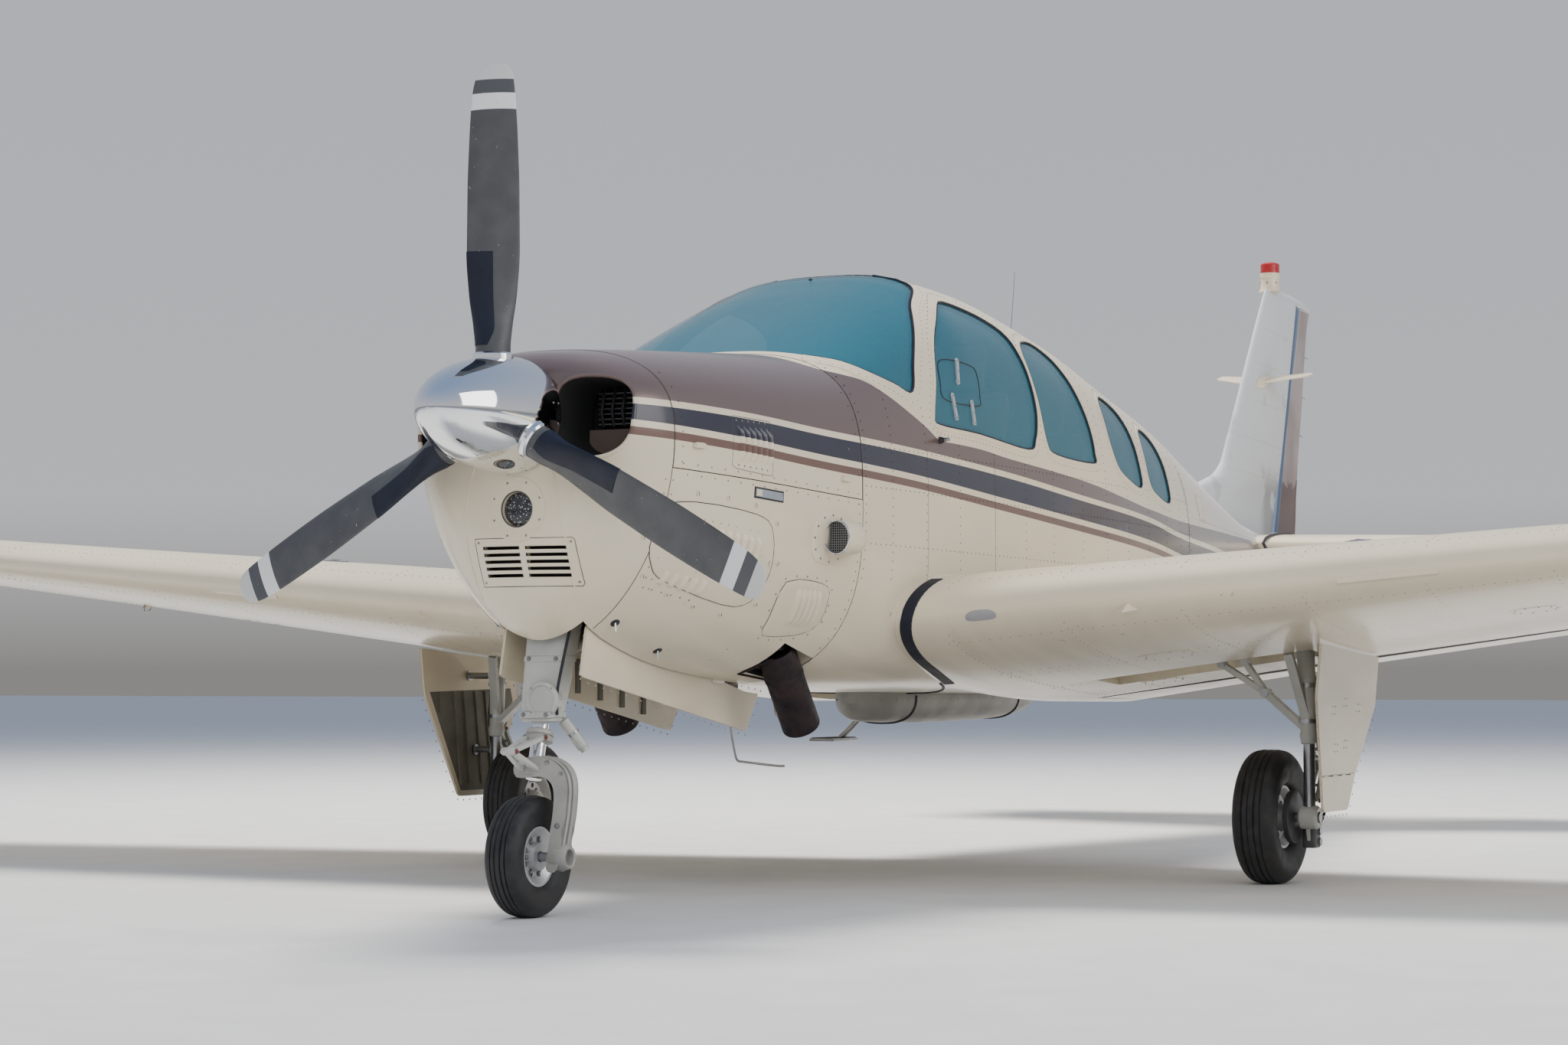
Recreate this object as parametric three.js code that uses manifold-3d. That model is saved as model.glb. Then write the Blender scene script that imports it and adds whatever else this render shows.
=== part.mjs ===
// Light aircraft: six seats, low wing, one engine, retractable gear, parked on its wheels.
// Millimetres, +Z up, +X to the nose, +Y to the left wing. Lengths along X are taken from the point
// where the nose wheel meets the ground, and the whole group is then moved so that X = 0 is the middle
// of the aircraft's length.
import * as THREE from 'three';
import { mergeVertices } from 'three/addons/utils/BufferGeometryUtils.js';
import Module from 'manifold-3d';

const wasm = await Module();
wasm.setup();

// Driving dimensions
const NOSE_WHEEL_X = 3515;     // from the middle of the length to the nose wheel
const SPINNER_TIP_X = 550;
const TAIL_END_X = -7580;
const SEMI_SPAN = 5105;
const WHEELBASE = 2385;
const HALF_TRACK = 1465;
const GAP = 0.4;               // between pieces that touch
const CLEARANCE = 9;           // between pieces that move past each other
const COVE_CLEARANCE = 12;     // round the nose of a flap or aileron
const FAR = 4000;              // reach of a cutting block past whatever it cuts

// Engine, propeller and spinner
const PROP_X = 203;
const HUB_Z = 1462;
const PROP_RADIUS = 1016;
const BLADE_COUNT = 3;
const BLADE_POINTS = 14;
const SHANK_RADIUS = 52;
const SHANK_START = 112;
const SPINNER_RADIUS = 172;
const SPINNER_BACK_X = 104;
const SHAFT_RADIUS = 44;

// Fuselage: where one piece ends and the next begins
const BOWL_BACK_X = -105;
const FIREWALL_X = -1050;
const CABIN_BACK_X = -4250;
const COWL_SKIN = 20;
const CABIN_WALL = 36;
const TAIL_SKIN = 12;
const FLOOR_Z = 870;
const FLOOR_THICKNESS = 24;
const HINGE_STRIP_HALF = 60;
const COWL_DOOR_EDGE = { front: 1311, back: 1255 };
const NOSE_BAY = { front: -60, back: -1040, half: 148, top: 1000 };

// The fuselage's sections. Each is two half ovals that share a greatest width at height waist, with the
// powers upper and lower for how square they are (2 is an ellipse).
const FUSELAGE_COLUMNS = ['x', 'top', 'bottom', 'half', 'waist', 'upper', 'lower'];
const COWL_SECTIONS = [
  [96, 1580, 1090, 275, 1420, 2.2, 1.7],
  [85, 1602, 1045, 312, 1420, 2.3, 1.7],
  [50, 1634, 950, 354, 1420, 2.4, 1.7],
  [0, 1655, 860, 385, 1410, 2.5, 1.75],
  [-80, 1668, 800, 420, 1400, 2.6, 1.8],
  [-200, 1680, 765, 455, 1380, 2.7, 1.9],
  [-500, 1700, 715, 515, 1320, 3.0, 2.15],
  [-1050, 1735, 672, 583, 1250, 3.4, 2.8],
];
const CABIN_SECTIONS = [
  [-1050, 1735, 672, 583, 1250, 3.4, 2.8],
  [-1280, 1838, 662, 596, 1230, 3.3, 3.3],
  [-1500, 1932, 655, 605, 1220, 3.2, 3.7],
  [-1750, 2030, 649, 611, 1205, 3.1, 4.0],
  [-1950, 2091, 645, 615, 1200, 3.0, 4.0],
  [-2270, 2086, 640, 618, 1200, 2.9, 4.0],
  [-2950, 2006, 632, 613, 1200, 2.8, 4.0],
  [-3700, 1856, 640, 572, 1200, 2.7, 3.4],
  [-4250, 1769, 690, 505, 1200, 2.5, 3.0],
  [-4700, 1674, 755, 440, 1200, 2.3, 2.7],
  [-5300, 1533, 850, 340, 1210, 2.2, 2.4],
  [-6000, 1398, 960, 222, 1220, 2.05, 2.2],
  [-6750, 1340, 1075, 122, 1225, 2.0, 2.1],
  [-7200, 1304, 1160, 70, 1235, 2.0, 2.0],
  [-7580, 1272, 1222, 24, 1247, 2.0, 2.0],
];
const RING_POINTS = 24;
const SECTION_STEP = 275;
const TAIL_STEP = 450;

// Windows on the left side as outlines in X and Z, and the windscreen's outline seen from the side
const WINDSCREEN = [
  [-1040, 1830], [-1083, 1734], [-1159, 1708], [-1247, 1675], [-1358, 1645], [-1453, 1624],
  [-1530, 1722], [-1631, 1824], [-1770, 1944], [-1936, 2043], [-1975, 2110], [-1985, 2300],
];
const WINDOWS = [
  [[-1585, 1560], [-1639, 1665], [-1707, 1778], [-1815, 1880], [-1978, 1978], [-2219, 1970],
    [-2430, 1916], [-2468, 1830], [-2466, 1712], [-2453, 1614], [-2409, 1529], [-2331, 1489],
    [-1920, 1517], [-1610, 1530]],
  [[-2528, 1852], [-2594, 1890], [-2760, 1902], [-2876, 1868], [-2929, 1798], [-2960, 1714], [-2988, 1602],
    [-2993, 1512], [-2965, 1475], [-2597, 1486], [-2514, 1530], [-2498, 1678], [-2506, 1800]],
  [[-3238, 1718], [-3322, 1746], [-3470, 1714], [-3530, 1640], [-3540, 1500], [-3524, 1413], [-3350, 1441],
    [-3250, 1480], [-3200, 1563], [-3204, 1655]],
  [[-3696, 1626], [-3790, 1653], [-3896, 1624], [-3940, 1560], [-3947, 1470], [-3925, 1373], [-3729, 1397],
    [-3650, 1442], [-3650, 1546]],
];
// The fixed window behind the cabin door stands a little further back than its twin
const WINDOW_RIGHT_2 = WINDOWS[1].map(([x, z]) => [Math.min(x, -2576 - (1900 - z) * 0.02), z]);
const GLASS = { outer: 4, thickness: 7, rim: 1.5 };

// Doors on the right side as outlines in X and Z
const CABIN_DOOR = [
  [-1500, 1125], [-1500, 1570], [-1590, 1720], [-1665, 1808], [-1790, 1918], [-1945, 2012], [-2200, 2010],
  [-2440, 1958], [-2502, 1850], [-2512, 1700], [-2512, 1155], [-2472, 1115], [-1510, 1115],
];
const CARGO_DOOR_FRONT = [
  [-3045, 960], [-3045, 1785], [-3120, 1815], [-3330, 1793], [-3490, 1760], [-3570, 1700], [-3570, 960],
];
const CARGO_DOOR_REAR = [
  [-3584, 960], [-3584, 1690], [-3640, 1710], [-3790, 1698], [-3930, 1662], [-3990, 1590], [-3990, 1000],
  [-3950, 960],
];

// Wing: leading edge and chord at the root and near the tip, then the rounded tip
const WING_COLUMNS = ['y', 'front', 'chord', 'z', 'thickness', 'incidence'];
const WING_SECTIONS = [
  [600, -1330, 2000, 900, 0.165, 8.4],
  [1500, -1436, 1810, 977, 0.157, 7.6],
  [3120, -1628, 1467, 1113, 0.14, 6.3],
  [4860, -1833, 1100, 1261, 0.122, 4.8],
  [5010, -1860, 1030, 1274, 0.118, 4.7],
  [5080, -1900, 930, 1281, 0.1, 4.6],
  [SEMI_SPAN, -1985, 720, 1285, 0.05, 4.6],
];
// The root runs on below the cabin's side, level with the belly
const WING_ROOT = [400, -1306, 2040, 906, 0.165, 8.4];
const WING_CAMBER = 0.018;
const WING_POINTS = 22;
const FLAP = { inner: 668, outer: 3100, share: 0.77, below: 0.62 };
const TIE_DOWN = { y: 3000, share: 0.3, z: 950, length: 60, width: 40 };
const AILERON = { inner: 3136, outer: 4830, share: 0.76, below: 0 };

// Tailplane and fin
const TAILPLANE_Z = 1285;
const TAILPLANE_HALF_SPAN = 1855;
const TAILPLANE_HINGE_X = -7030;
// Tailplane sections: y, front, chord and thickness as a share of the chord
const TAILPLANE_SECTIONS = [
  [0, -5930, 1560, 0.07],
  [230, -5930, 1558, 0.07],
  [430, -6150, 1320, 0.085],
  [1770, -6590, 815, 0.085],
  [1830, -6650, 740, 0.07],
  [TAILPLANE_HALF_SPAN, -6760, 600, 0.04],
];
const TAILPLANE_SKIN = 10;
const ELEVATOR_INNER = { hinge: 135, tail: 310 };
const TORQUE_TUBE_RADIUS = 16;
const FIN_COLUMNS = ['z', 'front', 'back', 'half'];
const FIN_SECTIONS = [
  [1300, -5480, -7116, 40],
  [1450, -5490, -7140, 42],
  [1500, -5540, -7146, 42],
  [1568, -5802, -7155, 43],
  [1611, -5973, -7165, 44],
  [1669, -6078, -7175, 44],
  [1755, -6146, -7190, 44],
  [1929, -6277, -7235, 41],
  [2300, -6548, -7318, 34],
  [2440, -6652, -7362, 30],
  [2500, -6697, -7395, 26],
  [2535, -6730, -7100, 14],
];
const RUDDER_HINGE = { bottom: [-6750, 1344], top: [-7135, 2455] };
const RUDDER_BOTTOM_Z = 1368;
const RUDDER_TOP_Z = 2474;
const BEACON = { x: -6790, base: 2528, lens: 2612, top: 2664, radius: 48 };

// Landing gear
const NOSE_WHEEL = { radius: 178, width: 114, rim: 88 };
const MAIN_WHEEL = { radius: 225, width: 148, rim: 105 };
const NOSE_STRUT = { bottom: [34, 180], top: [-186, 1002] };
const WHEEL_SIDES = 20;
const MAIN_STRUT_Y = 1600;
const LEG_BAY = { inner: 880, outer: 1640, low: 500, innerTop: 795, outerTop: 845, half: 110 };
const EXHAUST = { y: 330, top: [-938, 785], outlet: [-1120, 542], radius: 62, riser: [-880, 1214] };
const COWL_OUTLET = { front: -856, half: 76 };

// Materials
function finish(colour, roughness, metalness) {
  return new THREE.MeshStandardMaterial({ color: colour, roughness, metalness });
}
const IVORY = finish(0xe6dfcb, 0.4, 0.1);
const TAUPE = finish(0x7d6a60, 0.35, 0.4);
const WHITE = finish(0xdfe2e2, 0.4, 0.1);
const CHROME = finish(0xd8dadc, 0.08, 1);
const BLADE_GREY = finish(0x4b4e52, 0.5, 0.3);
const STEEL = finish(0x8f9295, 0.4, 0.8);
const CASTING = finish(0x6a6d6e, 0.6, 0.6);
const DARK = finish(0x2b2d30, 0.7, 0.1);
const GREY = finish(0x8d8f8c, 0.6, 0.1);
const GLASS_TINT = finish(0x35525c, 0.1, 0);
const TYRE = finish(0x1d1d1e, 0.85, 0);
const SEAT = finish(0x8a7a68, 0.8, 0);
const RED = finish(0xc01818, 0.2, 0);

// Solids: meshes that can be cut and joined
function solid(geometry) {
  const bare = geometry.clone();
  bare.deleteAttribute('normal');
  bare.deleteAttribute('uv');
  const merged = mergeVertices(bare, 1e-3);
  return new wasm.Manifold(new wasm.Mesh({
    numProp: 3,
    vertProperties: new Float32Array(merged.attributes.position.array),
    triVerts: new Uint32Array(merged.index.array),
  }));
}

function geometryOf(body) {
  const mesh = body.getMesh();
  const geometry = new THREE.BufferGeometry();
  geometry.setAttribute('position', new THREE.BufferAttribute(new Float32Array(mesh.vertProperties), 3));
  geometry.setIndex(new THREE.BufferAttribute(new Uint32Array(mesh.triVerts), 1));
  geometry.computeVertexNormals();
  return geometry;
}

function join(...bodies) {
  return bodies.reduce((whole, body) => whole.add(body));
}

function cut(body, ...tools) {
  return tools.reduce((rest, tool) => rest.subtract(tool), body);
}

function mirrored(body) {
  return body.mirror([0, 1, 0]);
}

// A closed solid through rings of points that all have the same count; each end is closed by a ladder of
// faces between point i and its partner on the other side of the ring.
function loft(rings) {
  const count = rings[0].length;
  const points = rings.flat();
  const faces = [];
  for (let r = 0; r + 1 < rings.length; r += 1) {
    for (let i = 0; i < count; i += 1) {
      const a = r * count + i;
      const b = r * count + (i + 1) % count;
      if (i < count / 2) {
        faces.push(a, b, b + count, a, b + count, a + count);
      } else {
        faces.push(a, b, a + count, b, b + count, a + count);
      }
    }
  }
  const last = (rings.length - 1) * count;
  for (let i = 0; i < count / 2; i += 1) {
    const partner = (count - i) % count;
    const next = i + 1;
    const nextPartner = count - next;
    for (const [a, b, c] of [[i, partner, nextPartner], [i, nextPartner, next]]) {
      if (a !== b && b !== c && a !== c) {
        faces.push(a, b, c);
        faces.push(last + a, last + c, last + b);
      }
    }
  }
  const geometry = new THREE.BufferGeometry();
  geometry.setAttribute('position', new THREE.Float32BufferAttribute(points.flatMap((p) => p), 3));
  geometry.setIndex(signedVolume(points, faces) < 0 ? faces.reverse() : faces);
  return solid(geometry);
}

function signedVolume(points, faces) {
  let sum = 0;
  for (let i = 0; i < faces.length; i += 3) {
    const [a, b, c] = [points[faces[i]], points[faces[i + 1]], points[faces[i + 2]]];
    sum += a[0] * (b[1] * c[2] - b[2] * c[1])
      + a[1] * (b[2] * c[0] - b[0] * c[2])
      + a[2] * (b[0] * c[1] - b[1] * c[0]);
  }
  return sum;
}

function block(low, high) {
  const size = high.map((value, k) => value - low[k]);
  const box = new THREE.BoxGeometry(...size);
  box.translate(low[0] + size[0] / 2, low[1] + size[1] / 2, low[2] + size[2] / 2);
  return solid(box);
}

// A bar, tube or cone from one point to another
function rod(from, to, radius, endRadius = radius, sides = 10) {
  const start = new THREE.Vector3(...from);
  const end = new THREE.Vector3(...to);
  const along = end.clone().sub(start);
  const shape = new THREE.CylinderGeometry(endRadius, radius, along.length(), sides);
  const upright = new THREE.Vector3(0, 1, 0);
  const turn = new THREE.Quaternion().setFromUnitVectors(upright, along.clone().normalize());
  shape.applyQuaternion(turn);
  shape.translate(...start.add(end).multiplyScalar(0.5).toArray());
  return solid(shape);
}

// A flat bar of a given width and thickness between two points, its width turned about its length
function bar(from, to, width, thickness, side) {
  const start = new THREE.Vector3(...from);
  const end = new THREE.Vector3(...to);
  const along = end.clone().sub(start);
  const zAxis = along.clone().normalize();
  const xAxis = new THREE.Vector3(...side).cross(zAxis).normalize();
  const yAxis = zAxis.clone().cross(xAxis);
  const shape = new THREE.BoxGeometry(width, thickness, along.length());
  shape.applyMatrix4(new THREE.Matrix4().makeBasis(yAxis, xAxis.negate(), zAxis));
  shape.translate(...start.add(end).multiplyScalar(0.5).toArray());
  return solid(shape);
}

// An outline whose every edge is moved out by the same distance
function grownOutline(outline, grow) {
  const area = outline.reduce((sum, [x, z], i) => {
    const [nx, nz] = outline[(i + 1) % outline.length];
    return sum + x * nz - nx * z;
  }, 0);
  const out = Math.sign(area) * grow;
  return outline.map((corner, i) => {
    const before = outline[(i + outline.length - 1) % outline.length];
    const after = outline[(i + 1) % outline.length];
    const a = new THREE.Vector2(corner[0] - before[0], corner[1] - before[1]).normalize();
    const b = new THREE.Vector2(after[0] - corner[0], after[1] - corner[1]).normalize();
    const scale = out / (1 + a.dot(b));
    return [corner[0] + (a.y + b.y) * scale, corner[1] - (a.x + b.x) * scale];
  });
}

// An outline in X and Z, drawn out along Y from y0 to y1
function sideCut(outline, y0, y1, grow = 0) {
  const points = grownOutline(outline, grow).map(([x, z]) => new THREE.Vector2(x, z));
  const shape = new THREE.ExtrudeGeometry(new THREE.Shape(points), { depth: y1 - y0, bevelEnabled: false });
  shape.rotateX(Math.PI / 2);
  shape.translate(0, y1, 0);
  return solid(shape);
}

// An outline in Y and Z, drawn out along X from x0 to x1
function frontCut(outline, x0, x1) {
  const points = outline.map(([y, z]) => new THREE.Vector2(y, z));
  const shape = new THREE.ExtrudeGeometry(new THREE.Shape(points), { depth: x1 - x0, bevelEnabled: false });
  const swap = new THREE.Matrix4().makeBasis(
    new THREE.Vector3(0, 1, 0), new THREE.Vector3(0, 0, 1), new THREE.Vector3(1, 0, 0));
  shape.applyMatrix4(swap);
  shape.translate(x0, 0, 0);
  return solid(shape);
}

// Something turned about a line along Y: the profile's points are [radius, y]
// and its flats, not its corners, lie at the stated radius, one of them at the bottom
function turnedAboutY(profile, centre) {
  const halfStep = Math.PI / WHEEL_SIDES;
  const points = profile.map(([radius, y]) => new THREE.Vector2(radius / Math.cos(halfStep), y));
  const shape = new THREE.LatheGeometry(points, WHEEL_SIDES, halfStep);
  shape.translate(...centre);
  return solid(shape);
}

// Smooth values between the rows of a table
function rowAt(table, columns, key) {
  const rows = table[0][0] > table[table.length - 1][0] ? [...table].reverse() : table;
  const last = rows.length - 1;
  const place = Math.min(Math.max(key, rows[0][0]), rows[last][0]);
  let k = 0;
  while (k < last - 1 && place > rows[k + 1][0]) {
    k += 1;
  }
  const width = rows[k + 1][0] - rows[k][0];
  const t = (place - rows[k][0]) / width;
  const row = {};
  columns.forEach((name, c) => {
    const from = slopeAt(rows, k, c) * width;
    const to = slopeAt(rows, k + 1, c) * width;
    row[name] = (2 * t ** 3 - 3 * t ** 2 + 1) * rows[k][c] + (t ** 3 - 2 * t ** 2 + t) * from
      + (3 * t ** 2 - 2 * t ** 3) * rows[k + 1][c] + (t ** 3 - t ** 2) * to;
  });
  return row;
}

// The slope at a row: between its neighbours' slopes, and level at a high or low point
function slopeAt(rows, k, c) {
  const before = Math.max(k - 1, 0);
  const after = Math.min(k + 1, rows.length - 1);
  const left = k > before ? (rows[k][c] - rows[before][c]) / (rows[k][0] - rows[before][0]) : null;
  const right = after > k ? (rows[after][c] - rows[k][c]) / (rows[after][0] - rows[k][0]) : null;
  if (left === null || right === null) {
    return left ?? right;
  }
  return left * right <= 0 ? 0 : 2 * left * right / (left + right);
}

// One ring of the fuselage, from the top round by the left side
function fuselageRing(table, x, inset) {
  const s = rowAt(table, FUSELAGE_COLUMNS, x);
  const ring = [];
  for (let i = 0; i < RING_POINTS; i += 1) {
    const angle = i / RING_POINTS * 2 * Math.PI;
    const up = Math.cos(angle);
    const out = Math.sin(angle);
    const power = 2 / (up >= 0 ? s.upper : s.lower);
    const height = (up >= 0 ? s.top - s.waist : s.waist - s.bottom) - inset;
    ring.push([x, Math.sign(out) * Math.abs(out) ** power * (s.half - inset),
      s.waist + Math.sign(up) * Math.abs(up) ** power * height]);
  }
  return ring;
}

function fuselagePart(table, x0, x1, inset, step) {
  const places = [x0];
  const count = Math.max(1, Math.round(Math.abs(x1 - x0) / step));
  for (let i = 1; i <= count; i += 1) {
    places.push(x0 + (x1 - x0) * i / count);
  }
  return loft(places.map((x) => fuselageRing(table, x, inset)));
}

function halfWidthAt(x, z) {
  const s = rowAt(x > FIREWALL_X ? COWL_SECTIONS : CABIN_SECTIONS, FUSELAGE_COLUMNS, x);
  const share = z >= s.waist ? (z - s.waist) / (s.top - s.waist) : (s.waist - z) / (s.waist - s.bottom);
  const power = z >= s.waist ? s.upper : s.lower;
  return s.half * Math.max(0, 1 - Math.min(share, 1) ** power) ** (1 / power);
}

// Nose bowl: a hollow cap with two air inlets beside the spinner, a round light and a grille in the chin
function noseBowl() {
  const places = [96, 85, 50, 0, -50, BOWL_BACK_X];
  const outer = loft(places.map((x) => fuselageRing(COWL_SECTIONS, x, 0)));
  const inner = loft([48, 0, -50, BOWL_BACK_X - 10].map((x) => fuselageRing(COWL_SECTIONS, x, 26)));
  let bowl = cut(outer, inner);
  const INLET = { y: 252, z: 1455, halfWidth: 114, halfHeight: 120, power: 2.6, sides: 20 };
  for (const side of [1, -1]) {
    const outline = [];
    for (let i = 0; i < INLET.sides; i += 1) {
      const angle = i / INLET.sides * 2 * Math.PI;
      const [c, s] = [Math.cos(angle), Math.sin(angle)];
      outline.push([side * INLET.y + Math.sign(c) * Math.abs(c) ** (2 / INLET.power) * INLET.halfWidth,
        INLET.z + Math.sign(s) * Math.abs(s) ** (2 / INLET.power) * INLET.halfHeight]);
    }
    bowl = cut(bowl, frontCut(outline, -80, 140));
  }
  const LIGHT = { y: 16, z: 1190, radius: 52, glass: 46 };
  bowl = join(bowl, rod([30, LIGHT.y, LIGHT.z], [90, LIGHT.y, LIGHT.z], LIGHT.radius + 14));
  bowl = cut(bowl, rod([78, LIGHT.y, LIGHT.z], [140, LIGHT.y, LIGHT.z], LIGHT.glass));
  const GRILLE = { rows: 5, top: 1083, pitch: 20, slot: 10, halves: [[-108, 22], [40, 168]] };
  for (let row = 0; row < GRILLE.rows; row += 1) {
    const z = GRILLE.top - row * GRILLE.pitch;
    for (const [y0, y1] of GRILLE.halves) {
      bowl = cut(bowl, block([-30, y0, z - GRILLE.slot], [140, y1, z]));
    }
  }
  const shaftHole = rod([0, 0, HUB_Z], [140, 0, HUB_Z], SHAFT_RADIUS + CLEARANCE, undefined, 16);
  return cut(bowl, noseBay(), shaftHole);
}

function noseBay() {
  return block([NOSE_BAY.back, -NOSE_BAY.half, 0], [NOSE_BAY.front, NOSE_BAY.half, NOSE_BAY.top]);
}

// The line between the cowl doors and the lower cowl, as a block above it
function aboveDoorEdge(lift) {
  const slope = (COWL_DOOR_EDGE.front - COWL_DOOR_EDGE.back) / (BOWL_BACK_X - FIREWALL_X);
  const line = (x) => COWL_DOOR_EDGE.front + (x - BOWL_BACK_X) * slope + lift;
  const [x0, x1] = [FIREWALL_X - 200, BOWL_BACK_X + 200];
  return sideCut([[x0, line(x0)], [x1, line(x1)], [x1, FAR], [x0, FAR]], -FAR, FAR);
}

function cowlPieces() {
  const front = BOWL_BACK_X - GAP;
  const back = FIREWALL_X + GAP;
  const shell = cut(fuselagePart(COWL_SECTIONS, front, back, 0, SECTION_STEP),
    fuselagePart(COWL_SECTIONS, front + 20, back - 20, COWL_SKIN, SECTION_STEP));
  const outlets = [1, -1].map((side) => (
    block([FIREWALL_X - 1, side * EXHAUST.y - COWL_OUTLET.half, 0],
      [COWL_OUTLET.front, side * EXHAUST.y + COWL_OUTLET.half, 860])));
  const lower = cut(shell, aboveDoorEdge(-CLEARANCE / 2), noseBay(), ...outlets);
  const strip = shell.intersect(block([back - 1, -HINGE_STRIP_HALF, HUB_Z],
    [front + 1, HINGE_STRIP_HALF, FAR]));
  const doorFront = front - CLEARANCE;
  const doorBack = back + CLEARANCE;
  const doors = shell.intersect(aboveDoorEdge(CLEARANCE / 2));
  const door = doors.intersect(block([doorBack, HINGE_STRIP_HALF + CLEARANCE, 0], [doorFront, FAR, FAR]));
  return { lower, strip, door };
}

// One plain block of the size of a flat six engine, with its shaft to the propeller and its four mounts
function engine() {
  const outline = [
    [-400, 1290], [-400, 1420], [-270, 1585], [270, 1585],
    [400, 1420], [400, 1290], [230, 1180], [-230, 1180],
  ];
  const [back, front] = [-950, -160];
  const shaft = rod([front - 5, 0, HUB_Z], [SPINNER_BACK_X - CLEARANCE, 0, HUB_Z], SHAFT_RADIUS);
  const mounts = [250, -250].flatMap((y) => [1270, 1500].map((z) => (
    rod([back + 5, y, z], [FIREWALL_X, y, z], 18, 18, 8))));
  return join(frontCut(outline, back, front), shaft, ...mounts);
}

// Cabin: a hollow shell with a floor, a firewall and a rear bulkhead
function cabinShell(openings) {
  const front = FIREWALL_X - GAP;
  const back = CABIN_BACK_X + GAP;
  const outer = fuselagePart(CABIN_SECTIONS, front, back, 0, SECTION_STEP);
  const inner = fuselagePart(CABIN_SECTIONS, front - CABIN_WALL, back + CABIN_WALL, CABIN_WALL, SECTION_STEP);
  const floor = block([back, -FAR, FLOOR_Z - FLOOR_THICKNESS], [front, FAR, FLOOR_Z]);
  const hatch = block([-3300, -180, 0], [-2400, 180, FLOOR_Z - FLOOR_THICKNESS - 60]);
  let shell = cut(outer, cut(inner, floor), hatch);
  shell = cut(shell, sideCut(WINDSCREEN, -FAR, FAR));
  WINDOWS.forEach((outline) => {
    shell = cut(shell, sideCut(outline, 200, FAR));
  });
  return cut(shell, sideCut(WINDOW_RIGHT_2, -FAR, -200), ...openings);
}

// The swept space of a door that turns about an upright line
function sweptOpening(outline, hinge, sign) {
  const grown = sideCut(outline, -FAR, -200, CLEARANCE);
  const bodies = [grown];
  for (const degrees of [3, 7, 12, 20]) {
    bodies.push(grown.translate([-hinge[0], -hinge[1], 0]).rotate([0, 0, sign * degrees])
      .translate([hinge[0], hinge[1], 0]));
  }
  const near = block([-FAR * 2, -FAR, 0], [0, -200, FAR]);
  return bodies.map((body) => body.intersect(near));
}

function shellLayer(outerInset, innerInset) {
  const front = FIREWALL_X - 4;
  const back = CABIN_BACK_X + 4;
  return cut(fuselagePart(CABIN_SECTIONS, front, back, outerInset, SECTION_STEP),
    fuselagePart(CABIN_SECTIONS, front + 10, back - 10, innerInset, SECTION_STEP));
}

// Tail cone: hollow, open at the front against the bulkhead, with a slot for the tailplane
function tailCone(tailplaneSlot) {
  const front = CABIN_BACK_X - GAP;
  const outer = fuselagePart(CABIN_SECTIONS, front, TAIL_END_X, 0, TAIL_STEP);
  const inner = fuselagePart(CABIN_SECTIONS, front + 20, -6900, TAIL_SKIN, TAIL_STEP);
  const tubeHole = rod([TAILPLANE_HINGE_X, -FAR, TAILPLANE_Z], [TAILPLANE_HINGE_X, FAR, TAILPLANE_Z],
    TORQUE_TUBE_RADIUS + CLEARANCE);
  return cut(outer, inner, tailplaneSlot, tubeHole);
}

// Half thickness and middle line of a wing section at a share of its chord, both as shares of the chord
function foilRise(share, thickness) {
  return 5 * thickness * (0.2969 * Math.sqrt(share) - 0.126 * share - 0.3516 * share ** 2
    + 0.2843 * share ** 3 - 0.1015 * share ** 4);
}

function foilBend(share, camber) {
  const rising = Math.min(share / 0.6, 1);
  return camber * 4 * rising * (1 - 0.5 * rising) * (1 - share);
}

// A wing section as a ring: from the trailing edge over the top to the nose and back below
function foilRing(front, chord, thickness, camber, incidence, points) {
  const slope = Math.tan(THREE.MathUtils.degToRad(incidence));
  const ring = [];
  for (let i = 0; i < points; i += 1) {
    const angle = i / points * 2 * Math.PI;
    const share = 0.5 * (1 + Math.cos(angle));
    const rise = Math.max(foilRise(share, thickness), 0.0015);
    const side = i <= points / 2 ? 1 : -1;
    ring.push([front - share * chord, (side * rise + foilBend(share, camber) - share * slope) * chord]);
  }
  return ring;
}

function wholeWing() {
  return loft([WING_ROOT, ...WING_SECTIONS].map((row) => {
    const [y, front, chord, z, thickness, incidence] = row;
    return foilRing(front, chord, thickness, WING_CAMBER, incidence, WING_POINTS)
      .map(([x, rise]) => [x, y, z + rise]);
  }));
}

// A point on the wing's middle surface and the wing's half thickness there
function wingPoint(y, share) {
  const w = rowAt(WING_SECTIONS, WING_COLUMNS, y);
  const slope = Math.tan(THREE.MathUtils.degToRad(w.incidence));
  return {
    x: w.front - share * w.chord,
    z: w.z + (foilBend(share, WING_CAMBER) - share * slope) * w.chord,
    rise: foilRise(share, w.thickness) * w.chord,
  };
}

// A control surface: its round nose turns about a line from the inner to the outer end
function hingeLine(spec, y) {
  const p = wingPoint(y, spec.share);
  return { point: [p.x, y, p.z - p.rise * spec.below], radius: p.rise * (1 - spec.below) };
}

// All that lies behind a hinge line, between end faces square to it; ahead moves its front face forward and
// spare moves the end faces out
function behindHinge(inner, outer, ahead, spare) {
  const start = new THREE.Vector3(...inner);
  const end = new THREE.Vector3(...outer);
  const along = end.clone().sub(start).normalize();
  const forward = along.clone().cross(new THREE.Vector3(0, 0, 1)).normalize();
  const up = forward.clone().cross(along);
  const box = new THREE.BoxGeometry(FAR, start.distanceTo(end) + 2 * spare, FAR);
  box.translate(ahead - FAR / 2, 0, 0);
  box.applyMatrix4(new THREE.Matrix4().makeBasis(forward, along, up));
  box.translate(...start.add(end).multiplyScalar(0.5).toArray());
  return solid(box);
}

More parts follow.
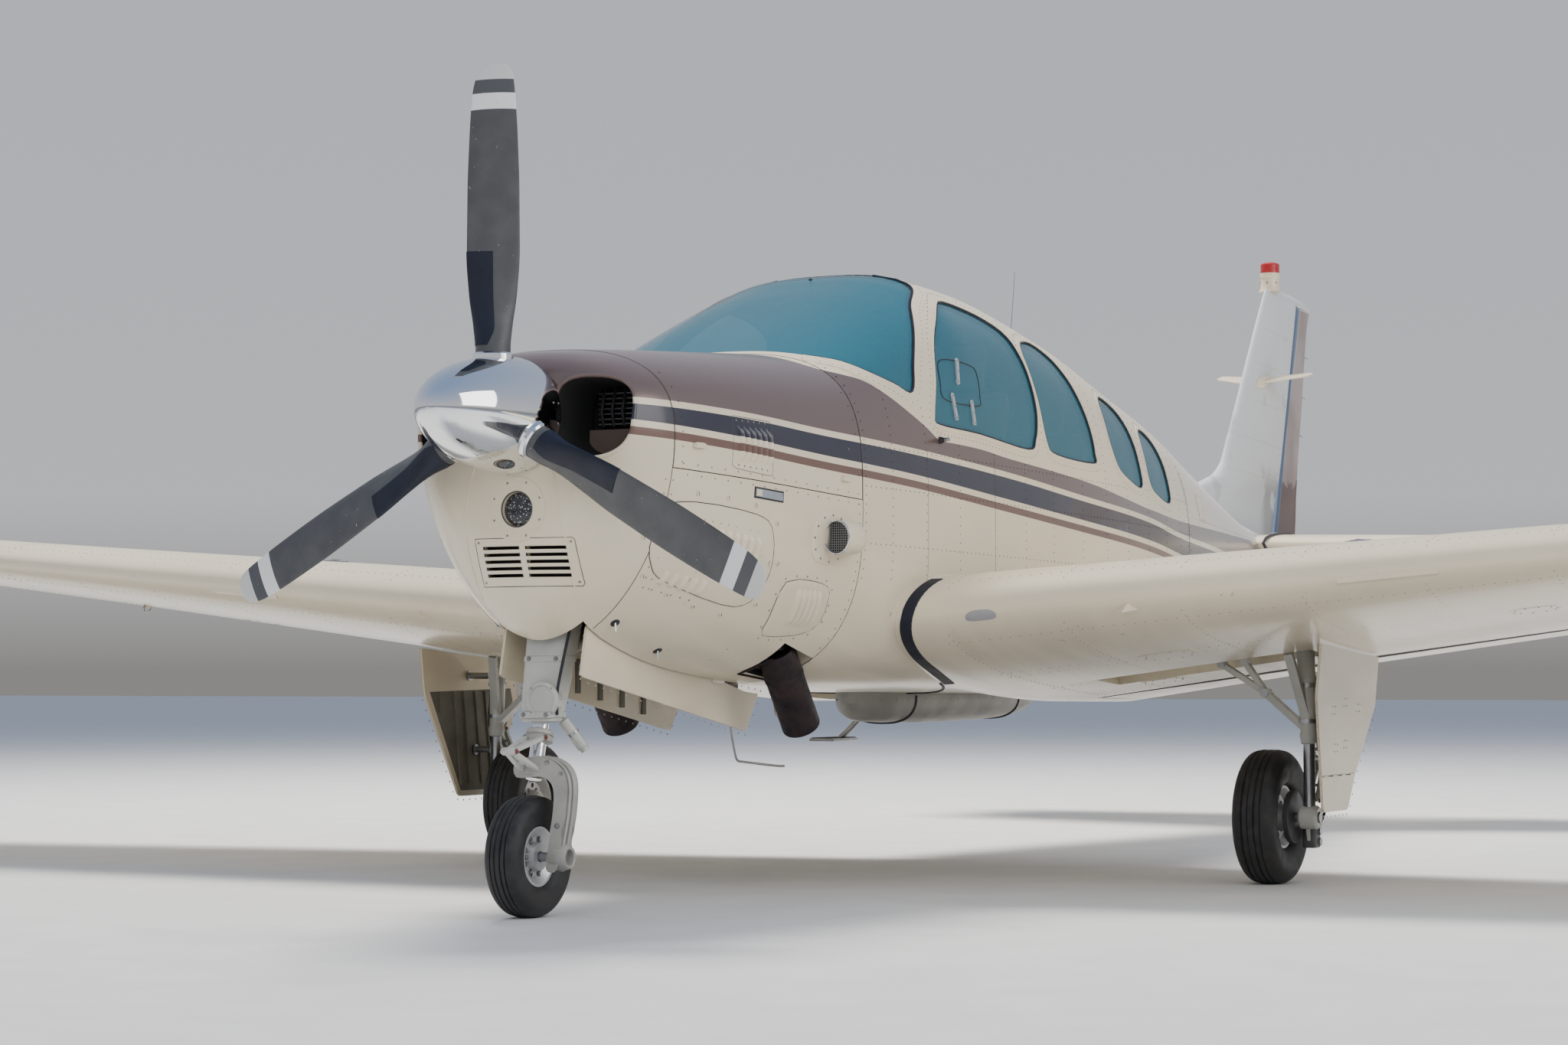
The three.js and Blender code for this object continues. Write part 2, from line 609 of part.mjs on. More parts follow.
function hingedNose(inner, outer, innerRadius, outerRadius, spare) {
  const along = new THREE.Vector3(...outer).sub(new THREE.Vector3(...inner));
  along.normalize().multiplyScalar(spare);
  const [from, to] = [along.clone().negate().add(new THREE.Vector3(...inner)),
    along.clone().add(new THREE.Vector3(...outer))];
  return rod(from.toArray(), to.toArray(), innerRadius, outerRadius, 16);
}

function wingWithSurfaces(fuselage) {
  const whole = wholeWing();
  let wing = cut(whole, fuselage);
  const surfaces = [FLAP, AILERON].map((spec) => {
    const inner = hingeLine(spec, spec.inner);
    const outer = hingeLine(spec, spec.outer);
    wing = cut(wing,
      hingedNose(inner.point, outer.point, inner.radius + COVE_CLEARANCE, outer.radius + COVE_CLEARANCE,
        CLEARANCE),
      behindHinge(inner.point, outer.point, CLEARANCE, CLEARANCE));
    return join(whole.intersect(behindHinge(inner.point, outer.point, 0, 0)),
      hingedNose(inner.point, outer.point, inner.radius, outer.radius, 0));
  });
  return { wing, flap: surfaces[0], aileron: surfaces[1] };
}

// A tie-down lug under the wing, with a flat lower face
function tieDownLug() {
  const at = wingPoint(TIE_DOWN.y, TIE_DOWN.share);
  return block([at.x - TIE_DOWN.length / 2, TIE_DOWN.y - TIE_DOWN.width / 2, TIE_DOWN.z],
    [at.x + TIE_DOWN.length / 2, TIE_DOWN.y + TIE_DOWN.width / 2, at.z]);
}

// The bay in the wing's underside that the leg folds into, and its sloping ceiling
function bayCeiling(y) {
  const rise = (LEG_BAY.outerTop - LEG_BAY.innerTop) / (LEG_BAY.outer - LEG_BAY.inner);
  return LEG_BAY.innerTop + (y - LEG_BAY.inner) * rise;
}

function legBay() {
  const { inner, outer, innerTop, outerTop, half } = LEG_BAY;
  const outline = [[inner, LEG_BAY.low], [outer, LEG_BAY.low], [outer, outerTop], [inner, innerTop]];
  return frontCut(outline, -WHEELBASE - half, -WHEELBASE + half);
}

function tailplaneBody(grow, rows = TAILPLANE_SECTIONS) {
  const rings = [...rows.slice(1).reverse().map((row) => [...row, -1]), ...rows.map((row) => [...row, 1])];
  return loft(rings.map(([y, front, chord, thickness, side]) => (
    foilRing(front + grow, chord + 2 * grow, thickness + 2 * grow / chord, 0, 0, 18)
      .map(([x, rise]) => [x, side * y, TAILPLANE_Z + rise]))));
}

function tailplaneAndElevator() {
  const whole = tailplaneBody(0);
  const noseRadius = 38;
  const hinge = (y) => [TAILPLANE_HINGE_X, y, TAILPLANE_Z];
  const ends = TAILPLANE_HALF_SPAN + 10;
  const rearBlock = block([-FAR * 2, -ends, 0], [TAILPLANE_HINGE_X, ends, FAR]);
  const rearWallX = TAILPLANE_HINGE_X + noseRadius + 26;
  const hollow = tailplaneBody(-TAILPLANE_SKIN, TAILPLANE_SECTIONS.slice(0, 4))
    .intersect(block([rearWallX, -ends, 0], [0, ends, FAR]));
  const hatch = block([-6500, -60, 0], [-6300, 60, TAILPLANE_Z]);
  const plane = cut(whole, hollow, hatch,
    rod(hinge(-ends), hinge(ends), noseRadius + CLEARANCE),
    block([-FAR * 2, -ends, 0], [TAILPLANE_HINGE_X + CLEARANCE, ends, FAR]));
  const half = (side) => {
    const shape = [[TAILPLANE_HINGE_X + 60, ELEVATOR_INNER.hinge], [TAILPLANE_HINGE_X, ELEVATOR_INNER.hinge],
      [TAILPLANE_HINGE_X - 480, ELEVATOR_INNER.tail], [TAILPLANE_HINGE_X - 480, ends],
      [TAILPLANE_HINGE_X + 60, ends]].map(([x, y]) => new THREE.Vector2(x, side * y));
    const prism = new THREE.ExtrudeGeometry(new THREE.Shape(shape), { depth: FAR, bevelEnabled: false });
    const tipY = TAILPLANE_HALF_SPAN - 90;
    const nose = rod(hinge(side * ELEVATOR_INNER.hinge), hinge(side * tipY), noseRadius, noseRadius * 0.7);
    return join(whole.intersect(rearBlock), nose).intersect(solid(prism));
  };
  const tube = rod(hinge(-ELEVATOR_INNER.hinge - 5), hinge(ELEVATOR_INNER.hinge + 5), TORQUE_TUBE_RADIUS);
  return { plane, elevator: join(half(1), half(-1), tube) };
}

// Fin and rudder from one body, parted at the rudder's hinge line
function finRing(z) {
  const s = rowAt(FIN_SECTIONS, FIN_COLUMNS, z);
  const chord = s.front - s.back;
  return foilRing(s.front, chord, 2 * s.half / chord, 0, 0, 16).map(([x, out]) => [x, out, z]);
}

function finAndRudder(fuselage) {
  const heights = [...FIN_SECTIONS.map(([z]) => z), 2120].sort((low, high) => low - high);
  const whole = loft(heights.map(finRing));
  const along = (z) => {
    const [[x0, z0], [x1, z1]] = [RUDDER_HINGE.bottom, RUDDER_HINGE.top];
    return x0 + (x1 - x0) * (z - z0) / (z1 - z0);
  };
  const hingeAt = (z) => [along(z), 0, z];
  const noseBottom = 36;
  const noseTop = 24;
  const behindRudderHinge = (shift, z0, z1) => sideCut(
    [[along(z0) + shift, z0], [along(z1) + shift, z1], [-FAR * 2, z1], [-FAR * 2, z0]], -FAR, FAR);
  const nose = rod(hingeAt(RUDDER_BOTTOM_Z - 20), hingeAt(RUDDER_TOP_Z + 20), noseBottom, noseTop)
    .intersect(block([-FAR * 2, -FAR, RUDDER_BOTTOM_Z], [0, FAR, RUDDER_TOP_Z]));
  const rear = whole.intersect(behindRudderHinge(0, RUDDER_BOTTOM_Z, RUDDER_TOP_Z));
  const top = RUDDER_TOP_Z + CLEARANCE;
  const fin = cut(whole, fuselage, tailplaneBody(GAP),
    rod(hingeAt(1200), hingeAt(top), noseBottom + CLEARANCE, noseTop + CLEARANCE),
    behindRudderHinge(CLEARANCE, 1200, top));
  const BLADE = { z: 2050, front: -6480, back: -6650, reach: 230, sweep: 185, tip: 75, thickness: 9, rise: 0.25 };
  const outline = (side) => [[BLADE.front, side * 4], [BLADE.front - BLADE.sweep, side * BLADE.reach],
    [BLADE.front - BLADE.sweep - BLADE.tip, side * BLADE.reach], [BLADE.back, side * 4]];
  const blades = [1, -1].map((side) => {
    const points = outline(side).map(([x, y]) => new THREE.Vector2(x, y));
    const plate = new THREE.ExtrudeGeometry(new THREE.Shape(points),
      { depth: BLADE.thickness, bevelEnabled: false });
    plate.translate(0, 0, BLADE.z);
    return solid(plate).warp((vertex) => {
      vertex[2] += (BLADE.front - vertex[0]) * BLADE.rise;
    });
  });
  return { fin: join(fin, ...blades), rudder: join(rear, nose) };
}

function beacon() {
  const profile = [[0, BEACON.base + 8], [BEACON.radius - 4, BEACON.base + 8], [BEACON.radius, BEACON.lens],
    [BEACON.radius, BEACON.top - 12], [BEACON.radius - 14, BEACON.top], [0, BEACON.top]];
  const shape = new THREE.LatheGeometry(profile.map(([r, z]) => new THREE.Vector2(r, z)), 16);
  shape.rotateX(Math.PI / 2);
  shape.translate(BEACON.x, 0, 0);
  return solid(shape);
}

// Spinner: a pointed cap with a pocket for each blade's round shank
function bladeDirection(index) {
  const angle = index / BLADE_COUNT * 2 * Math.PI;
  return [0, Math.sin(angle), Math.cos(angle)];
}

function alongBlade(index, radius) {
  const [, dy, dz] = bladeDirection(index);
  return [PROP_X, dy * radius, HUB_Z + dz * radius];
}

function spinner() {
  const length = SPINNER_TIP_X - SPINNER_BACK_X;
  const profile = [[0, 0], [SPINNER_RADIUS - 6, 0], [SPINNER_RADIUS, 8]];
  for (const share of [0.2, 0.35, 0.5, 0.65, 0.78, 0.89, 0.96]) {
    profile.push([SPINNER_RADIUS * Math.sqrt(1 - share ** 1.9), share * length]);
  }
  profile.push([0, length]);
  const shape = new THREE.LatheGeometry(profile.map(([r, x]) => new THREE.Vector2(r, x)), 20);
  shape.rotateZ(-Math.PI / 2);
  shape.translate(SPINNER_BACK_X, 0, HUB_Z);
  let body = solid(shape);
  for (let index = 0; index < BLADE_COUNT; index += 1) {
    body = cut(body, rod(alongBlade(index, SHANK_START - GAP), alongBlade(index, PROP_RADIUS),
      (SHANK_RADIUS + GAP) / Math.cos(Math.PI / BLADE_POINTS), undefined, BLADE_POINTS));
  }
  return body;
}

// Blade: radius, chord, thickness, blade angle and how far the section sits behind the hub's centre
const BLADE_SECTIONS = [
  [SHANK_START, 104, 104, 0, 0],
  [190, 102, 100, 10, 0],
  [250, 112, 72, 38, 0],
  [340, 136, 40, 33, 0],
  [480, 154, 26, 26, 0],
  [640, 154, 19, 20, 0],
  [800, 146, 14, 16, 0],
  [920, 132, 11, 14, 0],
  [990, 108, 8, 13, 4],
  [PROP_RADIUS, 56, 5, 12, 10],
];

function blade(index) {
  const rings = BLADE_SECTIONS.map(([radius, chord, thickness, angle, lag]) => {
    const pitch = THREE.MathUtils.degToRad(90 - angle);
    const ring = [];
    for (let i = 0; i < BLADE_POINTS; i += 1) {
      const turn = i / BLADE_POINTS * 2 * Math.PI;
      const across = Math.cos(turn) * chord / 2 - lag;
      const thick = Math.sin(turn) * thickness / 2;
      ring.push([across * Math.cos(pitch) + thick * Math.sin(pitch),
        thick * Math.cos(pitch) - across * Math.sin(pitch), radius]);
    }
    return ring;
  });
  return loft(rings).rotate([-index / BLADE_COUNT * 360, 0, 0]).translate([PROP_X, 0, HUB_Z]);
}

// A tyre as a ring, and the rim inside it with its hub and a few holes
function tyre(wheel, centre) {
  const half = wheel.width / 2;
  const flank = [
    [wheel.rim + 1, 0.6], [wheel.rim + 18, 0.84], [wheel.radius * 0.78, 1], [wheel.radius * 0.89, 0.93],
    [wheel.radius * 0.97, 0.7], [wheel.radius, 0.36],
  ];
  const profile = [...flank.map(([radius, share]) => [radius, -half * share]),
    ...[...flank].reverse().map(([radius, share]) => [radius, half * share]), [wheel.rim + 1, -half * 0.6]];
  return turnedAboutY(profile, centre);
}

function rim(wheel, centre, bore) {
  const half = wheel.width / 2;
  const edge = wheel.rim;
  const profile = [
    [bore, -half * 0.7], [bore + 26, -half * 0.7], [bore + 30, -half * 0.3], [edge - 16, -half * 0.3],
    [edge - 12, -half * 0.6], [edge, -half * 0.6], [edge, half * 0.6], [edge - 12, half * 0.6],
    [edge - 16, half * 0.3], [bore + 30, half * 0.3], [bore + 26, half * 0.7], [bore, half * 0.7],
    [bore, -half * 0.7],
  ];
  let body = turnedAboutY(profile, centre);
  const HOLES = 5;
  for (let i = 0; i < HOLES; i += 1) {
    const angle = i / HOLES * 2 * Math.PI;
    const radius = (bore + 30 + edge - 16) / 2;
    const [x, z] = [centre[0] + Math.cos(angle) * radius, centre[2] + Math.sin(angle) * radius];
    body = cut(body, rod([x, centre[1] - half, z], [x, centre[1] + half, z], 10, 10, 6));
  }
  return body;
}

// Nose leg: the fixed housing of the strut with its light and its trunnion beam
function strutPoint(share, y = 0) {
  const [x0, z0] = NOSE_STRUT.bottom;
  const [x1, z1] = NOSE_STRUT.top;
  return [x0 + (x1 - x0) * share, y, z0 + (z1 - z0) * share];
}

function noseLeg() {
  const HOUSING = [[0.478, 54, 38], [0.56, 60, 42], [0.78, 70, 46], [0.97, 78, 46]];
  const CHAMFER = 12;
  const housing = loft(HOUSING.map(([share, half, depth]) => {
    const [x, , z] = strutPoint(share);
    const side = [[depth, half - CHAMFER], [depth - CHAMFER, half], [CHAMFER - depth, half],
      [-depth, half - CHAMFER]];
    const ring = [[depth, 0], ...side, [-depth, 0], ...[...side].reverse().map(([dx, y]) => [dx, -y])];
    return ring.map(([dx, y]) => [x + dx, y, z]);
  }));
  const PIVOT = { share: 0.94, half: 124, radius: 26 };
  const pivotEnds = [-1, 1].map((side) => strutPoint(PIVOT.share, side * PIVOT.half));
  const trunnion = rod(...pivotEnds, PIVOT.radius);
  const LIGHT = { back: -92, front: -28, y: 24, z: 634, radius: 54 };
  const light = rod([LIGHT.back, LIGHT.y, LIGHT.z], [LIGHT.front, LIGHT.y, LIGHT.z], LIGHT.radius - 6,
    LIGHT.radius, 16);
  const REAR = { x: -430, z: 905, half: 160, radius: 16 };
  const web = bar(strutPoint(0.62), [REAR.x + 10, 0, REAR.z - 25], 34, 26, [0, 1, 0]);
  const braces = [1, -1].map((side) => rod([-90, side * 30, 740], [REAR.x, side * 96, REAR.z], 14));
  const cross = rod([REAR.x, -REAR.half, REAR.z], [REAR.x, REAR.half, REAR.z], REAR.radius);
  const mounts = [1, -1].map((side) => (
    rod([REAR.x, side * (REAR.half - 4), REAR.z],
      [FIREWALL_X + 3, side * (REAR.half + 25), REAR.z + 75], 14)));
  return join(housing, trunnion, light, web, ...braces, cross, ...mounts);
}

// Nose fork: steering collar, piston, torque links and a one-sided fork with the axle; it steers the wheel
function noseFork() {
  const axleZ = NOSE_WHEEL.radius;
  const piston = rod(strutPoint(0.27), strutPoint(0.42), 23, 23, 16);
  const collar = rod(strutPoint(0.4), strutPoint(0.445), 42, 42, 16);
  const clamp = rod(strutPoint(0.275), strutPoint(0.325), 36, 36, 16);
  const ARM = [
    [-38, 454], [40, 462], [96, 440], [124, 392], [127, 310], [119, 232], [112, 150],
    [84, 150], [90, 232], [97, 310], [94, 372], [74, 404], [34, 418], [-38, 414],
  ];
  const top = strutPoint(0.31);
  const arm = frontCut(ARM, -34, 34).warp((vertex) => {
    vertex[0] += top[0] * (vertex[2] - axleZ) / (top[2] - axleZ);
  });
  const boss = rod([0, 84, axleZ], [0, 140, axleZ], 38, 34, 16);
  const axle = rod([0, -60, axleZ], [0, 100, axleZ], 14);
  const APEX = [110, 0, 487];
  const links = [1, -1].flatMap((side) => [0.3, 0.42].map((share) => (
    bar(strutPoint(share, side * 27), [APEX[0], side * 9, APEX[2]], 18, 13, [0, 1, 0]))));
  const apex = rod([APEX[0], -24, APEX[2]], [APEX[0], 24, APEX[2]], 12);
  return join(piston, collar, clamp, arm, boss, axle, ...links, apex);
}

function noseDoor(side) {
  const inner = NOSE_BAY.half - 14;
  const outline = [[-96, 850], [-62, 706], [-1096, 528], [-1181, 642], [-1086, 650], [-256, 832]];
  const plate = sideCut(outline, inner, inner + 8);
  const hinges = [[-306, 790, 850], [-906, 678, 716]].map(([x, low, high]) => (
    block([x - 40, inner + 7, low], [x + 40, NOSE_BAY.half - GAP, high])));
  const door = join(plate, ...hinges);
  return side > 0 ? door : mirrored(door);
}

// Main leg: strut, trunnion, side brace, torque links and axle, with the wheel on its inner side
function mainLeg() {
  const x = -WHEELBASE;
  const y = MAIN_STRUT_Y;
  const axleZ = MAIN_WHEEL.radius;
  const PIVOT_Z = 812;
  const pivotHalf = LEG_BAY.half - GAP;
  const strut = rod([x, y, 470], [x, y - 10, PIVOT_Z - 12], 36, 40, 14);
  const piston = rod([x, y, axleZ], [x, y, 480], 24, 24, 14);
  const trunnion = rod([x - pivotHalf, y - 10, PIVOT_Z], [x + pivotHalf, y - 10, PIVOT_Z], 26);
  const arm = bar([x, y, 525], [x + 90, y, 772], 30, 22, [0, 1, 0]);
  const axle = rod([x, HALF_TRACK - 78, axleZ], [x, y + 38, axleZ], 16);
  const foot = rod([x, y - 32, axleZ], [x, y + 32, axleZ], 40, 40, 14);
  const BRACE = {
    low: [x, y - 7, 518], joint: [x, 1451, 641], inner: [x, 1297, 737], outer: [x, 1378, 745],
  };
  const segments = [[BRACE.low, 40, 24], [BRACE.inner, 34, 20], [BRACE.outer, 30, 20]];
  const braces = segments.map(([end, width, depth]) => (
    bar(end, BRACE.joint, width, depth, [1, 0, 0])));
  const lugs = [BRACE.inner, BRACE.outer].map(([, lugY, lugZ]) => (
    block([x - 17, lugY - 14, lugZ - 8], [x + 17, lugY + 14, bayCeiling(lugY - 14) - GAP])));
  const upperLink = bar([x - 30, y, 500], [x - 118, y, 392], 44, 14, [0, 1, 0]);
  const lowerLink = bar([x - 118, y, 392], [x - 26, y, 280], 44, 14, [0, 1, 0]);
  return join(strut, piston, trunnion, arm, axle, foot, ...braces, ...lugs, upperLink, lowerLink);
}

// The leg's door: a plate that leans out with the leg, ends below the wing and hangs on two posts
function mainDoor(wing) {
  const x = -WHEELBASE;
  const LEAN = { y: 1682, z: 250, slope: 0.1, thickness: 9 };
  const tilt = (z) => LEAN.y + (z - LEAN.z) * LEAN.slope;
  const outline = [
    [x + 305, 800], [x + 305, 630], [x + 130, 250], [x - 130, 250], [x - 176, 367], [x - 338, 595],
    [x - 330, 780],
  ];
  const plate = sideCut(outline, 0, LEAN.thickness).warp((vertex) => {
    vertex[1] += tilt(vertex[2]);
  });
  const posts = [[700, 1633], [420, 1625]].map(([z, from]) => rod([x, from, z], [x, tilt(z) + 4, z], 12));
  return join(cut(plate, wing.translate([0, 0, -CLEARANCE])), ...posts);
}

// Instrument panel with its coaming, a pedestal and two control wheels
const PANEL = {
  back: -1545, front: -1510, half: 500, low: 1290, top: 1640,
  coamingHalf: 470, coamingBack: -1560, coamingFront: -1330, coamingTop: 1664,
  pedestalHalf: 220, pedestalFront: -1400,
};
const YOKE = { y: 260, x: -1722, depth: 26, low: 1447, top: 1545, half: 110, grip: 26, shaftStart: -1520 };

function controlWheel(y) {
  const back = YOKE.x - YOKE.depth;
  const bar = block([back, y - YOKE.half + YOKE.grip / 2, YOKE.low], [YOKE.x, y + YOKE.half - YOKE.grip / 2,
    YOKE.low + YOKE.grip]);
  const grips = [1, -1].map((side) => {
    const [y0, y1] = [y + side * YOKE.half, y + side * (YOKE.half - YOKE.grip)];
    return block([back, Math.min(y0, y1), YOKE.low], [YOKE.x, Math.max(y0, y1), YOKE.top]);
  });
  const shaft = rod([YOKE.shaftStart, y, YOKE.low - 17],
    [YOKE.x - YOKE.depth / 2, y, YOKE.low], YOKE.grip / 2,
    YOKE.grip / 2, 8);
  return join(shaft, bar, ...grips);
}

function instrumentPanel() {
  const board = block([PANEL.back, -PANEL.half, PANEL.low], [PANEL.front, PANEL.half, PANEL.top]);
  const coaming = block([PANEL.coamingBack, -PANEL.coamingHalf, PANEL.top],
    [PANEL.coamingFront, PANEL.coamingHalf, PANEL.coamingTop]);
  const pedestal = block([PANEL.back, -PANEL.pedestalHalf, FLOOR_Z + GAP],
    [PANEL.pedestalFront, PANEL.pedestalHalf, PANEL.low + 10]);
  return join(board, coaming, pedestal, controlWheel(YOKE.y), controlWheel(-YOKE.y));
}

// A pair of seats on one base: x is the middle of the cushions, half their half width, spread their distance
// from the middle of the cabin and rise the height of the backs against the front ones
const CUSHION = { half: 235, low: 80, top: 290 };
const SEAT_BASE = { half: 190, spare: 60, top: 90 };
const SEAT_BACK = { foot: 180, low: 250, top: 830, lean: 120, thickness: [110, 80] };
const HEADREST = { low: 815, top: 1010, half: 45, share: 0.55 };

function seatPair(x, half, spread, rise = 1) {
  const baseHalf = spread + SEAT_BASE.spare;
  const bodies = [block([x - SEAT_BASE.half, -baseHalf, FLOOR_Z + GAP],
    [x + SEAT_BASE.half, baseHalf, FLOOR_Z + SEAT_BASE.top])];
  const foot = x - SEAT_BACK.foot;
  const topFront = foot - 30 - SEAT_BACK.lean;
  const backTop = FLOOR_Z + SEAT_BACK.top * rise;
  const [lowDepth, topDepth] = SEAT_BACK.thickness;
  const backLow = FLOOR_Z + SEAT_BACK.low;
  const backOutline = [[foot, backLow], [foot - lowDepth, backLow], [topFront - topDepth, backTop],
    [topFront, backTop]];
  const headX = topFront - HEADREST.half;
  for (const y of [spread, -spread]) {
    bodies.push(block([x - CUSHION.half, y - half, FLOOR_Z + CUSHION.low],
      [x + CUSHION.half, y + half, FLOOR_Z + CUSHION.top]));
    bodies.push(sideCut(backOutline, y - half, y + half));
    bodies.push(block([headX - HEADREST.half, y - half * HEADREST.share, FLOOR_Z + HEADREST.low * rise],
      [headX + HEADREST.half, y + half * HEADREST.share, FLOOR_Z + HEADREST.top * rise]));
  }
  return join(...bodies);
}

// Exhaust: a riser from the engine and a wide round stack that leaves through the outlet in the cowl
function exhaust(side, cabin) {
  const at = ([x, z]) => [x, side * EXHAUST.y, z];
  const stack = rod(at(EXHAUST.top), at(EXHAUST.outlet), EXHAUST.radius, EXHAUST.radius, 18);
  const riser = rod(at(EXHAUST.riser), at(EXHAUST.top), 36, 36, 12);
  return cut(join(stack, riser), cabin);
}

// Belly fairing: a boat-shaped cover; the columns are x, half width and lowest height
function bellyFairing() {
  const TOP = 629;
  const columns = [
    [-2165, 30, 600], [-2290, 120, 536], [-2700, 150, 528],
    [-3200, 150, 532], [-3560, 110, 556], [-3675, 30, 590],
  ];
  return loft(columns.map(([x, half, low]) => {
    const side = [[half * 0.8, TOP], [half, (low + TOP) / 2], [half * 0.55, low]];
    return [[x, 0, TOP], ...side.map(([y, z]) => [x, y, z]), [x, 0, low],
      ...[...side].reverse().map(([y, z]) => [x, -y, z])];
  }));
}

function boardingStep() {
  const STEP = { top: [-3150, -335, 640], foot: [-3125, -500, 462], radius: 12 };
  const TREAD = { low: [-3225, -585, 446], high: [-3005, -480, 462] };
  return join(rod(STEP.top, STEP.foot, STEP.radius), block(TREAD.low, TREAD.high));
}

// The aircraft
const aircraft = new THREE.Group();
aircraft.position.x = NOSE_WHEEL_X;

function add(name, body, material) {
  const mesh = new THREE.Mesh(geometryOf(body), material);
  mesh.name = name;
  aircraft.add(mesh);
}

function addPair(name, body, material) {
  add(`${name}_left`, body, material);
  add(`${name}_right`, mirrored(body), material);
}

// Engine bay and propeller
const cowl = cowlPieces();
add('nose_bowl', noseBowl(), TAUPE);
add('cowl_lower', cowl.lower, IVORY);
add('cowl_hinge_strip', cowl.strip, TAUPE);
addPair('cowl_door', cowl.door, TAUPE);
add('engine', engine(), CASTING);
add('spinner', spinner(), CHROME);
for (let index = 0; index < BLADE_COUNT; index += 1) {
  add(`propeller_blade_${index + 1}`, blade(index), BLADE_GREY);
}

// Wings with flaps and ailerons
const cabinSolid = fuselagePart(CABIN_SECTIONS, FIREWALL_X - GAP, CABIN_BACK_X + GAP, -GAP, SECTION_STEP);
const wingSet = wingWithSurfaces(cabinSolid);
addPair('wing', join(cut(wingSet.wing, legBay()), tieDownLug()), IVORY);
addPair('flap', wingSet.flap, IVORY);
addPair('aileron', wingSet.aileron, IVORY);

// Tail
const tail = tailplaneAndElevator();
const tailConeSolid = fuselagePart(CABIN_SECTIONS, CABIN_BACK_X, TAIL_END_X, -GAP, TAIL_STEP);
const upright = finAndRudder(tailConeSolid);
add('tail_cone', tailCone(tailplaneBody(GAP)), IVORY);
add('tailplane', tail.plane, IVORY);
add('elevator', tail.elevator, IVORY);
add('fin', upright.fin, WHITE);
add('rudder', upright.rudder, TAUPE);
add('beacon', beacon(), RED);

// Cabin with its doors and windows
const DOORS = [
  { name: 'cabin_door', outline: CABIN_DOOR, window: WINDOWS[0], hingeX: -1500, sign: 1 },
  { name: 'cargo_door_front', outline: CARGO_DOOR_FRONT, window: WINDOWS[2], hingeX: -3045, sign: 1 },
  { name: 'cargo_door_rear', outline: CARGO_DOOR_REAR, window: WINDOWS[3], hingeX: -3990, sign: -1 },
];
const doorSpaces = DOORS.flatMap((door) => (
  sweptOpening(door.outline, [door.hingeX, -halfWidthAt(door.hingeX, 1200)], door.sign)));
add('cabin_shell', cabinShell(doorSpaces), IVORY);
const wallLayer = shellLayer(0, CABIN_WALL);
const glassLayer = shellLayer(GLASS.outer, GLASS.outer + GLASS.thickness);
add('windscreen', glassLayer.intersect(sideCut(WINDSCREEN, -FAR, FAR, -GLASS.rim)), GLASS_TINT);
WINDOWS.forEach((outline, index) => {
  add(`window_left_${index + 1}`, glassLayer.intersect(sideCut(outline, 200, FAR, -GLASS.rim)), GLASS_TINT);
});
add('window_right_2', glassLayer.intersect(sideCut(WINDOW_RIGHT_2, -FAR, -200, -GLASS.rim)), GLASS_TINT);
DOORS.forEach((door) => {
  const leaf = wallLayer.intersect(sideCut(door.outline, -FAR, -200));
  add(door.name, cut(leaf, sideCut(door.window, -FAR, -200)), IVORY);
  add(`${door.name}_window`, glassLayer.intersect(sideCut(door.window, -FAR, -200, -GLASS.rim)), GLASS_TINT);
});
add('instrument_panel', instrumentPanel(), DARK);
add('front_seats', seatPair(-2080, 225, 270), SEAT);
add('middle_seats', seatPair(-2860, 215, 262, 0.88), SEAT);
add('rear_seats', seatPair(-3590, 190, 215, 0.8), SEAT);

// Landing gear
const NOSE_CENTRE = [0, 0, NOSE_WHEEL.radius];
add('nose_leg', noseLeg(), WHITE);
add('nose_fork', noseFork(), GREY);
add('nose_tyre', tyre(NOSE_WHEEL, NOSE_CENTRE), TYRE);
add('nose_rim', rim(NOSE_WHEEL, NOSE_CENTRE, 16), WHITE);
add('nose_gear_door_left', noseDoor(1), IVORY);
add('nose_gear_door_right', noseDoor(-1), IVORY);
const MAIN_CENTRE = [-WHEELBASE, HALF_TRACK, MAIN_WHEEL.radius];
addPair('main_leg', mainLeg(), WHITE);
addPair('main_leg_door', mainDoor(wholeWing()), IVORY);
addPair('main_tyre', tyre(MAIN_WHEEL, MAIN_CENTRE), TYRE);
addPair('main_rim', rim(MAIN_WHEEL, MAIN_CENTRE, 18), WHITE);

// Underside
const cabinRoom = fuselagePart(
  CABIN_SECTIONS, FIREWALL_X + CLEARANCE, CABIN_BACK_X, -CLEARANCE, SECTION_STEP,
);
addPair('exhaust', exhaust(1, cabinRoom), STEEL);
add('belly_fairing', bellyFairing(), GREY);
add('boarding_step', boardingStep(), GREY);

export default aircraft;
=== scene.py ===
# Light aircraft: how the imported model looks. Sizes, the camera and the finishes come first, then the
# functions for each group of pieces, and at the end the calls that make them, the floor and the lights.
import math

import bpy
import numpy as np
from mathutils import Matrix, Vector


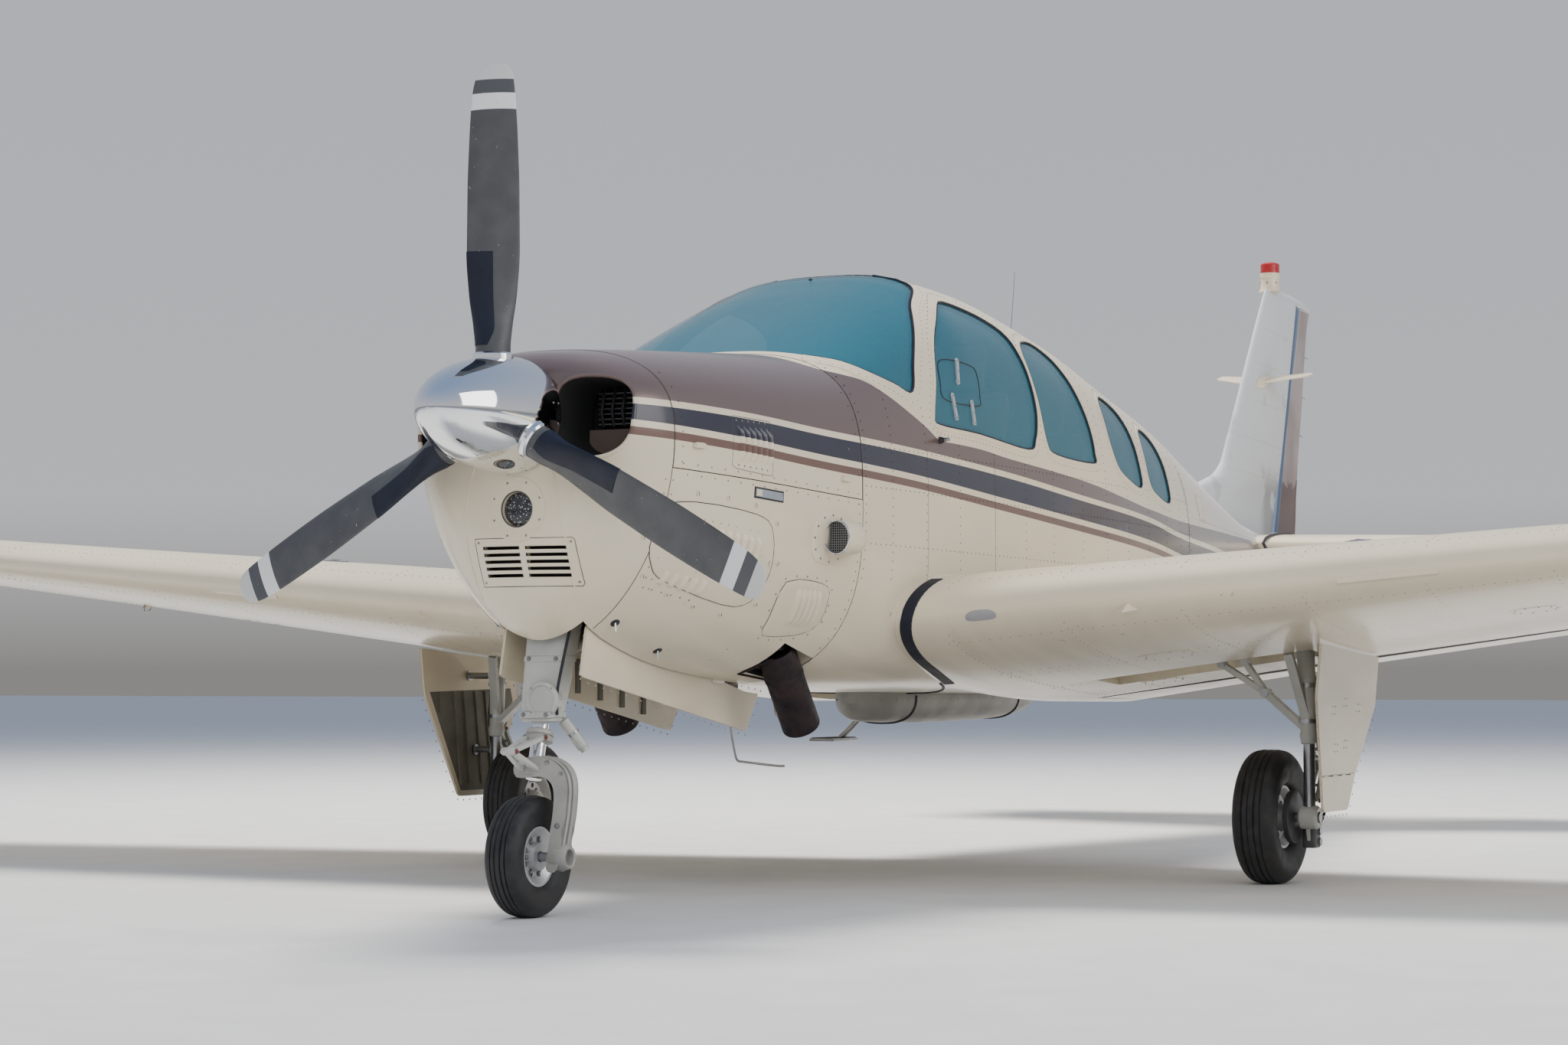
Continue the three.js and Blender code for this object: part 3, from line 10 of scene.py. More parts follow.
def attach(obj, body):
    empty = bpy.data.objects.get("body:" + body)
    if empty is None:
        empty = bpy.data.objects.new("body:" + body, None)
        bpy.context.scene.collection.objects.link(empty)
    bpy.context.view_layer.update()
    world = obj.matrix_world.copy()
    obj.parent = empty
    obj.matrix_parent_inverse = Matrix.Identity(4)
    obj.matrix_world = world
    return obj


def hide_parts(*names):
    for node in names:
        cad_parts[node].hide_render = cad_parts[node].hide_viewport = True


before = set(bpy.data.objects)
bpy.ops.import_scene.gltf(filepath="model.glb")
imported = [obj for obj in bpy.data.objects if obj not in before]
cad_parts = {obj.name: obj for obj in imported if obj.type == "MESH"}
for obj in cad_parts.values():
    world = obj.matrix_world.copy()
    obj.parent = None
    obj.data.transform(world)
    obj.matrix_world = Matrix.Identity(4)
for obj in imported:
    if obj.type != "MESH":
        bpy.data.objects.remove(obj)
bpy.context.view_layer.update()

# Lengths are in millimetres, with X from the point where the nose wheel meets the ground, until a mesh is
# made: then they become the frame's metres, with X from the middle of the aircraft's length.
NOSE_WHEEL_X = 3515
SCALE = 0.001


def to_frame(points):
    moved = np.asarray(points, float) + (NOSE_WHEEL_X, 0, 0)
    return moved * SCALE


# Driving dimensions, the same as the solids'
BOWL_BACK_X = -105
FIREWALL_X = -1050
CABIN_BACK_X = -4250
TAIL_END_X = -7580
SEMI_SPAN = 5105
WHEELBASE = 2385
HALF_TRACK = 1465
COWL_SKIN = 20
CABIN_WALL = 36
TAIL_SKIN = 12
FLOOR_Z = 870
HINGE_STRIP_HALF = 60
COWL_DOOR_FRONT_Z = 1311
COWL_DOOR_BACK_Z = 1255
NOSE_BAY_FRONT_X = -60
NOSE_BAY_BACK_X = -1040
NOSE_BAY_HALF = 148
NOSE_BAY_TOP = 1000
CLEARANCE = 9
COVE_CLEARANCE = 12
SEAM = 3
FAR = 4000
TINY = 1e-12

# Fuselage sections: x, top, bottom, half width, height of the greatest width, upper and lower power
COWL_SECTIONS = [
    (96, 1580, 1090, 275, 1420, 2.2, 1.7),
    (85, 1602, 1045, 312, 1420, 2.3, 1.7),
    (50, 1634, 950, 354, 1420, 2.4, 1.7),
    (0, 1655, 860, 385, 1410, 2.5, 1.75),
    (-80, 1668, 800, 420, 1400, 2.6, 1.8),
    (-200, 1680, 765, 455, 1380, 2.7, 1.9),
    (-500, 1700, 715, 515, 1320, 3.0, 2.15),
    (FIREWALL_X, 1735, 672, 583, 1250, 3.4, 2.8),
]
CABIN_SECTIONS = [
    (FIREWALL_X, 1735, 672, 583, 1250, 3.4, 2.8),
    (-1280, 1838, 662, 596, 1230, 3.3, 3.3),
    (-1500, 1932, 655, 605, 1220, 3.2, 3.7),
    (-1750, 2030, 649, 611, 1205, 3.1, 4.0),
    (-1950, 2091, 645, 615, 1200, 3.0, 4.0),
    (-2270, 2086, 640, 618, 1200, 2.9, 4.0),
    (-2950, 2006, 632, 613, 1200, 2.8, 4.0),
    (-3700, 1856, 640, 572, 1200, 2.7, 3.4),
    (CABIN_BACK_X, 1769, 690, 505, 1200, 2.5, 3.0),
    (-4700, 1674, 755, 440, 1200, 2.3, 2.7),
    (-5300, 1533, 850, 340, 1210, 2.2, 2.4),
    (-6000, 1398, 960, 222, 1220, 2.05, 2.2),
    (-6750, 1340, 1075, 122, 1225, 2.0, 2.1),
    (-7200, 1304, 1160, 70, 1235, 2.0, 2.0),
    (TAIL_END_X, 1272, 1222, 24, 1247, 2.0, 2.0),
]

# Outlines of the glass and doors in X and Z
WINDSCREEN = [
    (-1040, 1830), (-1083, 1734), (-1159, 1708), (-1247, 1675), (-1358, 1645), (-1453, 1624),
    (-1530, 1722), (-1631, 1824), (-1770, 1944), (-1936, 2043), (-1975, 2110), (-1985, 2300),
]
WINDOWS = [
    [(-1585, 1560), (-1639, 1665), (-1707, 1778), (-1815, 1880), (-1978, 1978), (-2219, 1970),
     (-2430, 1916), (-2468, 1830), (-2466, 1712), (-2453, 1614), (-2409, 1529), (-2331, 1489),
     (-1920, 1517), (-1610, 1530)],
    [(-2528, 1852), (-2594, 1890), (-2760, 1902), (-2876, 1868), (-2929, 1798), (-2960, 1714),
     (-2988, 1602), (-2993, 1512), (-2965, 1475), (-2597, 1486), (-2514, 1530), (-2498, 1678),
     (-2506, 1800)],
    [(-3238, 1718), (-3322, 1746), (-3470, 1714), (-3530, 1640), (-3540, 1500), (-3524, 1413),
     (-3350, 1441), (-3250, 1480), (-3200, 1563), (-3204, 1655)],
    [(-3696, 1626), (-3790, 1653), (-3896, 1624), (-3940, 1560), (-3947, 1470), (-3925, 1373),
     (-3729, 1397), (-3650, 1442), (-3650, 1546)],
]
WINDOW_RIGHT_2 = [(min(x, -2576 - (1900 - z) * 0.02), z) for x, z in WINDOWS[1]]
CABIN_DOOR = [
    (-1500, 1125), (-1500, 1570), (-1590, 1720), (-1665, 1808), (-1790, 1918), (-1945, 2012),
    (-2200, 2010), (-2440, 1958), (-2502, 1850), (-2512, 1700), (-2512, 1155), (-2472, 1115),
    (-1510, 1115),
]
CARGO_DOOR_FRONT = [
    (-3045, 960), (-3045, 1785), (-3120, 1815), (-3330, 1793), (-3490, 1760), (-3570, 1700), (-3570, 960),
]
CARGO_DOOR_REAR = [
    (-3584, 960), (-3584, 1690), (-3640, 1710), (-3790, 1698), (-3930, 1662), (-3990, 1590), (-3990, 1000),
    (-3950, 960),
]
DOORS = [
    ("cabin_door", CABIN_DOOR, WINDOWS[0], -1500, 1),
    ("cargo_door_front", CARGO_DOOR_FRONT, WINDOWS[2], -3045, 1),
    ("cargo_door_rear", CARGO_DOOR_REAR, WINDOWS[3], -3990, -1),
]

# Wing sections: y, leading edge x, chord, z, thickness and incidence; the root runs on below the cabin
WING_ROOT = (400, -1306, 2040, 906, 0.165, 8.4)
WING_SECTIONS = [
    (600, -1330, 2000, 900, 0.165, 8.4),
    (1500, -1436, 1810, 977, 0.157, 7.6),
    (3120, -1628, 1467, 1113, 0.14, 6.3),
    (4860, -1833, 1100, 1261, 0.122, 4.8),
    (5010, -1860, 1030, 1274, 0.118, 4.7),
    (5080, -1900, 930, 1281, 0.1, 4.6),
    (SEMI_SPAN, -1985, 720, 1285, 0.05, 4.6),
]
WING_CAMBER = 0.018
TIP_START_Y = 4860
FLAP = {"name": "flap", "inner": 668, "outer": 3100, "share": 0.77, "below": 0.62}
AILERON = {"name": "aileron", "inner": 3136, "outer": 4830, "share": 0.76, "below": 0}
TIE_DOWN = {"y": 3000, "share": 0.3, "z": 950, "length": 60, "width": 40}
LEG_BAY = {"inner": 880, "outer": 1640, "low": 500, "inner_top": 795, "outer_top": 845, "half": 110}

# Tailplane sections: y, front, chord, thickness. Fin sections: z, front, back, half thickness
TAILPLANE_Z = 1285
TAILPLANE_HALF_SPAN = 1855
TAILPLANE_HINGE_X = -7030
TAILPLANE_SECTIONS = [
    (0, -5930, 1560, 0.07), (230, -5930, 1558, 0.07), (430, -6150, 1320, 0.085), (1770, -6590, 815, 0.085),
    (1830, -6650, 740, 0.07), (TAILPLANE_HALF_SPAN, -6760, 600, 0.04),
]
FIN_SECTIONS = [
    (1300, -5480, -7116, 40), (1450, -5490, -7140, 42), (1500, -5540, -7146, 42), (1568, -5802, -7155, 43),
    (1611, -5973, -7165, 44), (1669, -6078, -7175, 44), (1755, -6146, -7190, 44), (1929, -6277, -7235, 41),
    (2300, -6548, -7318, 34), (2440, -6652, -7362, 30), (2500, -6697, -7395, 26), (2535, -6730, -7100, 14),
]
RUDDER_HINGE_LOW = (-6750, 1344)
RUDDER_HINGE_HIGH = (-7135, 2455)
RUDDER_BOTTOM_Z = 1368
RUDDER_TOP_Z = 2474
TAIL_ANTENNA = {"z": 2050, "front": -6480, "back": -6650, "reach": 230, "sweep": 185, "tip": 75,
                "thickness": 9, "rise": 0.25}
BEACON = {"x": -6790, "base": 2528, "lens": 2612, "top": 2664, "radius": 48}

# Propeller
PROP_X = 203
HUB_Z = 1462
PROP_RADIUS = 1016
SPINNER_RADIUS = 172
SPINNER_BACK_X = 104
SPINNER_TIP_X = 550
SHANK_RADIUS = 52
SHANK_START = 112
SHAFT_HOLE_RADIUS = 53
BLADE_COUNT = 3

# Landing gear and what hangs below
NOSE_STRUT_LOW = (34, 180)
NOSE_STRUT_HIGH = (-186, 1002)
MAIN_STRUT_Y = 1600
EXHAUST = {"y": 330, "top": (-938, 785), "outlet": (-1120, 542), "radius": 62}
COWL_OUTLET_FRONT_X = -856
COWL_OUTLET_HALF = 76

# Camera: the photograph's own, from the fit on wheels, propeller and beacon
CAMERA_PLACE = (11.796, 5.051, 0.727)
CAMERA_YAW = 26.96
CAMERA_PITCH = 2.53
CAMERA_ROLL = -0.09
CAMERA_LENS = 75.66
SENSOR_WIDTH = 36


def make_camera():
    data = bpy.data.cameras.new("camera")
    data.lens = CAMERA_LENS
    data.sensor_width = SENSOR_WIDTH
    data.clip_end = 200
    camera = bpy.data.objects.new("camera", data)
    bpy.context.scene.collection.objects.link(camera)
    yaw, pitch = math.radians(CAMERA_YAW), math.radians(CAMERA_PITCH)
    look = Vector((-math.cos(yaw) * math.cos(pitch), -math.sin(yaw) * math.cos(pitch), math.sin(pitch)))
    turn = look.to_track_quat("-Z", "Y") @ Matrix.Rotation(math.radians(CAMERA_ROLL), 3, "Z").to_quaternion()
    camera.rotation_mode = "QUATERNION"
    camera.rotation_quaternion = turn
    camera.location = CAMERA_PLACE
    bpy.context.scene.camera = camera


make_camera()


# Finishes
class Shader:
    """One material's node tree, with short calls for the nodes that the finishes share."""

    def __init__(self, name, **settings):
        self.material = bpy.data.materials.new(name)
        self.material.use_nodes = True
        self.tree = self.material.node_tree
        self.surface = self.tree.nodes["Principled BSDF"]
        self.place = self.tree.nodes.new("ShaderNodeTexCoord").outputs["Object"]
        for socket, value in settings.items():
            self.set(socket, value)

    def put(self, socket, value):
        if isinstance(value, bpy.types.NodeSocket):
            self.tree.links.new(value, socket)
        elif isinstance(value, (tuple, list)) and len(value) == 3 and len(socket.default_value) == 4:
            socket.default_value = (*value, 1)
        else:
            socket.default_value = value

    def set(self, socket, value):
        self.put(self.surface.inputs[socket.replace("_", " ")], value)

    def node(self, kind, *values, **settings):
        made = self.tree.nodes.new(kind)
        for key, value in settings.items():
            setattr(made, key, value)
        for socket, value in zip(made.inputs, values):
            if value is not None:
                self.put(socket, value)
        return made

    def math(self, operation, *values, clamp=False):
        return self.node("ShaderNodeMath", *values, operation=operation, use_clamp=clamp).outputs[0]

    def mix(self, share, first, second):
        made = self.tree.nodes.new("ShaderNodeMix")
        made.data_type = "RGBA"
        self.put(made.inputs[0], share)
        self.put(made.inputs[6], first)
        self.put(made.inputs[7], second)
        return made.outputs[2]

    def axes(self):
        return self.node("ShaderNodeSeparateXYZ", self.place).outputs

    def step(self, value, low, high):
        return self.node("ShaderNodeMapRange", value, low, high, 0.0, 1.0, clamp=True).outputs[0]

    def span(self, value, low, high, lowest, highest):
        return self.node("ShaderNodeMapRange", value, low, high, lowest, highest, clamp=True).outputs[0]

    def noise(self, scale, detail=4.0, stretch=None):
        place = self.place
        if stretch:
            place = self.node("ShaderNodeMapping", place, None, None, stretch).outputs[0]
        made = self.tree.nodes.new("ShaderNodeTexNoise")
        self.put(made.inputs["Vector"], place)
        made.inputs["Scale"].default_value = scale
        made.inputs["Detail"].default_value = detail
        return made.outputs[0]

    def bump(self, height, strength, distance):
        made = self.node("ShaderNodeBump")
        self.put(made.inputs["Height"], height)
        made.inputs["Strength"].default_value = strength
        made.inputs["Distance"].default_value = distance
        self.set("Normal", made.outputs[0])

    def curve(self, value, points):
        """A smooth line through points; both numbers of each are metres in the frame."""
        points = sorted(points)
        (x0, x1), heights = (points[0][0], points[-1][0]), [p[1] for p in points]
        low, high = min(heights), max(heights)
        share = self.node("ShaderNodeMapRange", value, x0, x1, 0.0, 1.0, clamp=True).outputs[0]
        made = self.tree.nodes.new("ShaderNodeFloatCurve")
        line = made.mapping.curves[0]
        while len(line.points) < len(points):
            line.points.new(0.5, 0.5)
        for handle, (x, z) in zip(line.points, points):
            handle.location = ((x - x0) / (x1 - x0), (z - low) / (high - low))
        made.mapping.update()
        self.put(made.inputs["Value"], share)
        return self.node("ShaderNodeMapRange", made.outputs[0], 0.0, 1.0, low, high, clamp=True).outputs[0]


CREAM = (0.74, 0.645, 0.475)
TAUPE = (0.20, 0.142, 0.128)
NAVY = (0.013, 0.014, 0.030)
BROWN = (0.14, 0.075, 0.055)
DARK_BROWN = (0.045, 0.028, 0.03)
SILVER_WHITE = (0.66, 0.68, 0.69)
DARKER_TONE = (0.16, 0.13, 0.10)
SOFT_EDGE = 0.0006
PINSTRIPE = 0.020
BROWN_STRIPE = 0.024

# Side stripes: the top of the first cream line, and the bottom of the broad navy one, as x and z
FIRST_LINE = [(100, 1514), (-400, 1494), (-860, 1464), (-1440, 1436), (-2160, 1396), (-2870, 1347),
              (-3580, 1304), (-4050, 1262), (-4760, 1228), (-5460, 1194), (-7580, 1100)]
NAVY_BOTTOM = [(100, 1449), (-370, 1418), (-850, 1383), (-1430, 1351), (-2150, 1303), (-2870, 1258),
               (-3580, 1216), (-4050, 1178), (-4440, 1150), (-5400, 1098), (-7580, 1000)]
# The top of the taupe band below the windows, and how it sweeps up before the windscreen
BAND_TOP = [(-1500, 1474), (-1790, 1469), (-2170, 1444), (-2580, 1421), (-2880, 1401), (-3300, 1361),
            (-3680, 1329), (-4100, 1308), (-4800, 1298), (-7580, 1290)]
SWEEP = [(1440, -1720), (1473, -1600), (1510, -1515), (1560, -1389), (1614, -1260), (1645, -1180),
         (1662, -1090), (1685, -1000), (1720, -955), (1760, -945)]


def frame_line(points):
    return [((x + NOSE_WHEEL_X) * SCALE, z * SCALE) for x, z in points]


def frame_sweep(points):
    return [(z * SCALE, (x + NOSE_WHEEL_X) * SCALE) for z, x in points]


def cloudy_and_darker_below(shader, colour, amount=1.0):
    """Faint cloudiness in the paint, and darker streaks towards the bottom."""
    z = shader.axes()[2]
    cloud = shader.span(shader.noise(2.3, 5.0), 0.3, 0.7, 0.0, 0.10 * amount)
    colour = shader.mix(cloud, colour, DARKER_TONE)
    # Darker streaks towards the bottom of the aircraft.
    low = shader.span(z, 0.62, 0.95, 0.42 * amount, 0.0)
    streaks = shader.math("MULTIPLY", low, shader.step(shader.noise(3.0, 6.0, (0.35, 3.0, 1.0)), 0.42, 0.7))
    return shader.mix(streaks, colour, DARKER_TONE)


def chips(shader, threshold=0.735, scale=34.0):
    coarse = shader.step(shader.noise(scale, 3.0), threshold, threshold + 0.01)
    patch = shader.step(shader.noise(1.7, 2.0), 0.5, 0.62)
    return shader.math("MULTIPLY", coarse, patch)


def skin_ripple(shader, strength=0.10):
    """The slight unevenness of thin sheet between its frames."""
    shader.bump(shader.noise(1.1, 2.0, (1.0, 1.0, 0.6)), strength, 0.02)


def livery(name="livery_paint", shade=0.0):
    """Cream below and round the glass, taupe above, with a navy and a brown stripe along the side."""
    s = Shader(name, Roughness=0.30, Coat_Weight=0.35, Coat_Roughness=0.12)
    x, _, z = s.axes()
    below = s.math("SUBTRACT", s.curve(x, frame_line(FIRST_LINE)), z)
    under = s.math("SUBTRACT", s.curve(x, frame_line(NAVY_BOTTOM)), z)
    over_band = s.step(s.math("SUBTRACT", z, s.curve(x, frame_line(BAND_TOP))), -SOFT_EDGE, SOFT_EDGE)
    swept = s.step(s.math("SUBTRACT", s.curve(z, frame_sweep(SWEEP)), x), -SOFT_EDGE, SOFT_EDGE)
    cream_top = s.math("MULTIPLY", over_band, swept)
    taupe = s.math("SUBTRACT", s.step(below, SOFT_EDGE, -SOFT_EDGE), cream_top, clamp=True)
    past_line = s.step(below, PINSTRIPE - SOFT_EDGE, PINSTRIPE + SOFT_EDGE)
    navy = s.math("MULTIPLY", past_line, s.step(under, SOFT_EDGE, -SOFT_EDGE))
    brown = s.math("MULTIPLY", s.step(under, PINSTRIPE - SOFT_EDGE, PINSTRIPE + SOFT_EDGE),
                   s.step(under, PINSTRIPE + BROWN_STRIPE + SOFT_EDGE, PINSTRIPE + BROWN_STRIPE - SOFT_EDGE))
    fade = s.span(x, -0.4, 1.0, 0.55, 0.0)
    faded_taupe = s.mix(fade, TAUPE, (0.36, 0.33, 0.33))
    faded_navy = s.mix(fade, NAVY, (0.13, 0.16, 0.21))
    # Dark brown patches on the navy stripe towards the rear: partly peeled paint, partly a painted reflection
    # of the dark ground.
    peel_and_reflection_zone = s.math("MULTIPLY", s.step(x, 1.0, 0.7), s.step(x, -1.0, -0.4))
    peel_and_reflection = s.math("MULTIPLY", peel_and_reflection_zone, s.step(s.noise(3.4, 2.0), 0.46, 0.475))
    faded_navy = s.mix(peel_and_reflection, faded_navy, DARK_BROWN)
    cream = s.mix(s.span(x, -1.6, -0.4, 0.55, 0.0), CREAM, SILVER_WHITE)
    colour = s.mix(taupe, cream, faded_taupe)
    colour = s.mix(navy, colour, faded_navy)
    colour = s.mix(brown, colour, BROWN)
    colour = s.mix(chips(s), colour, (0.30, 0.25, 0.20))
    # shade darkens the whole colour towards near black: painted shade, used for the rivet heads.
    s.set("Base Color", s.mix(shade, cloudy_and_darker_below(s, colour), (0.03, 0.025, 0.02)))
    s.set("Metallic", s.math("MULTIPLY", taupe, 0.55))
    skin_ripple(s)
    return s.material


def cream_paint(name="cream_paint", shade=0.0):
    s = Shader(name, Roughness=0.30, Coat_Weight=0.3, Coat_Roughness=0.12)
    worn = s.mix(chips(s, 0.72), CREAM, (0.42, 0.38, 0.32))
    # shade darkens the whole colour towards near black: painted shade, used for the rivet heads.
    s.set("Base Color", s.mix(shade, cloudy_and_darker_below(s, worn), (0.03, 0.025, 0.02)))
    skin_ripple(s)
    return s.material


def fin_paint():
    s = Shader("fin_paint", Roughness=0.28, Metallic=0.15, Coat_Weight=0.3, Coat_Roughness=0.12)
    x, _, z = s.axes()
    worn = s.mix(s.step(s.noise(4.0, 4.0), 0.62, 0.66), SILVER_WHITE, (0.55, 0.55, 0.54))
    base_zone = s.math("MULTIPLY", s.step(z, 1.68, 1.55), s.step(x, -3.0, -3.1))
    patch = s.math("MULTIPLY", base_zone, s.step(s.noise(5.0, 3.0), 0.42, 0.45))
    worn = s.mix(patch, worn, (0.36, 0.36, 0.35))
    s.set("Base Color", cloudy_and_darker_below(s, worn, 0.6))
    skin_ripple(s)
    return s.material


def rudder_paint():
    s = Shader("rudder_paint", Roughness=0.34, Metallic=0.35, Coat_Weight=0.25, Coat_Roughness=0.15)
    x, _, z = s.axes()
    hinge = s.curve(z, [(1.3, -3.235), (1.344, -3.235), (2.455, -3.62), (2.6, -3.67)])
    behind = s.math("SUBTRACT", hinge, x)
    light = (0.38, 0.31, 0.29)
    colour = s.mix(s.step(s.noise(2.2, 3.0), 0.45, 0.6), light, (0.27, 0.20, 0.18))
    low = s.math("ADD", z, s.math("MULTIPLY", s.noise(6.0, 3.0), 0.35))
    colour = s.mix(s.step(low, 1.80, 1.79), colour, (0.11, 0.05, 0.035))
    colour = s.mix(s.step(behind, 0.062, 0.061), colour, (0.60, 0.60, 0.60))
    colour = s.mix(s.step(behind, 0.054, 0.053), colour, (0.10, 0.15, 0.24))
    s.set("Base Color", cloudy_and_darker_below(s, colour, 0.5))
    return s.material


def plain(name, colour, roughness=0.5, metallic=0.0, grain=60.0, depth=0.15, shade=0.25, coat=0.0):
    """A finish of one colour with cloudiness and a fine grain."""
    s = Shader(name, Metallic=metallic, Coat_Weight=coat)
    dark = tuple(channel * (1 - shade) for channel in colour)
    s.set("Base Color", s.mix(s.span(s.noise(grain * 0.12, 4.0), 0.35, 0.65, 0.0, 1.0), colour, dark))
    s.set("Roughness", s.span(s.noise(grain * 0.3, 3.0), 0.3, 0.7, max(roughness - 0.07, 0.0),
                              roughness + 0.08))
    s.bump(s.noise(grain, 4.0), depth, 0.002)
    return s.material


def chrome():
    s = Shader("chrome", Base_Color=(0.86, 0.87, 0.88), Metallic=1.0)
    s.set("Roughness", s.span(s.noise(9.0, 5.0), 0.35, 0.75, 0.03, 0.11))
    return s.material


def blade_paint():
    """Grey blade with a light tip band, dark band and white band; the dark rubber boot near the root is a
    piece of its own.
    """
    s = Shader("blade_paint", Metallic=0.0)
    _, y, z = s.axes()
    up = s.math("SUBTRACT", z, HUB_Z * SCALE)
    radius = s.math("SQRT", s.math("ADD", s.math("MULTIPLY", y, y), s.math("MULTIPLY", up, up)))
    grey = s.mix(s.step(s.noise(14.0, 5.0), 0.4, 0.7), (0.060, 0.061, 0.065), (0.078, 0.079, 0.082))
    colour = s.mix(s.step(radius, 0.885, 0.886), grey, (0.72, 0.72, 0.72))
    colour = s.mix(s.step(radius, 0.932, 0.933), colour, (0.07, 0.072, 0.08))
    colour = s.mix(s.step(radius, 0.972, 0.973), colour, (0.55, 0.55, 0.54))
    nicks = s.step(s.noise(120.0, 2.0), 0.74, 0.76)
    s.set("Base Color", s.mix(nicks, colour, (0.35, 0.35, 0.35)))
    s.set("Roughness", s.span(s.noise(20.0, 4.0), 0.3, 0.7, 0.38, 0.55))
    s.bump(s.noise(80.0, 3.0), 0.05, 0.001)
    return s.material


def glass():
    s = Shader("tinted_glass", Base_Color=(0.025, 0.175, 0.245), Roughness=0.02, IOR=1.45, Coat_Weight=0.3)
    s.set("Alpha", s.span(s.noise(0.8, 2.0), 0.3, 0.7, 0.52, 0.64))
    s.set("Roughness", s.span(s.noise(3.0, 4.0), 0.4, 0.7, 0.01, 0.05))
    s.material.surface_render_method = "BLENDED"
    return s.material


def lens(name, colour, glow=0.0):
    s = Shader(name, Base_Color=colour, Roughness=0.08, Transmission_Weight=0.35, Coat_Weight=0.5)
    s.bump(s.node("ShaderNodeTexVoronoi", s.place, None, 420.0).outputs[0], 0.5, 0.002)
    if glow:
        s.set("Emission Color", (*colour, 1))
        s.set("Emission Strength", glow)
    return s.material


def speckled_lens():
    """A mirror painted dark, a painted reflection of dark surroundings, behind ribbed glass, with small
    bright flecks that are painted glints.
    """
    s = Shader("speckled_lens", Metallic=0.8, Roughness=0.18, Coat_Weight=1.0)
    cells = s.node("ShaderNodeTexVoronoi", s.place, None, 130.0).outputs[0]
    # Bright flecks on a near-black base: painted glints on a painted dark reflection.
    s.set("Base Color", s.mix(s.step(cells, 0.35, 0.15), (0.03, 0.03, 0.035), (0.6, 0.6, 0.62)))
    s.bump(cells, 0.8, 0.004)
    return s.material


def tyre_rubber():
    s = Shader("tyre_rubber")
    dust = s.step(s.noise(26.0, 6.0), 0.42, 0.75)
    s.set("Base Color", s.mix(dust, (0.012, 0.012, 0.013), (0.035, 0.034, 0.033)))
    s.set("Roughness", s.span(dust, 0.0, 1.0, 0.55, 0.78))
    s.bump(s.noise(220.0, 3.0), 0.2, 0.001)
    return s.material


def woven(name, colour, other):
    s = Shader(name, Roughness=0.9, Sheen_Weight=0.35)
    across = s.node("ShaderNodeTexWave", s.place, 160.0).outputs[1]
    checks = s.node("ShaderNodeTexVoronoi", s.place, None, 260.0).outputs[0]
    s.set("Base Color", s.mix(s.step(s.noise(40.0, 5.0), 0.3, 0.7), colour, other))
    s.bump(s.math("ADD", across, checks), 0.25, 0.0015)
    return s.material


def exhaust_finish():
    s = Shader("burnt_steel", Metallic=0.75)
    heat = s.step(s.noise(12.0, 5.0), 0.35, 0.65)
    s.set("Base Color", s.mix(heat, (0.018, 0.016, 0.022), (0.05, 0.034, 0.032)))
    s.set("Roughness", s.span(s.noise(40.0, 4.0), 0.3, 0.7, 0.45, 0.75))
    s.bump(s.noise(90.0, 4.0), 0.2, 0.002)
    return s.material


LIVERY = livery()
CREAM_PAINT = cream_paint()
FIN_PAINT = fin_paint()
RUDDER_PAINT = rudder_paint()
CHROME = chrome()
BLADE = blade_paint()
GLASS = glass()
TYRE = tyre_rubber()
BURNT = exhaust_finish()
RED_LENS = lens("red_lens", (0.55, 0.004, 0.006))
GREEN_LENS = lens("green_lens", (0.02, 0.45, 0.12))
BLACK = plain("black_plastic", (0.02, 0.02, 0.022), 0.5)
SEAL = plain("seal_rubber", (0.018, 0.02, 0.028), 0.65)
NAVY_RUBBER = plain("navy_rubber", (0.006, 0.009, 0.022), 0.6)
STEEL = plain("worn_steel", (0.42, 0.42, 0.43), 0.35, 0.9)
PISTON = plain("piston_chrome", (0.8, 0.8, 0.82), 0.1, 1.0, shade=0.05)
ALLOY = plain("wheel_alloy", (0.62, 0.62, 0.62), 0.4, 0.6)
GEAR_WHITE = plain("gear_white", (0.47, 0.47, 0.43), 0.4, 0.0, shade=0.2, coat=0.2)
FORK_GREY = plain("fork_grey", (0.38, 0.37, 0.335), 0.42, 0.1, shade=0.25)
CASTING = plain("engine_casting", (0.16, 0.16, 0.165), 0.6, 0.7)
GREY_PLASTIC = plain("grey_plastic", (0.30, 0.29, 0.26), 0.55)
BAY_DARK = plain("bay_paint", (0.15, 0.14, 0.11), 0.6)
TRIM = plain("cabin_trim", (0.26, 0.24, 0.21), 0.8, grain=200.0)
PANEL_DARK = plain("panel_dark", (0.03, 0.03, 0.032), 0.7, grain=200.0)
FASTENER = plain("fastener_steel", (0.34, 0.32, 0.30), 0.4, 0.8)
SEAM_DARK = plain("seam_dark", (0.09, 0.08, 0.075), 0.8)
# The rivet finishes are the livery and cream paints darkened all over: painted shade round the small heads.
SHADED_RIVET = livery("livery_rivets_shaded", 0.62)
SHADED_WING_RIVET = cream_paint("cream_rivets_shaded", 0.55)
BAFFLE_AND_SHADE_DARK = plain("baffle_and_shade_dark", (0.012, 0.012, 0.012), 0.9)
BAFFLE_BROWN = plain("baffle_brown", (0.11, 0.085, 0.07), 0.7)
SPECKLED_LENS = speckled_lens()
PLATE_BLUE = plain("plate_blue", (0.33, 0.37, 0.42), 0.45, 0.3)
PATCH_GREY = plain("patch_grey", (0.36, 0.36, 0.37), 0.5, 0.2)
DARK_EDGE = plain("dark_edge", (0.035, 0.034, 0.04), 0.45)
WALKWAY = plain("walkway_grit", (0.028, 0.028, 0.03), 0.95, grain=400.0, depth=0.6)
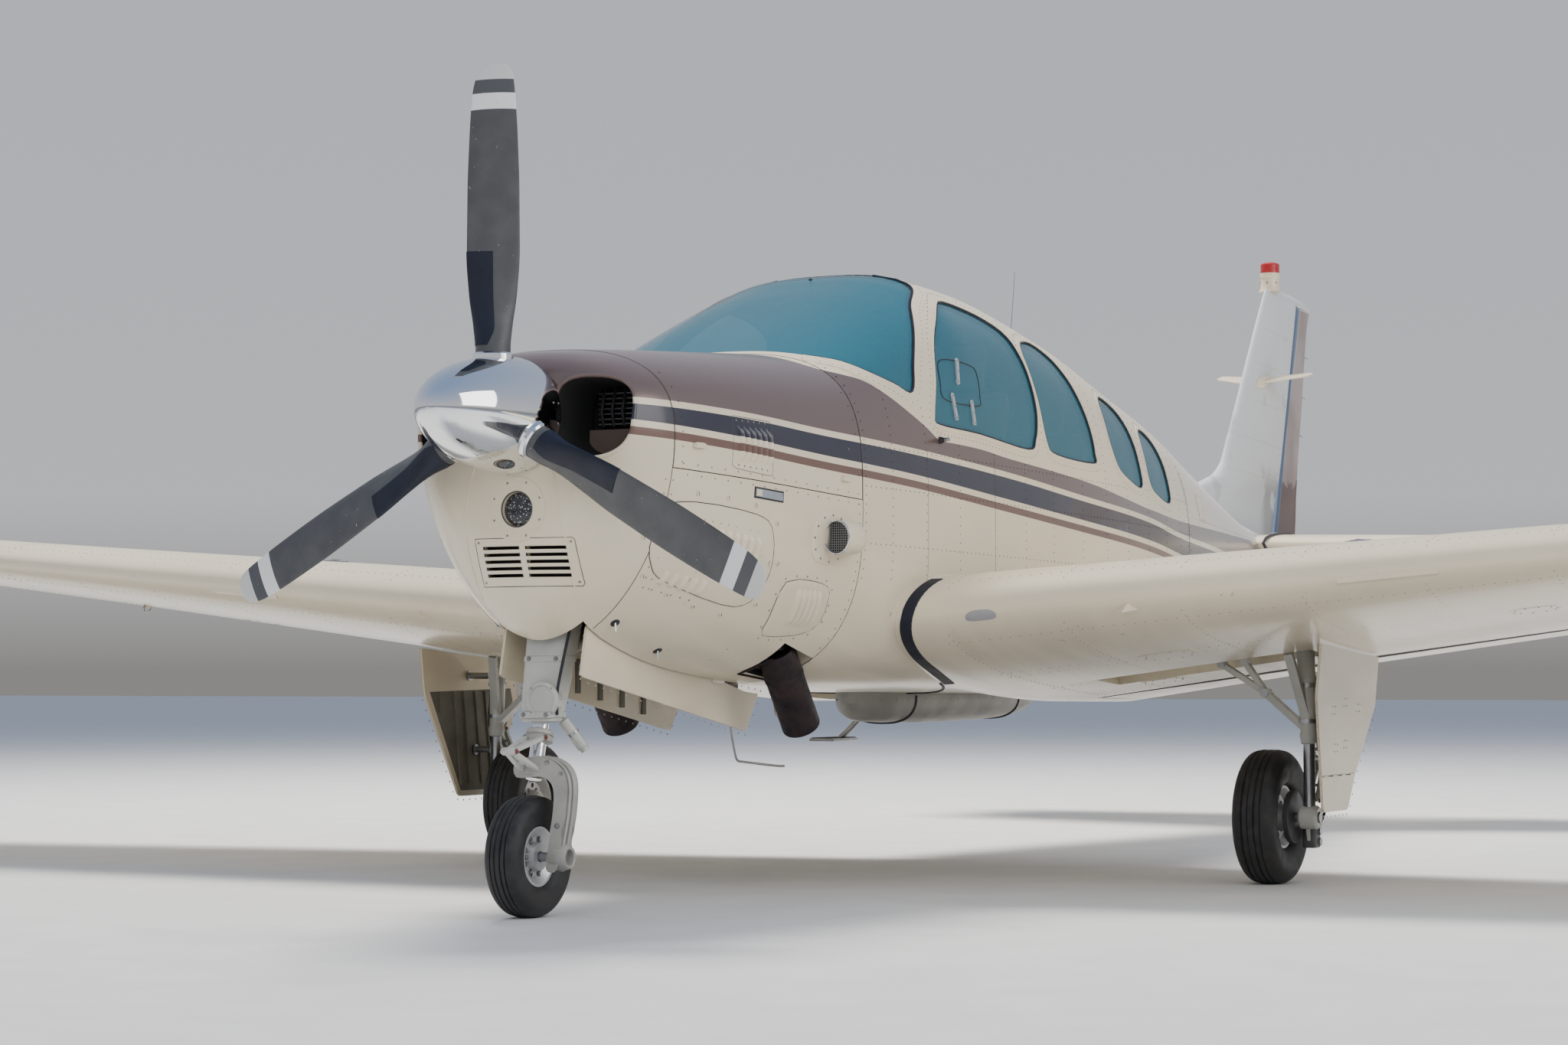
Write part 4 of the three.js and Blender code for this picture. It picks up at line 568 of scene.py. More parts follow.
BOLT_BROWN = plain("bolt_brown", (0.20, 0.055, 0.035), 0.5, 0.3)
CALIPER = plain("caliper_grey", (0.10, 0.10, 0.105), 0.5, 0.5)
FAIRING_GREY = plain("fairing_grey", (0.34, 0.33, 0.30), 0.5)
COAMING = plain("coaming_vinyl", (0.022, 0.022, 0.024), 0.75, grain=500.0, depth=0.4)
LATCH_CLEAR = lens("latch_clear", (0.55, 0.58, 0.60))
PIPING = plain("seat_piping", (0.10, 0.075, 0.055), 0.7, grain=300.0)
SEAT = woven("seat_cloth", (0.20, 0.15, 0.11), (0.27, 0.21, 0.16))


# Rivets that several rows share: radius, height, finish, sides
BOWL_RIVET = (3.2, 1.2, SHADED_RIVET, 8)
ROOF_RIVET = (2.6, 1.1, SHADED_RIVET, 8)
SIDE_RIVET = (2.6, 1.1, SHADED_RIVET, 6)


# Meshes
def around(count, start=0.0):
    """Even angles round a circle; start is how far the first one lies along its step."""
    return (np.arange(count) + start) / count * 2 * math.pi


def fill_mesh(name, points, faces, materials, indices=None, sharp=32.0):
    mesh = bpy.data.meshes.new(name)
    mesh.from_pydata([tuple(p) for p in to_frame(points)], [], [tuple(f) for f in faces])
    for material in materials:
        mesh.materials.append(material)
    if indices is not None:
        mesh.polygons.foreach_set("material_index", indices)
    finish_mesh(mesh, sharp)
    return mesh


def finish_mesh(mesh, sharp):
    mesh.polygons.foreach_set("use_smooth", [True] * len(mesh.polygons))
    mesh.set_sharp_from_angle(angle=math.radians(sharp))
    mesh.update()


def link(name, mesh):
    made = bpy.data.objects.new(name, mesh)
    bpy.context.scene.collection.objects.link(made)
    return made


class Piece:
    """Gathers solids in millimetres, each with its own finish, and becomes one object."""

    def __init__(self, name):
        self.name = name
        self.points = []
        self.faces = []
        self.indices = []
        self.materials = []

    def add(self, points, faces, material):
        start = sum(len(p) for p in self.points)
        if material not in self.materials:
            self.materials.append(material)
        self.points.append(np.asarray(points, float))
        self.faces += [tuple(i + start for i in face) for face in faces]
        self.indices += [self.materials.index(material)] * len(faces)
        return self

    def make(self, body=None, slot=None, replaces=(), sharp=32.0, bevel=0.0, segments=2):
        mesh = fill_mesh(self.name, np.concatenate(self.points), self.faces, self.materials, self.indices,
                         sharp)
        made = link(self.name, mesh)
        if bevel:
            edge = made.modifiers.new("edge", "BEVEL")
            edge.width = bevel * SCALE
            edge.segments = segments
            edge.limit_method = "ANGLE"
            edge.angle_limit = math.radians(40)
            edge.harden_normals = True
        return dress(made, body, replaces)

    def loft(self, rings, material, caps=True):
        return self.add(*loft(rings, caps), material)

    def block(self, low, high, material):
        corners = [(x, y, z) for x in (low[0], high[0]) for y in (low[1], high[1]) for z in (low[2], high[2])]
        faces = [(0, 1, 3, 2), (4, 6, 7, 5), (0, 4, 5, 1), (2, 3, 7, 6), (0, 2, 6, 4), (1, 5, 7, 3)]
        return self.add(corners, faces, material)

    def rod(self, start, end, radius, material, end_radius=None, sides=24):
        profile = [(0, radius), (1, radius if end_radius is None else end_radius)]
        return self.turned(profile, start, end, material, sides)

    def turned(self, profile, start, end, material, sides=24):
        """A round body about the line from start to end; the profile is (share of the length, radius)."""
        start, end = np.array(start, float), np.array(end, float)
        along = end - start
        across, up = square_axes(along)
        angles = around(sides)
        circle = np.outer(np.cos(angles), across) + np.outer(np.sin(angles), up)
        return self.loft([start + along * share + circle * max(radius, 0.05) for share, radius in profile],
                         material)

    def bar(self, start, end, width, thickness, side, material):
        """A flat bar: width lies along side, thickness square to it."""
        start, end = np.array(start, float), np.array(end, float)
        across, up = square_axes(end - start, side)
        corner = [across * width / 2 * a + up * thickness / 2 * b
                  for a, b in ((1, 1), (-1, 1), (-1, -1), (1, -1))]
        return self.loft([[start + c for c in corner], [end + c for c in corner]], material)

    def tube(self, path, radius, material, sides=10):
        """A round tube along a path of points."""
        path = np.array(path, float)
        rings = []
        across = None
        for i, point in enumerate(path):
            along = path[min(i + 1, len(path) - 1)] - path[max(i - 1, 0)]
            across, up = square_axes(along, across)
            angles = around(sides)
            rings.append(point + radius * (np.outer(np.cos(angles), across) + np.outer(np.sin(angles), up)))
        return self.loft(rings, material)

    def prism(self, outline, low, high, material, axis=1):
        """An outline in the two other axes, drawn out along one axis."""
        rings = [[np.insert(np.array(p, float), axis, level) for p in outline] for level in (low, high)]
        return self.loft(rings, material)

    def domes(self, places, radius, height, material, sides=6):
        """Low round heads; each place is a point of a skin and the way out of the skin there."""
        if not len(places):
            return self
        points = np.array([place[0] for place in places], float)
        out = np.array([place[1] for place in places], float)
        hint = np.where(np.abs(out[:, 2:]) < 0.9, [[0.0, 0.0, 1.0]], [[1.0, 0.0, 0.0]])
        across = np.cross(hint, out)
        across /= np.linalg.norm(across, axis=1)[:, None]
        up = np.cross(out, across)
        rings = []
        for size, lift in ((1, -0.4), (0.7, height)):
            for angle in around(sides):
                spoke = across * math.cos(angle) + up * math.sin(angle)
                rings.append(points + out * lift + spoke * radius * size)
        faces = []
        for first in range(0, len(points) * 2 * sides, 2 * sides):
            for i in range(sides):
                j = (i + 1) % sides
                faces.append((first + i, first + j, first + sides + j, first + sides + i))
            faces.append(tuple(first + sides + i for i in range(sides)))
        return self.add(np.array(rings).transpose(1, 0, 2).reshape(-1, 3), faces, material)


def square_axes(along, hint=None):
    along = np.array(along, float)
    along = along / np.linalg.norm(along)
    if hint is None or abs(np.dot(hint, along)) > 0.95 * np.linalg.norm(hint):
        hint = (0, 0, 1) if abs(along[2]) < 0.9 else (1, 0, 0)
    across = np.array(hint, float) - along * np.dot(hint, along)
    across = across / np.linalg.norm(across)
    return across, np.cross(along, across)


def loft(rings, caps=True):
    """Faces through rings that have the same number of points, all facing out."""
    rings = np.array(rings, float)
    rows, count, _ = rings.shape
    points = rings.reshape(-1, 3)
    faces = [(r * count + i, r * count + (i + 1) % count, (r + 1) * count + (i + 1) % count,
              (r + 1) * count + i)
             for r in range(rows - 1) for i in range(count)]
    if caps:
        faces.append(tuple(range(count))[::-1])
        faces.append(tuple((rows - 1) * count + i for i in range(count)))
    a, b, c = (points[[face[k] for face in faces]] for k in (0, 1, 2))
    d = points[[face[-1] for face in faces]]
    centre = points.mean(0)
    volume = np.einsum("ij,ij->i", a - centre, np.cross(b - centre, c - centre)).sum()
    volume += np.einsum("ij,ij->i", a - centre, np.cross(c - centre, d - centre)).sum()
    return points, faces if volume > 0 else [face[::-1] for face in faces]


def dress(made, body=None, replaces=()):
    if body:
        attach(made, body)
    if replaces:
        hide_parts(*([replaces] if isinstance(replaces, str) else replaces))
    return made


def apply_modifiers(made, sharp=32.0):
    graph = bpy.context.evaluated_depsgraph_get()
    mesh = bpy.data.meshes.new_from_object(made.evaluated_get(graph), depsgraph=graph)
    made.modifiers.clear()
    made.data = mesh
    mesh.name = made.name
    finish_mesh(mesh, sharp)


def combine(made, others, operation="DIFFERENCE", keep=False, lined=False):
    """Cuts a closed mesh by others, or joins or crosses it; lined cuts take the cutter's material."""
    for other in others:
        change = made.modifiers.new("change", "BOOLEAN")
        change.operation = operation
        change.solver = "MANIFOLD"
        change.object = other
        if lined:
            change.material_mode = "TRANSFER"
    apply_modifiers(made)
    if not keep:
        for other in others:
            bpy.data.objects.remove(other)
    return made


def copy_of(made, name):
    return link(name, made.data.copy())


def mirrored(made, name):
    """A copy on the other side of the middle plane."""
    mesh = made.data.copy()
    mesh.transform(Matrix.Scale(-1, 4, (0, 1, 0)))
    mesh.flip_normals()
    return link(name, mesh)


def dress_pair(made, name, body, node):
    """Dresses a left piece and its mirror image; the braces in each text take the side."""
    made.name = name.format("left")
    other = mirrored(made, name.format("right"))
    for piece, side in ((made, "left"), (other, "right")):
        dress(piece, body.format(side), node.format(side))


# Smooth values between the rows of a table
def row_at(table, key):
    rows = np.array(table, float)
    if rows[0, 0] > rows[-1, 0]:
        rows = rows[::-1]
    last = len(rows) - 1
    key = min(max(key, rows[0, 0]), rows[last, 0])
    k = min(max(int(np.searchsorted(rows[:, 0], key, side="left")) - 1, 0), last - 1)
    width = rows[k + 1, 0] - rows[k, 0]
    t = (key - rows[k, 0]) / width
    start, end = slope_at(rows, k) * width, slope_at(rows, k + 1) * width
    value = ((2 * t**3 - 3 * t**2 + 1) * rows[k] + (t**3 - 2 * t**2 + t) * start
             + (3 * t**2 - 2 * t**3) * rows[k + 1] + (t**3 - t**2) * end)
    return value[1:]


def slope_at(rows, k):
    left = right = None
    if k > 0:
        left = (rows[k] - rows[k - 1]) / (rows[k, 0] - rows[k - 1, 0])
    if k < len(rows) - 1:
        right = (rows[k + 1] - rows[k]) / (rows[k + 1, 0] - rows[k, 0])
    if left is None or right is None:
        return right if left is None else left
    total = np.where(left + right == 0, 1, left + right)
    return np.where(left * right <= 0, 0, 2 * left * right / total)


def bulged(value, power):
    """A sine or cosine raised to a power, with its sign kept, which squares off the curve it draws."""
    return math.copysign(abs(value) ** power, value)


def oval_arc(width, height, power, count):
    """Points at even steps along a quarter of an oval, from its top to its side."""
    angle = np.linspace(0, math.pi / 2, 160)
    across = width * np.sin(angle) ** (2 / power)
    up = height * np.maximum(np.cos(angle), 0) ** (2 / power)
    length = np.concatenate([[0], np.cumsum(np.hypot(np.diff(across), np.diff(up)))])
    even = np.linspace(0, length[-1], count + 1)
    return np.interp(even, length, across), np.interp(even, length, up)


def fuselage_ring(table, x, inset=0.0, count=96):
    """One section, from the top round by the left side."""
    top, bottom, half, waist, upper, lower = row_at(table, x)
    quarter = count // 4
    y_up, z_up = oval_arc(half - inset, top - waist - inset, upper, quarter)
    y_down, z_down = oval_arc(half - inset, waist - bottom - inset, lower, quarter)
    y = np.concatenate([y_up, y_down[::-1][1:]])
    z = np.concatenate([waist + z_up, waist - z_down[::-1][1:]])
    y = np.concatenate([y, -y[1:-1][::-1]])
    z = np.concatenate([z, z[1:-1][::-1]])
    return np.stack([np.full(len(y), float(x)), y, z], 1)


def table_of(x):
    return COWL_SECTIONS if x > FIREWALL_X else CABIN_SECTIONS


def share_and_power(z, top, bottom, waist, upper, lower):
    """How far z is from the waist to the top or bottom, and the power of that half's curve."""
    if z >= waist:
        return (z - waist) / (top - waist), upper
    return (waist - z) / (waist - bottom), lower


def half_width_at(x, z):
    top, bottom, half, waist, upper, lower = row_at(table_of(x), x)
    share, power = share_and_power(z, top, bottom, waist, upper, lower)
    return half * max(0.0, 1 - min(share, 1.0) ** power) ** (1 / power)


def outside(x, y, z):
    """Above zero outside the fuselage, below zero inside."""
    top, bottom, half, waist, upper, lower = row_at(table_of(x), x)
    share, power = share_and_power(z, top, bottom, waist, upper, lower)
    return (abs(y) / half) ** power + abs(share) ** power - 1


def skin_slope(x, y, z):
    """How fast outside() grows along each axis."""
    step = 2.0
    return np.array([outside(x + step, y, z) - outside(x - step, y, z),
                     outside(x, y + step, z) - outside(x, y - step, z),
                     outside(x, y, z + step) - outside(x, y, z - step)]) / (2 * step)


def skin_normal(x, y, z):
    slope = skin_slope(x, y, z)
    return slope / max(np.linalg.norm(slope), TINY)


def on_side(x, z, side=1, lift=0.0):
    """A point on the fuselage's side and the way out of the skin there."""
    top = row_at(table_of(x), x)[0]
    z = min(z, top - 0.5)
    point = np.array([x, side * half_width_at(x, z), z])
    normal = skin_normal(*point)
    return point + normal * lift, normal


def steps(first, last, step):
    return np.linspace(first, last, max(2, int(round(abs(last - first) / step)) + 1))


def fuselage_solid(name, table, first, last, inset, step, material, count=96):
    rings = [fuselage_ring(table, x, inset, count) for x in steps(first, last, step)]
    return Piece(name).loft(rings, material).make()


def rounded(outline, closed=True, pieces=6):
    """A smooth line through the outline's points."""
    points = np.array(outline, float)
    count = len(points)
    result = []
    for i in range(count if closed else count - 1):
        a, b, c, d = (points[(i + k) % count] if closed else points[min(max(i + k, 0), count - 1)]
                      for k in (-1, 0, 1, 2))
        for t in np.arange(pieces) / pieces:
            result.append(0.5 * (2 * b + (c - a) * t + (2 * a - 5 * b + 4 * c - d) * t**2
                                 + (3 * b - a - 3 * c + d) * t**3))
    if not closed:
        result.append(points[-1])
    return np.array(result)


def grown(outline, distance):
    """An outline whose edges are moved out by a distance."""
    points = np.array(outline, float)
    following = np.roll(points, -1, 0)
    area = (points[:, 0] * following[:, 1] - following[:, 0] * points[:, 1]).sum()
    ahead = following - points
    ahead /= np.linalg.norm(ahead, axis=1)[:, None]
    behind = np.roll(ahead, 1, 0)
    scale = math.copysign(distance, area) / (1 + (ahead * behind).sum(1))
    shift = np.stack([ahead[:, 1] + behind[:, 1], -(ahead[:, 0] + behind[:, 0])], 1)
    return points + shift * scale[:, None]


def side_cutter(outline, first, last, grow=0.0):
    return Piece("cutter").prism(grown(outline, grow) if grow else outline, first, last, DARK_EDGE).make()


def block_cutter(low, high):
    return Piece("cutter").block(low, high, BLACK).make()


def rod_cutter(start, end, radius, end_radius=None, sides=40):
    return Piece("cutter").rod(start, end, radius, BLACK, end_radius, sides).make()


def windscreen_outline(grow=0.0):
    line = np.concatenate([rounded(WINDSCREEN[:-1], closed=False), [WINDSCREEN[-1]]])
    return grown(line, grow) if grow else line


# Places on the fuselage's skin, and the thin pieces that are laid on it
NOSE_FRONT_X = 96


def to_skin(point, lift=0.0):
    """The nearest place on the skin, lifted off it, and the way out of the skin there."""
    point = np.array(point, float)
    for _ in range(5):
        slope = skin_slope(*point)
        point = point - slope * outside(*point) / max(slope @ slope, TINY)
    normal = skin_normal(*point)
    return point + normal * lift, normal


def nose_place(y, z, lift=0.0):
    """The place on the nose bowl's front that lies at y and z, and the way out of the skin there."""
    front, back = NOSE_FRONT_X, BOWL_BACK_X
    if outside(front, y, z) < 0:
        return np.array([front + lift, y, z]), np.array([1.0, 0.0, 0.0])
    for _ in range(24):
        middle = (front + back) / 2
        front, back = (middle, back) if outside(middle, y, z) > 0 else (front, middle)
    normal = skin_normal(back, y, z)
    return np.array([back, y, z]) + normal * lift, normal


def left_side(x, z, lift=0.0):
    return on_side(x, z, 1, lift)


def right_side(x, z, lift=0.0):
    return on_side(x, z, -1, lift)


def even(path, pitch, closed=False):
    """Points at an even pitch along a line of points."""
    path = np.array(path, float)
    if closed:
        path = np.concatenate([path, path[:1]])
    length = np.concatenate([[0], np.cumsum(np.linalg.norm(np.diff(path, axis=0), axis=1))])
    count = max(2, int(round(length[-1] / pitch)) + 1)
    shares = np.linspace(0, length[-1], count)
    if closed:
        shares = shares[:-1]
    return np.stack([np.interp(shares, length, path[:, k]) for k in range(path.shape[1])], 1)


def inside(outline, x, z):
    points = np.array(outline, float)
    following = np.roll(points, -1, 0)
    crosses = (points[:, 1] > z) != (following[:, 1] > z)
    rise = np.where(crosses, following[:, 1] - points[:, 1], 1)
    at = points[:, 0] + (z - points[:, 1]) * (following[:, 0] - points[:, 0]) / rise
    return bool((crosses & (at > x)).sum() % 2)


def laid(piece, outline, place, lift, material, edge=3.0, rings=5):
    """A thin plate that follows the skin inside an outline, with a soft edge."""
    outline = np.array(outline, float)
    centre = outline.mean(0)
    size = np.linalg.norm(outline - centre, axis=1).mean()
    levels = [(1, -3.0), (1, lift * 0.6), (1 - edge / size, lift)]
    levels += [(share, lift) for share in np.linspace(1 - edge / size, 0.06, rings)[1:]]
    rows = [[place(*(centre + (point - centre) * share), height)[0] for point in outline]
            for share, height in levels]
    return piece.loft(rows, material)


def seam_line(piece, path, place, radius=1.8, closed=False, lift=-0.7, material=None, pitch=40, sides=6):
    """A thin round line along a path on the skin, mostly sunk into it."""
    points = even(path, pitch, closed)
    line = [place(a, b, lift)[0] for a, b in points]
    if closed:
        line += line[:2]
    return piece.tube(line, radius, material or SEAM_DARK, sides)


def rivets(piece, path, place, pitch=30, radius=3.4, height=1.3, material=None, closed=False, keep=None):
    """A row of low domes along a path on the skin."""
    places = [place(a, b) for a, b in even(path, pitch, closed) if keep is None or keep(a, b)]
    return piece.domes(places, radius, height, material or SHADED_RIVET)


def quarter_turns(piece, places, material=None):
    """Screws with a raised rim and a slot, each at a place on the skin."""
    for point, normal in places:
        piece.turned([(0, 8.5), (0.5, 8.5), (0.75, 7.2), (1, 7.0)], point - normal * 1.0,
                     point + normal * 2.4, material or CREAM_PAINT, 16)
        across, _ = square_axes(normal, (0.4, 0, 1))
        piece.bar(point + normal * 2.2 - across * 6, point + normal * 2.2 + across * 6, 2.2, 1.2,
                  np.cross(normal, across), BLACK)


def louvre(piece, low, high, width, rise, material, place=left_side, count=9):
    """A pressed slot from its low to its high end: it climbs from its front edge to an open rear edge, where
    a black strip is painted shade in the opening and painted shadow on the skin behind.
    """
    low, high = np.array(low, float), np.array(high, float)
    along = (high - low) / 2
    middle = (low + high) / 2
    across = np.array([along[1], -along[0]]) / np.linalg.norm(along)
    across = across if across[0] < 0 else -across
    skin, shaded_opening = [], []
    for share in np.linspace(-1, 1, count):
        height = rise * math.sqrt(max(1 - share**4, 0.01))
        at = middle + along * share
        skin.append([place(*(at + across * b), c)[0] for b, c in (
            (-width / 2, -1), (-width * 0.2, height * 0.55), (width * 0.28, height),
            (width * 0.42, height * 0.94), (width / 2, height * 0.6), (width / 2, -1))])
        # A black strip from under the lip out onto the skin behind: painted shade in the opening and painted
        # shadow of the lip.
        if abs(share) < 0.9:
            shaded_opening.append([place(*(at + across * b), c)[0] for b, c in (
                (width * 0.40, -1), (width * 0.46, height * 0.75), (width * 0.62, height * 0.35),
                (width * 0.66, -1))])
    piece.loft(skin, material)
    piece.loft(shaded_opening, BLACK)
    return piece


def both_sides(piece, body, other_body=None):
    """Makes a piece on the left side and its mirror image on the right."""
    name = piece.name
    piece.name = f"{name}_left"
    made = piece.make()
    other = mirrored(made, f"{name}_right")
    dress(made, body)
    dress(other, other_body or body)
    return made, other


# Nose bowl, with its inlets, light and grille
INLET_Y = 252
INLET_Z = 1455
INLET_HALF_WIDTH = 114
INLET_HALF_HEIGHT = 120
INLET_POWER = 2.6
LIGHT_Y = 16
LIGHT_Z = 1190
LIGHT_RADIUS = 50
LIGHT_PLATE = 95
GRILLE_TOP = 1083
GRILLE_PITCH = 20
GRILLE_HALVES = ((-108, 22), (40, 168))
GRILLE_ROWS = 5


def inlet_outline(side, grow=0.0, count=48):
    result = []
    for angle in around(count):
        across = bulged(math.cos(angle), 2 / INLET_POWER) * (INLET_HALF_WIDTH + grow)
        up = bulged(math.sin(angle), 2 / INLET_POWER) * (INLET_HALF_HEIGHT + grow)
        result.append((side * INLET_Y + across, INLET_Z + up))
    return result


def nose_bay_cutter():
    low, high = (NOSE_BAY_BACK_X, -NOSE_BAY_HALF, 0), (NOSE_BAY_FRONT_X, NOSE_BAY_HALF, NOSE_BAY_TOP)
    return Piece("cutter").block(low, high, BAY_DARK).make()


def nose_bowl():
    places = [96, 94, 90, 85, 76, 64, 50, 34, 16, 0, -20, -40, -62, -84, BOWL_BACK_X]
    bowl = Piece("nose_bowl_skin").loft([fuselage_ring(COWL_SECTIONS, x, 0, 128) for x in places],
                                        LIVERY).make()
    inner = Piece("cutter").loft([fuselage_ring(COWL_SECTIONS, x, 26, 64) for x in (60, 40, 0, -50, -115)],
                                 BLACK).make()
    cutters = [inner, nose_bay_cutter()]
    for side in (1, -1):
        cutters.append(Piece("cutter").prism(inlet_outline(side), -80, 140, BLACK, 0).make())
    cutters.append(rod_cutter((50, LIGHT_Y, LIGHT_Z), (140, LIGHT_Y, LIGHT_Z), LIGHT_RADIUS))
    cutters.append(rod_cutter((0, 0, HUB_Z), (140, 0, HUB_Z), SHAFT_HOLE_RADIUS))
    for row in range(GRILLE_ROWS):
        z = GRILLE_TOP - row * GRILLE_PITCH
        for y0, y1 in GRILLE_HALVES:
            cutters.append(block_cutter((-30, y0, z - GRILLE_PITCH / 2), (140, y1, z)))
    combine(bowl, cutters)
    return dress(bowl, "airframe", "nose_bowl")


def cowl_edge_z(x):
    slope = (COWL_DOOR_FRONT_Z - COWL_DOOR_BACK_Z) / (BOWL_BACK_X - FIREWALL_X)
    return COWL_DOOR_FRONT_Z + (x - BOWL_BACK_X) * slope


def above_cowl_edge(lift):
    x0, x1 = FIREWALL_X - 200, BOWL_BACK_X + 200
    outline = [(x0, cowl_edge_z(x0) + lift), (x1, cowl_edge_z(x1) + lift), (x1, FAR), (x0, FAR)]
    return side_cutter(outline, -FAR, FAR)


def cowl():
    front, back = BOWL_BACK_X - 1, FIREWALL_X + 1
    shell = fuselage_solid("cowl_shell", COWL_SECTIONS, front, back, 0, 60, LIVERY, 128)
    hollow = fuselage_solid("cutter", COWL_SECTIONS, front + 20, back - 20, COWL_SKIN, 100, LIVERY, 64)
    combine(shell, [hollow])
    outlets = [block_cutter((FIREWALL_X - 1, side * EXHAUST["y"] - COWL_OUTLET_HALF, 0),
                            (COWL_OUTLET_FRONT_X, side * EXHAUST["y"] + COWL_OUTLET_HALF, 860))
               for side in (1, -1)]
    lower = combine(copy_of(shell, "cowl_lower_skin"),
                    [above_cowl_edge(-SEAM / 2), nose_bay_cutter(), *outlets], lined=True)
    dress(lower, "airframe", "cowl_lower")
    strip = combine(copy_of(shell, "cowl_strip_skin"),
                    [block_cutter((back - 5, -HINGE_STRIP_HALF, HUB_Z), (front + 5, HINGE_STRIP_HALF, FAR))],
                    "INTERSECT")
    dress(strip, "airframe", "cowl_hinge_strip")
    door = combine(copy_of(shell, "cowl_door_left_skin"), [above_cowl_edge(SEAM / 2)], "INTERSECT")
    combine(door, [block_cutter((back + SEAM, HINGE_STRIP_HALF + SEAM, 0), (front - SEAM, FAR, FAR))],
            "INTERSECT")
    dress_pair(door, "cowl_door_{}_skin", "cowl_door_{}", "cowl_door_{}")
    bpy.data.objects.remove(shell)


# Cabin shell, doors and glass
def turned_about(made, x, y, degrees):
    """Turns a mesh about an upright line, in millimetres."""
    centre = Matrix.Translation(Vector(to_frame((x, y, 0))))
    made.data.transform(centre @ Matrix.Rotation(math.radians(degrees), 4, "Z") @ centre.inverted())
    return made


def door_cutters(outline, hinge_x, sign):
    """The space a door needs where it stands and as it starts to swing."""
    hinge_y = -half_width_at(hinge_x, 1200)
    result = []
    for degrees in (0, 3, 7, 12, 20):
        result.append(turned_about(side_cutter(outline, -900, -330, CLEARANCE), hinge_x, hinge_y,
                                   sign * degrees))
    return result


def cabin_shell():
    front, back = FIREWALL_X - 1, CABIN_BACK_X + 1
    shell = fuselage_solid("cabin_shell_skin", CABIN_SECTIONS, front, back, 0, 64, LIVERY, 128)
    inner = fuselage_solid("cutter", CABIN_SECTIONS, front - CABIN_WALL, back + CABIN_WALL, CABIN_WALL, 120,
                           TRIM, 64)
    combine(inner, [block_cutter((back - 50, -FAR, 0), (front + 50, FAR, FLOOR_Z))])
    cutters = [inner, side_cutter(windscreen_outline(), -FAR, FAR)]
    cutters += [side_cutter(rounded(outline), 200, FAR) for outline in WINDOWS]
    cutters.append(side_cutter(rounded(WINDOW_RIGHT_2), -FAR, -200))
    for _, outline, _, hinge_x, sign in DOORS:
        cutters += door_cutters(outline, hinge_x, sign)
    combine(shell, cutters, lined=True)
    dress(shell, "airframe", "cabin_shell")


def wall_layer(outer, inner, material, lining, count, step):
    front, back = FIREWALL_X - 4, CABIN_BACK_X + 4
    layer = fuselage_solid("layer", CABIN_SECTIONS, front, back, outer, step, material, count)
    return combine(layer, [fuselage_solid("cutter", CABIN_SECTIONS, front + 10, back - 10, inner, step,
                                          lining, count)], lined=True)


GLASS_OUTER = 4
GLASS_THICKNESS = 7
GLASS_RIM = 1.5


def glass_and_doors():
    panes = wall_layer(GLASS_OUTER, GLASS_OUTER + GLASS_THICKNESS, GLASS, GLASS, 128, 64)
    wall = wall_layer(0, CABIN_WALL, LIVERY, TRIM, 128, 64)

    def pane(node, body, outline, low, high):
        made = combine(copy_of(panes, f"{node}_glass"), [side_cutter(outline, low, high, -GLASS_RIM)],
                       "INTERSECT")
        return dress(made, body, node)

    pane("windscreen", "airframe", windscreen_outline(), -FAR, FAR)
    for index, outline in enumerate(WINDOWS):
        pane(f"window_left_{index + 1}", "airframe", rounded(outline), 200, FAR)
    pane("window_right_2", "airframe", rounded(WINDOW_RIGHT_2), -FAR, -200)
    for name, outline, window, _, _ in DOORS:
        leaf = combine(copy_of(wall, f"{name}_skin"), [side_cutter(outline, -FAR, -200)], "INTERSECT")
        combine(leaf, [side_cutter(rounded(window), -FAR, -200)])
        dress(leaf, name, name)
        pane(f"{name}_window", name, rounded(window), -FAR, -200)
    bpy.data.objects.remove(panes)
    bpy.data.objects.remove(wall)


def tail_cone():
    front = CABIN_BACK_X - 1
    cone = fuselage_solid("tail_cone_skin", CABIN_SECTIONS, front, TAIL_END_X, 0, 110, LIVERY, 96)
    inner = fuselage_solid("cutter", CABIN_SECTIONS, front + 20, -6900, TAIL_SKIN, 200, LIVERY, 48)
    tube = rod_cutter((TAILPLANE_HINGE_X, -FAR, TAILPLANE_Z), (TAILPLANE_HINGE_X, FAR, TAILPLANE_Z), 25)
    combine(cone, [inner, tailplane_solid("cutter", 0.4), tube])
    dress(cone, "airframe", "tail_cone")


# Wings
def foil_rise(share, thickness):
    return 5 * thickness * (0.2969 * math.sqrt(share) - 0.126 * share - 0.3516 * share**2 + 0.2843 * share**3
                            - 0.1015 * share**4)


def foil_bend(share, camber):
    rising = min(share / 0.6, 1)
    return camber * 4 * rising * (1 - 0.5 * rising) * (1 - share)


def foil_ring(front, chord, thickness, camber, incidence, count):
    """A section from the trailing edge over the top to the nose and back below, as x and rise."""
    slope = math.tan(math.radians(incidence))
    ring = []
    for i in range(count):
        share = 0.5 * (1 + math.cos(i / count * 2 * math.pi))
        rise = max(foil_rise(share, thickness), 0.0015)
        side = 1 if i <= count / 2 else -1
        ring.append((front - share * chord, (side * rise + foil_bend(share, camber) - share * slope) * chord))
    return ring


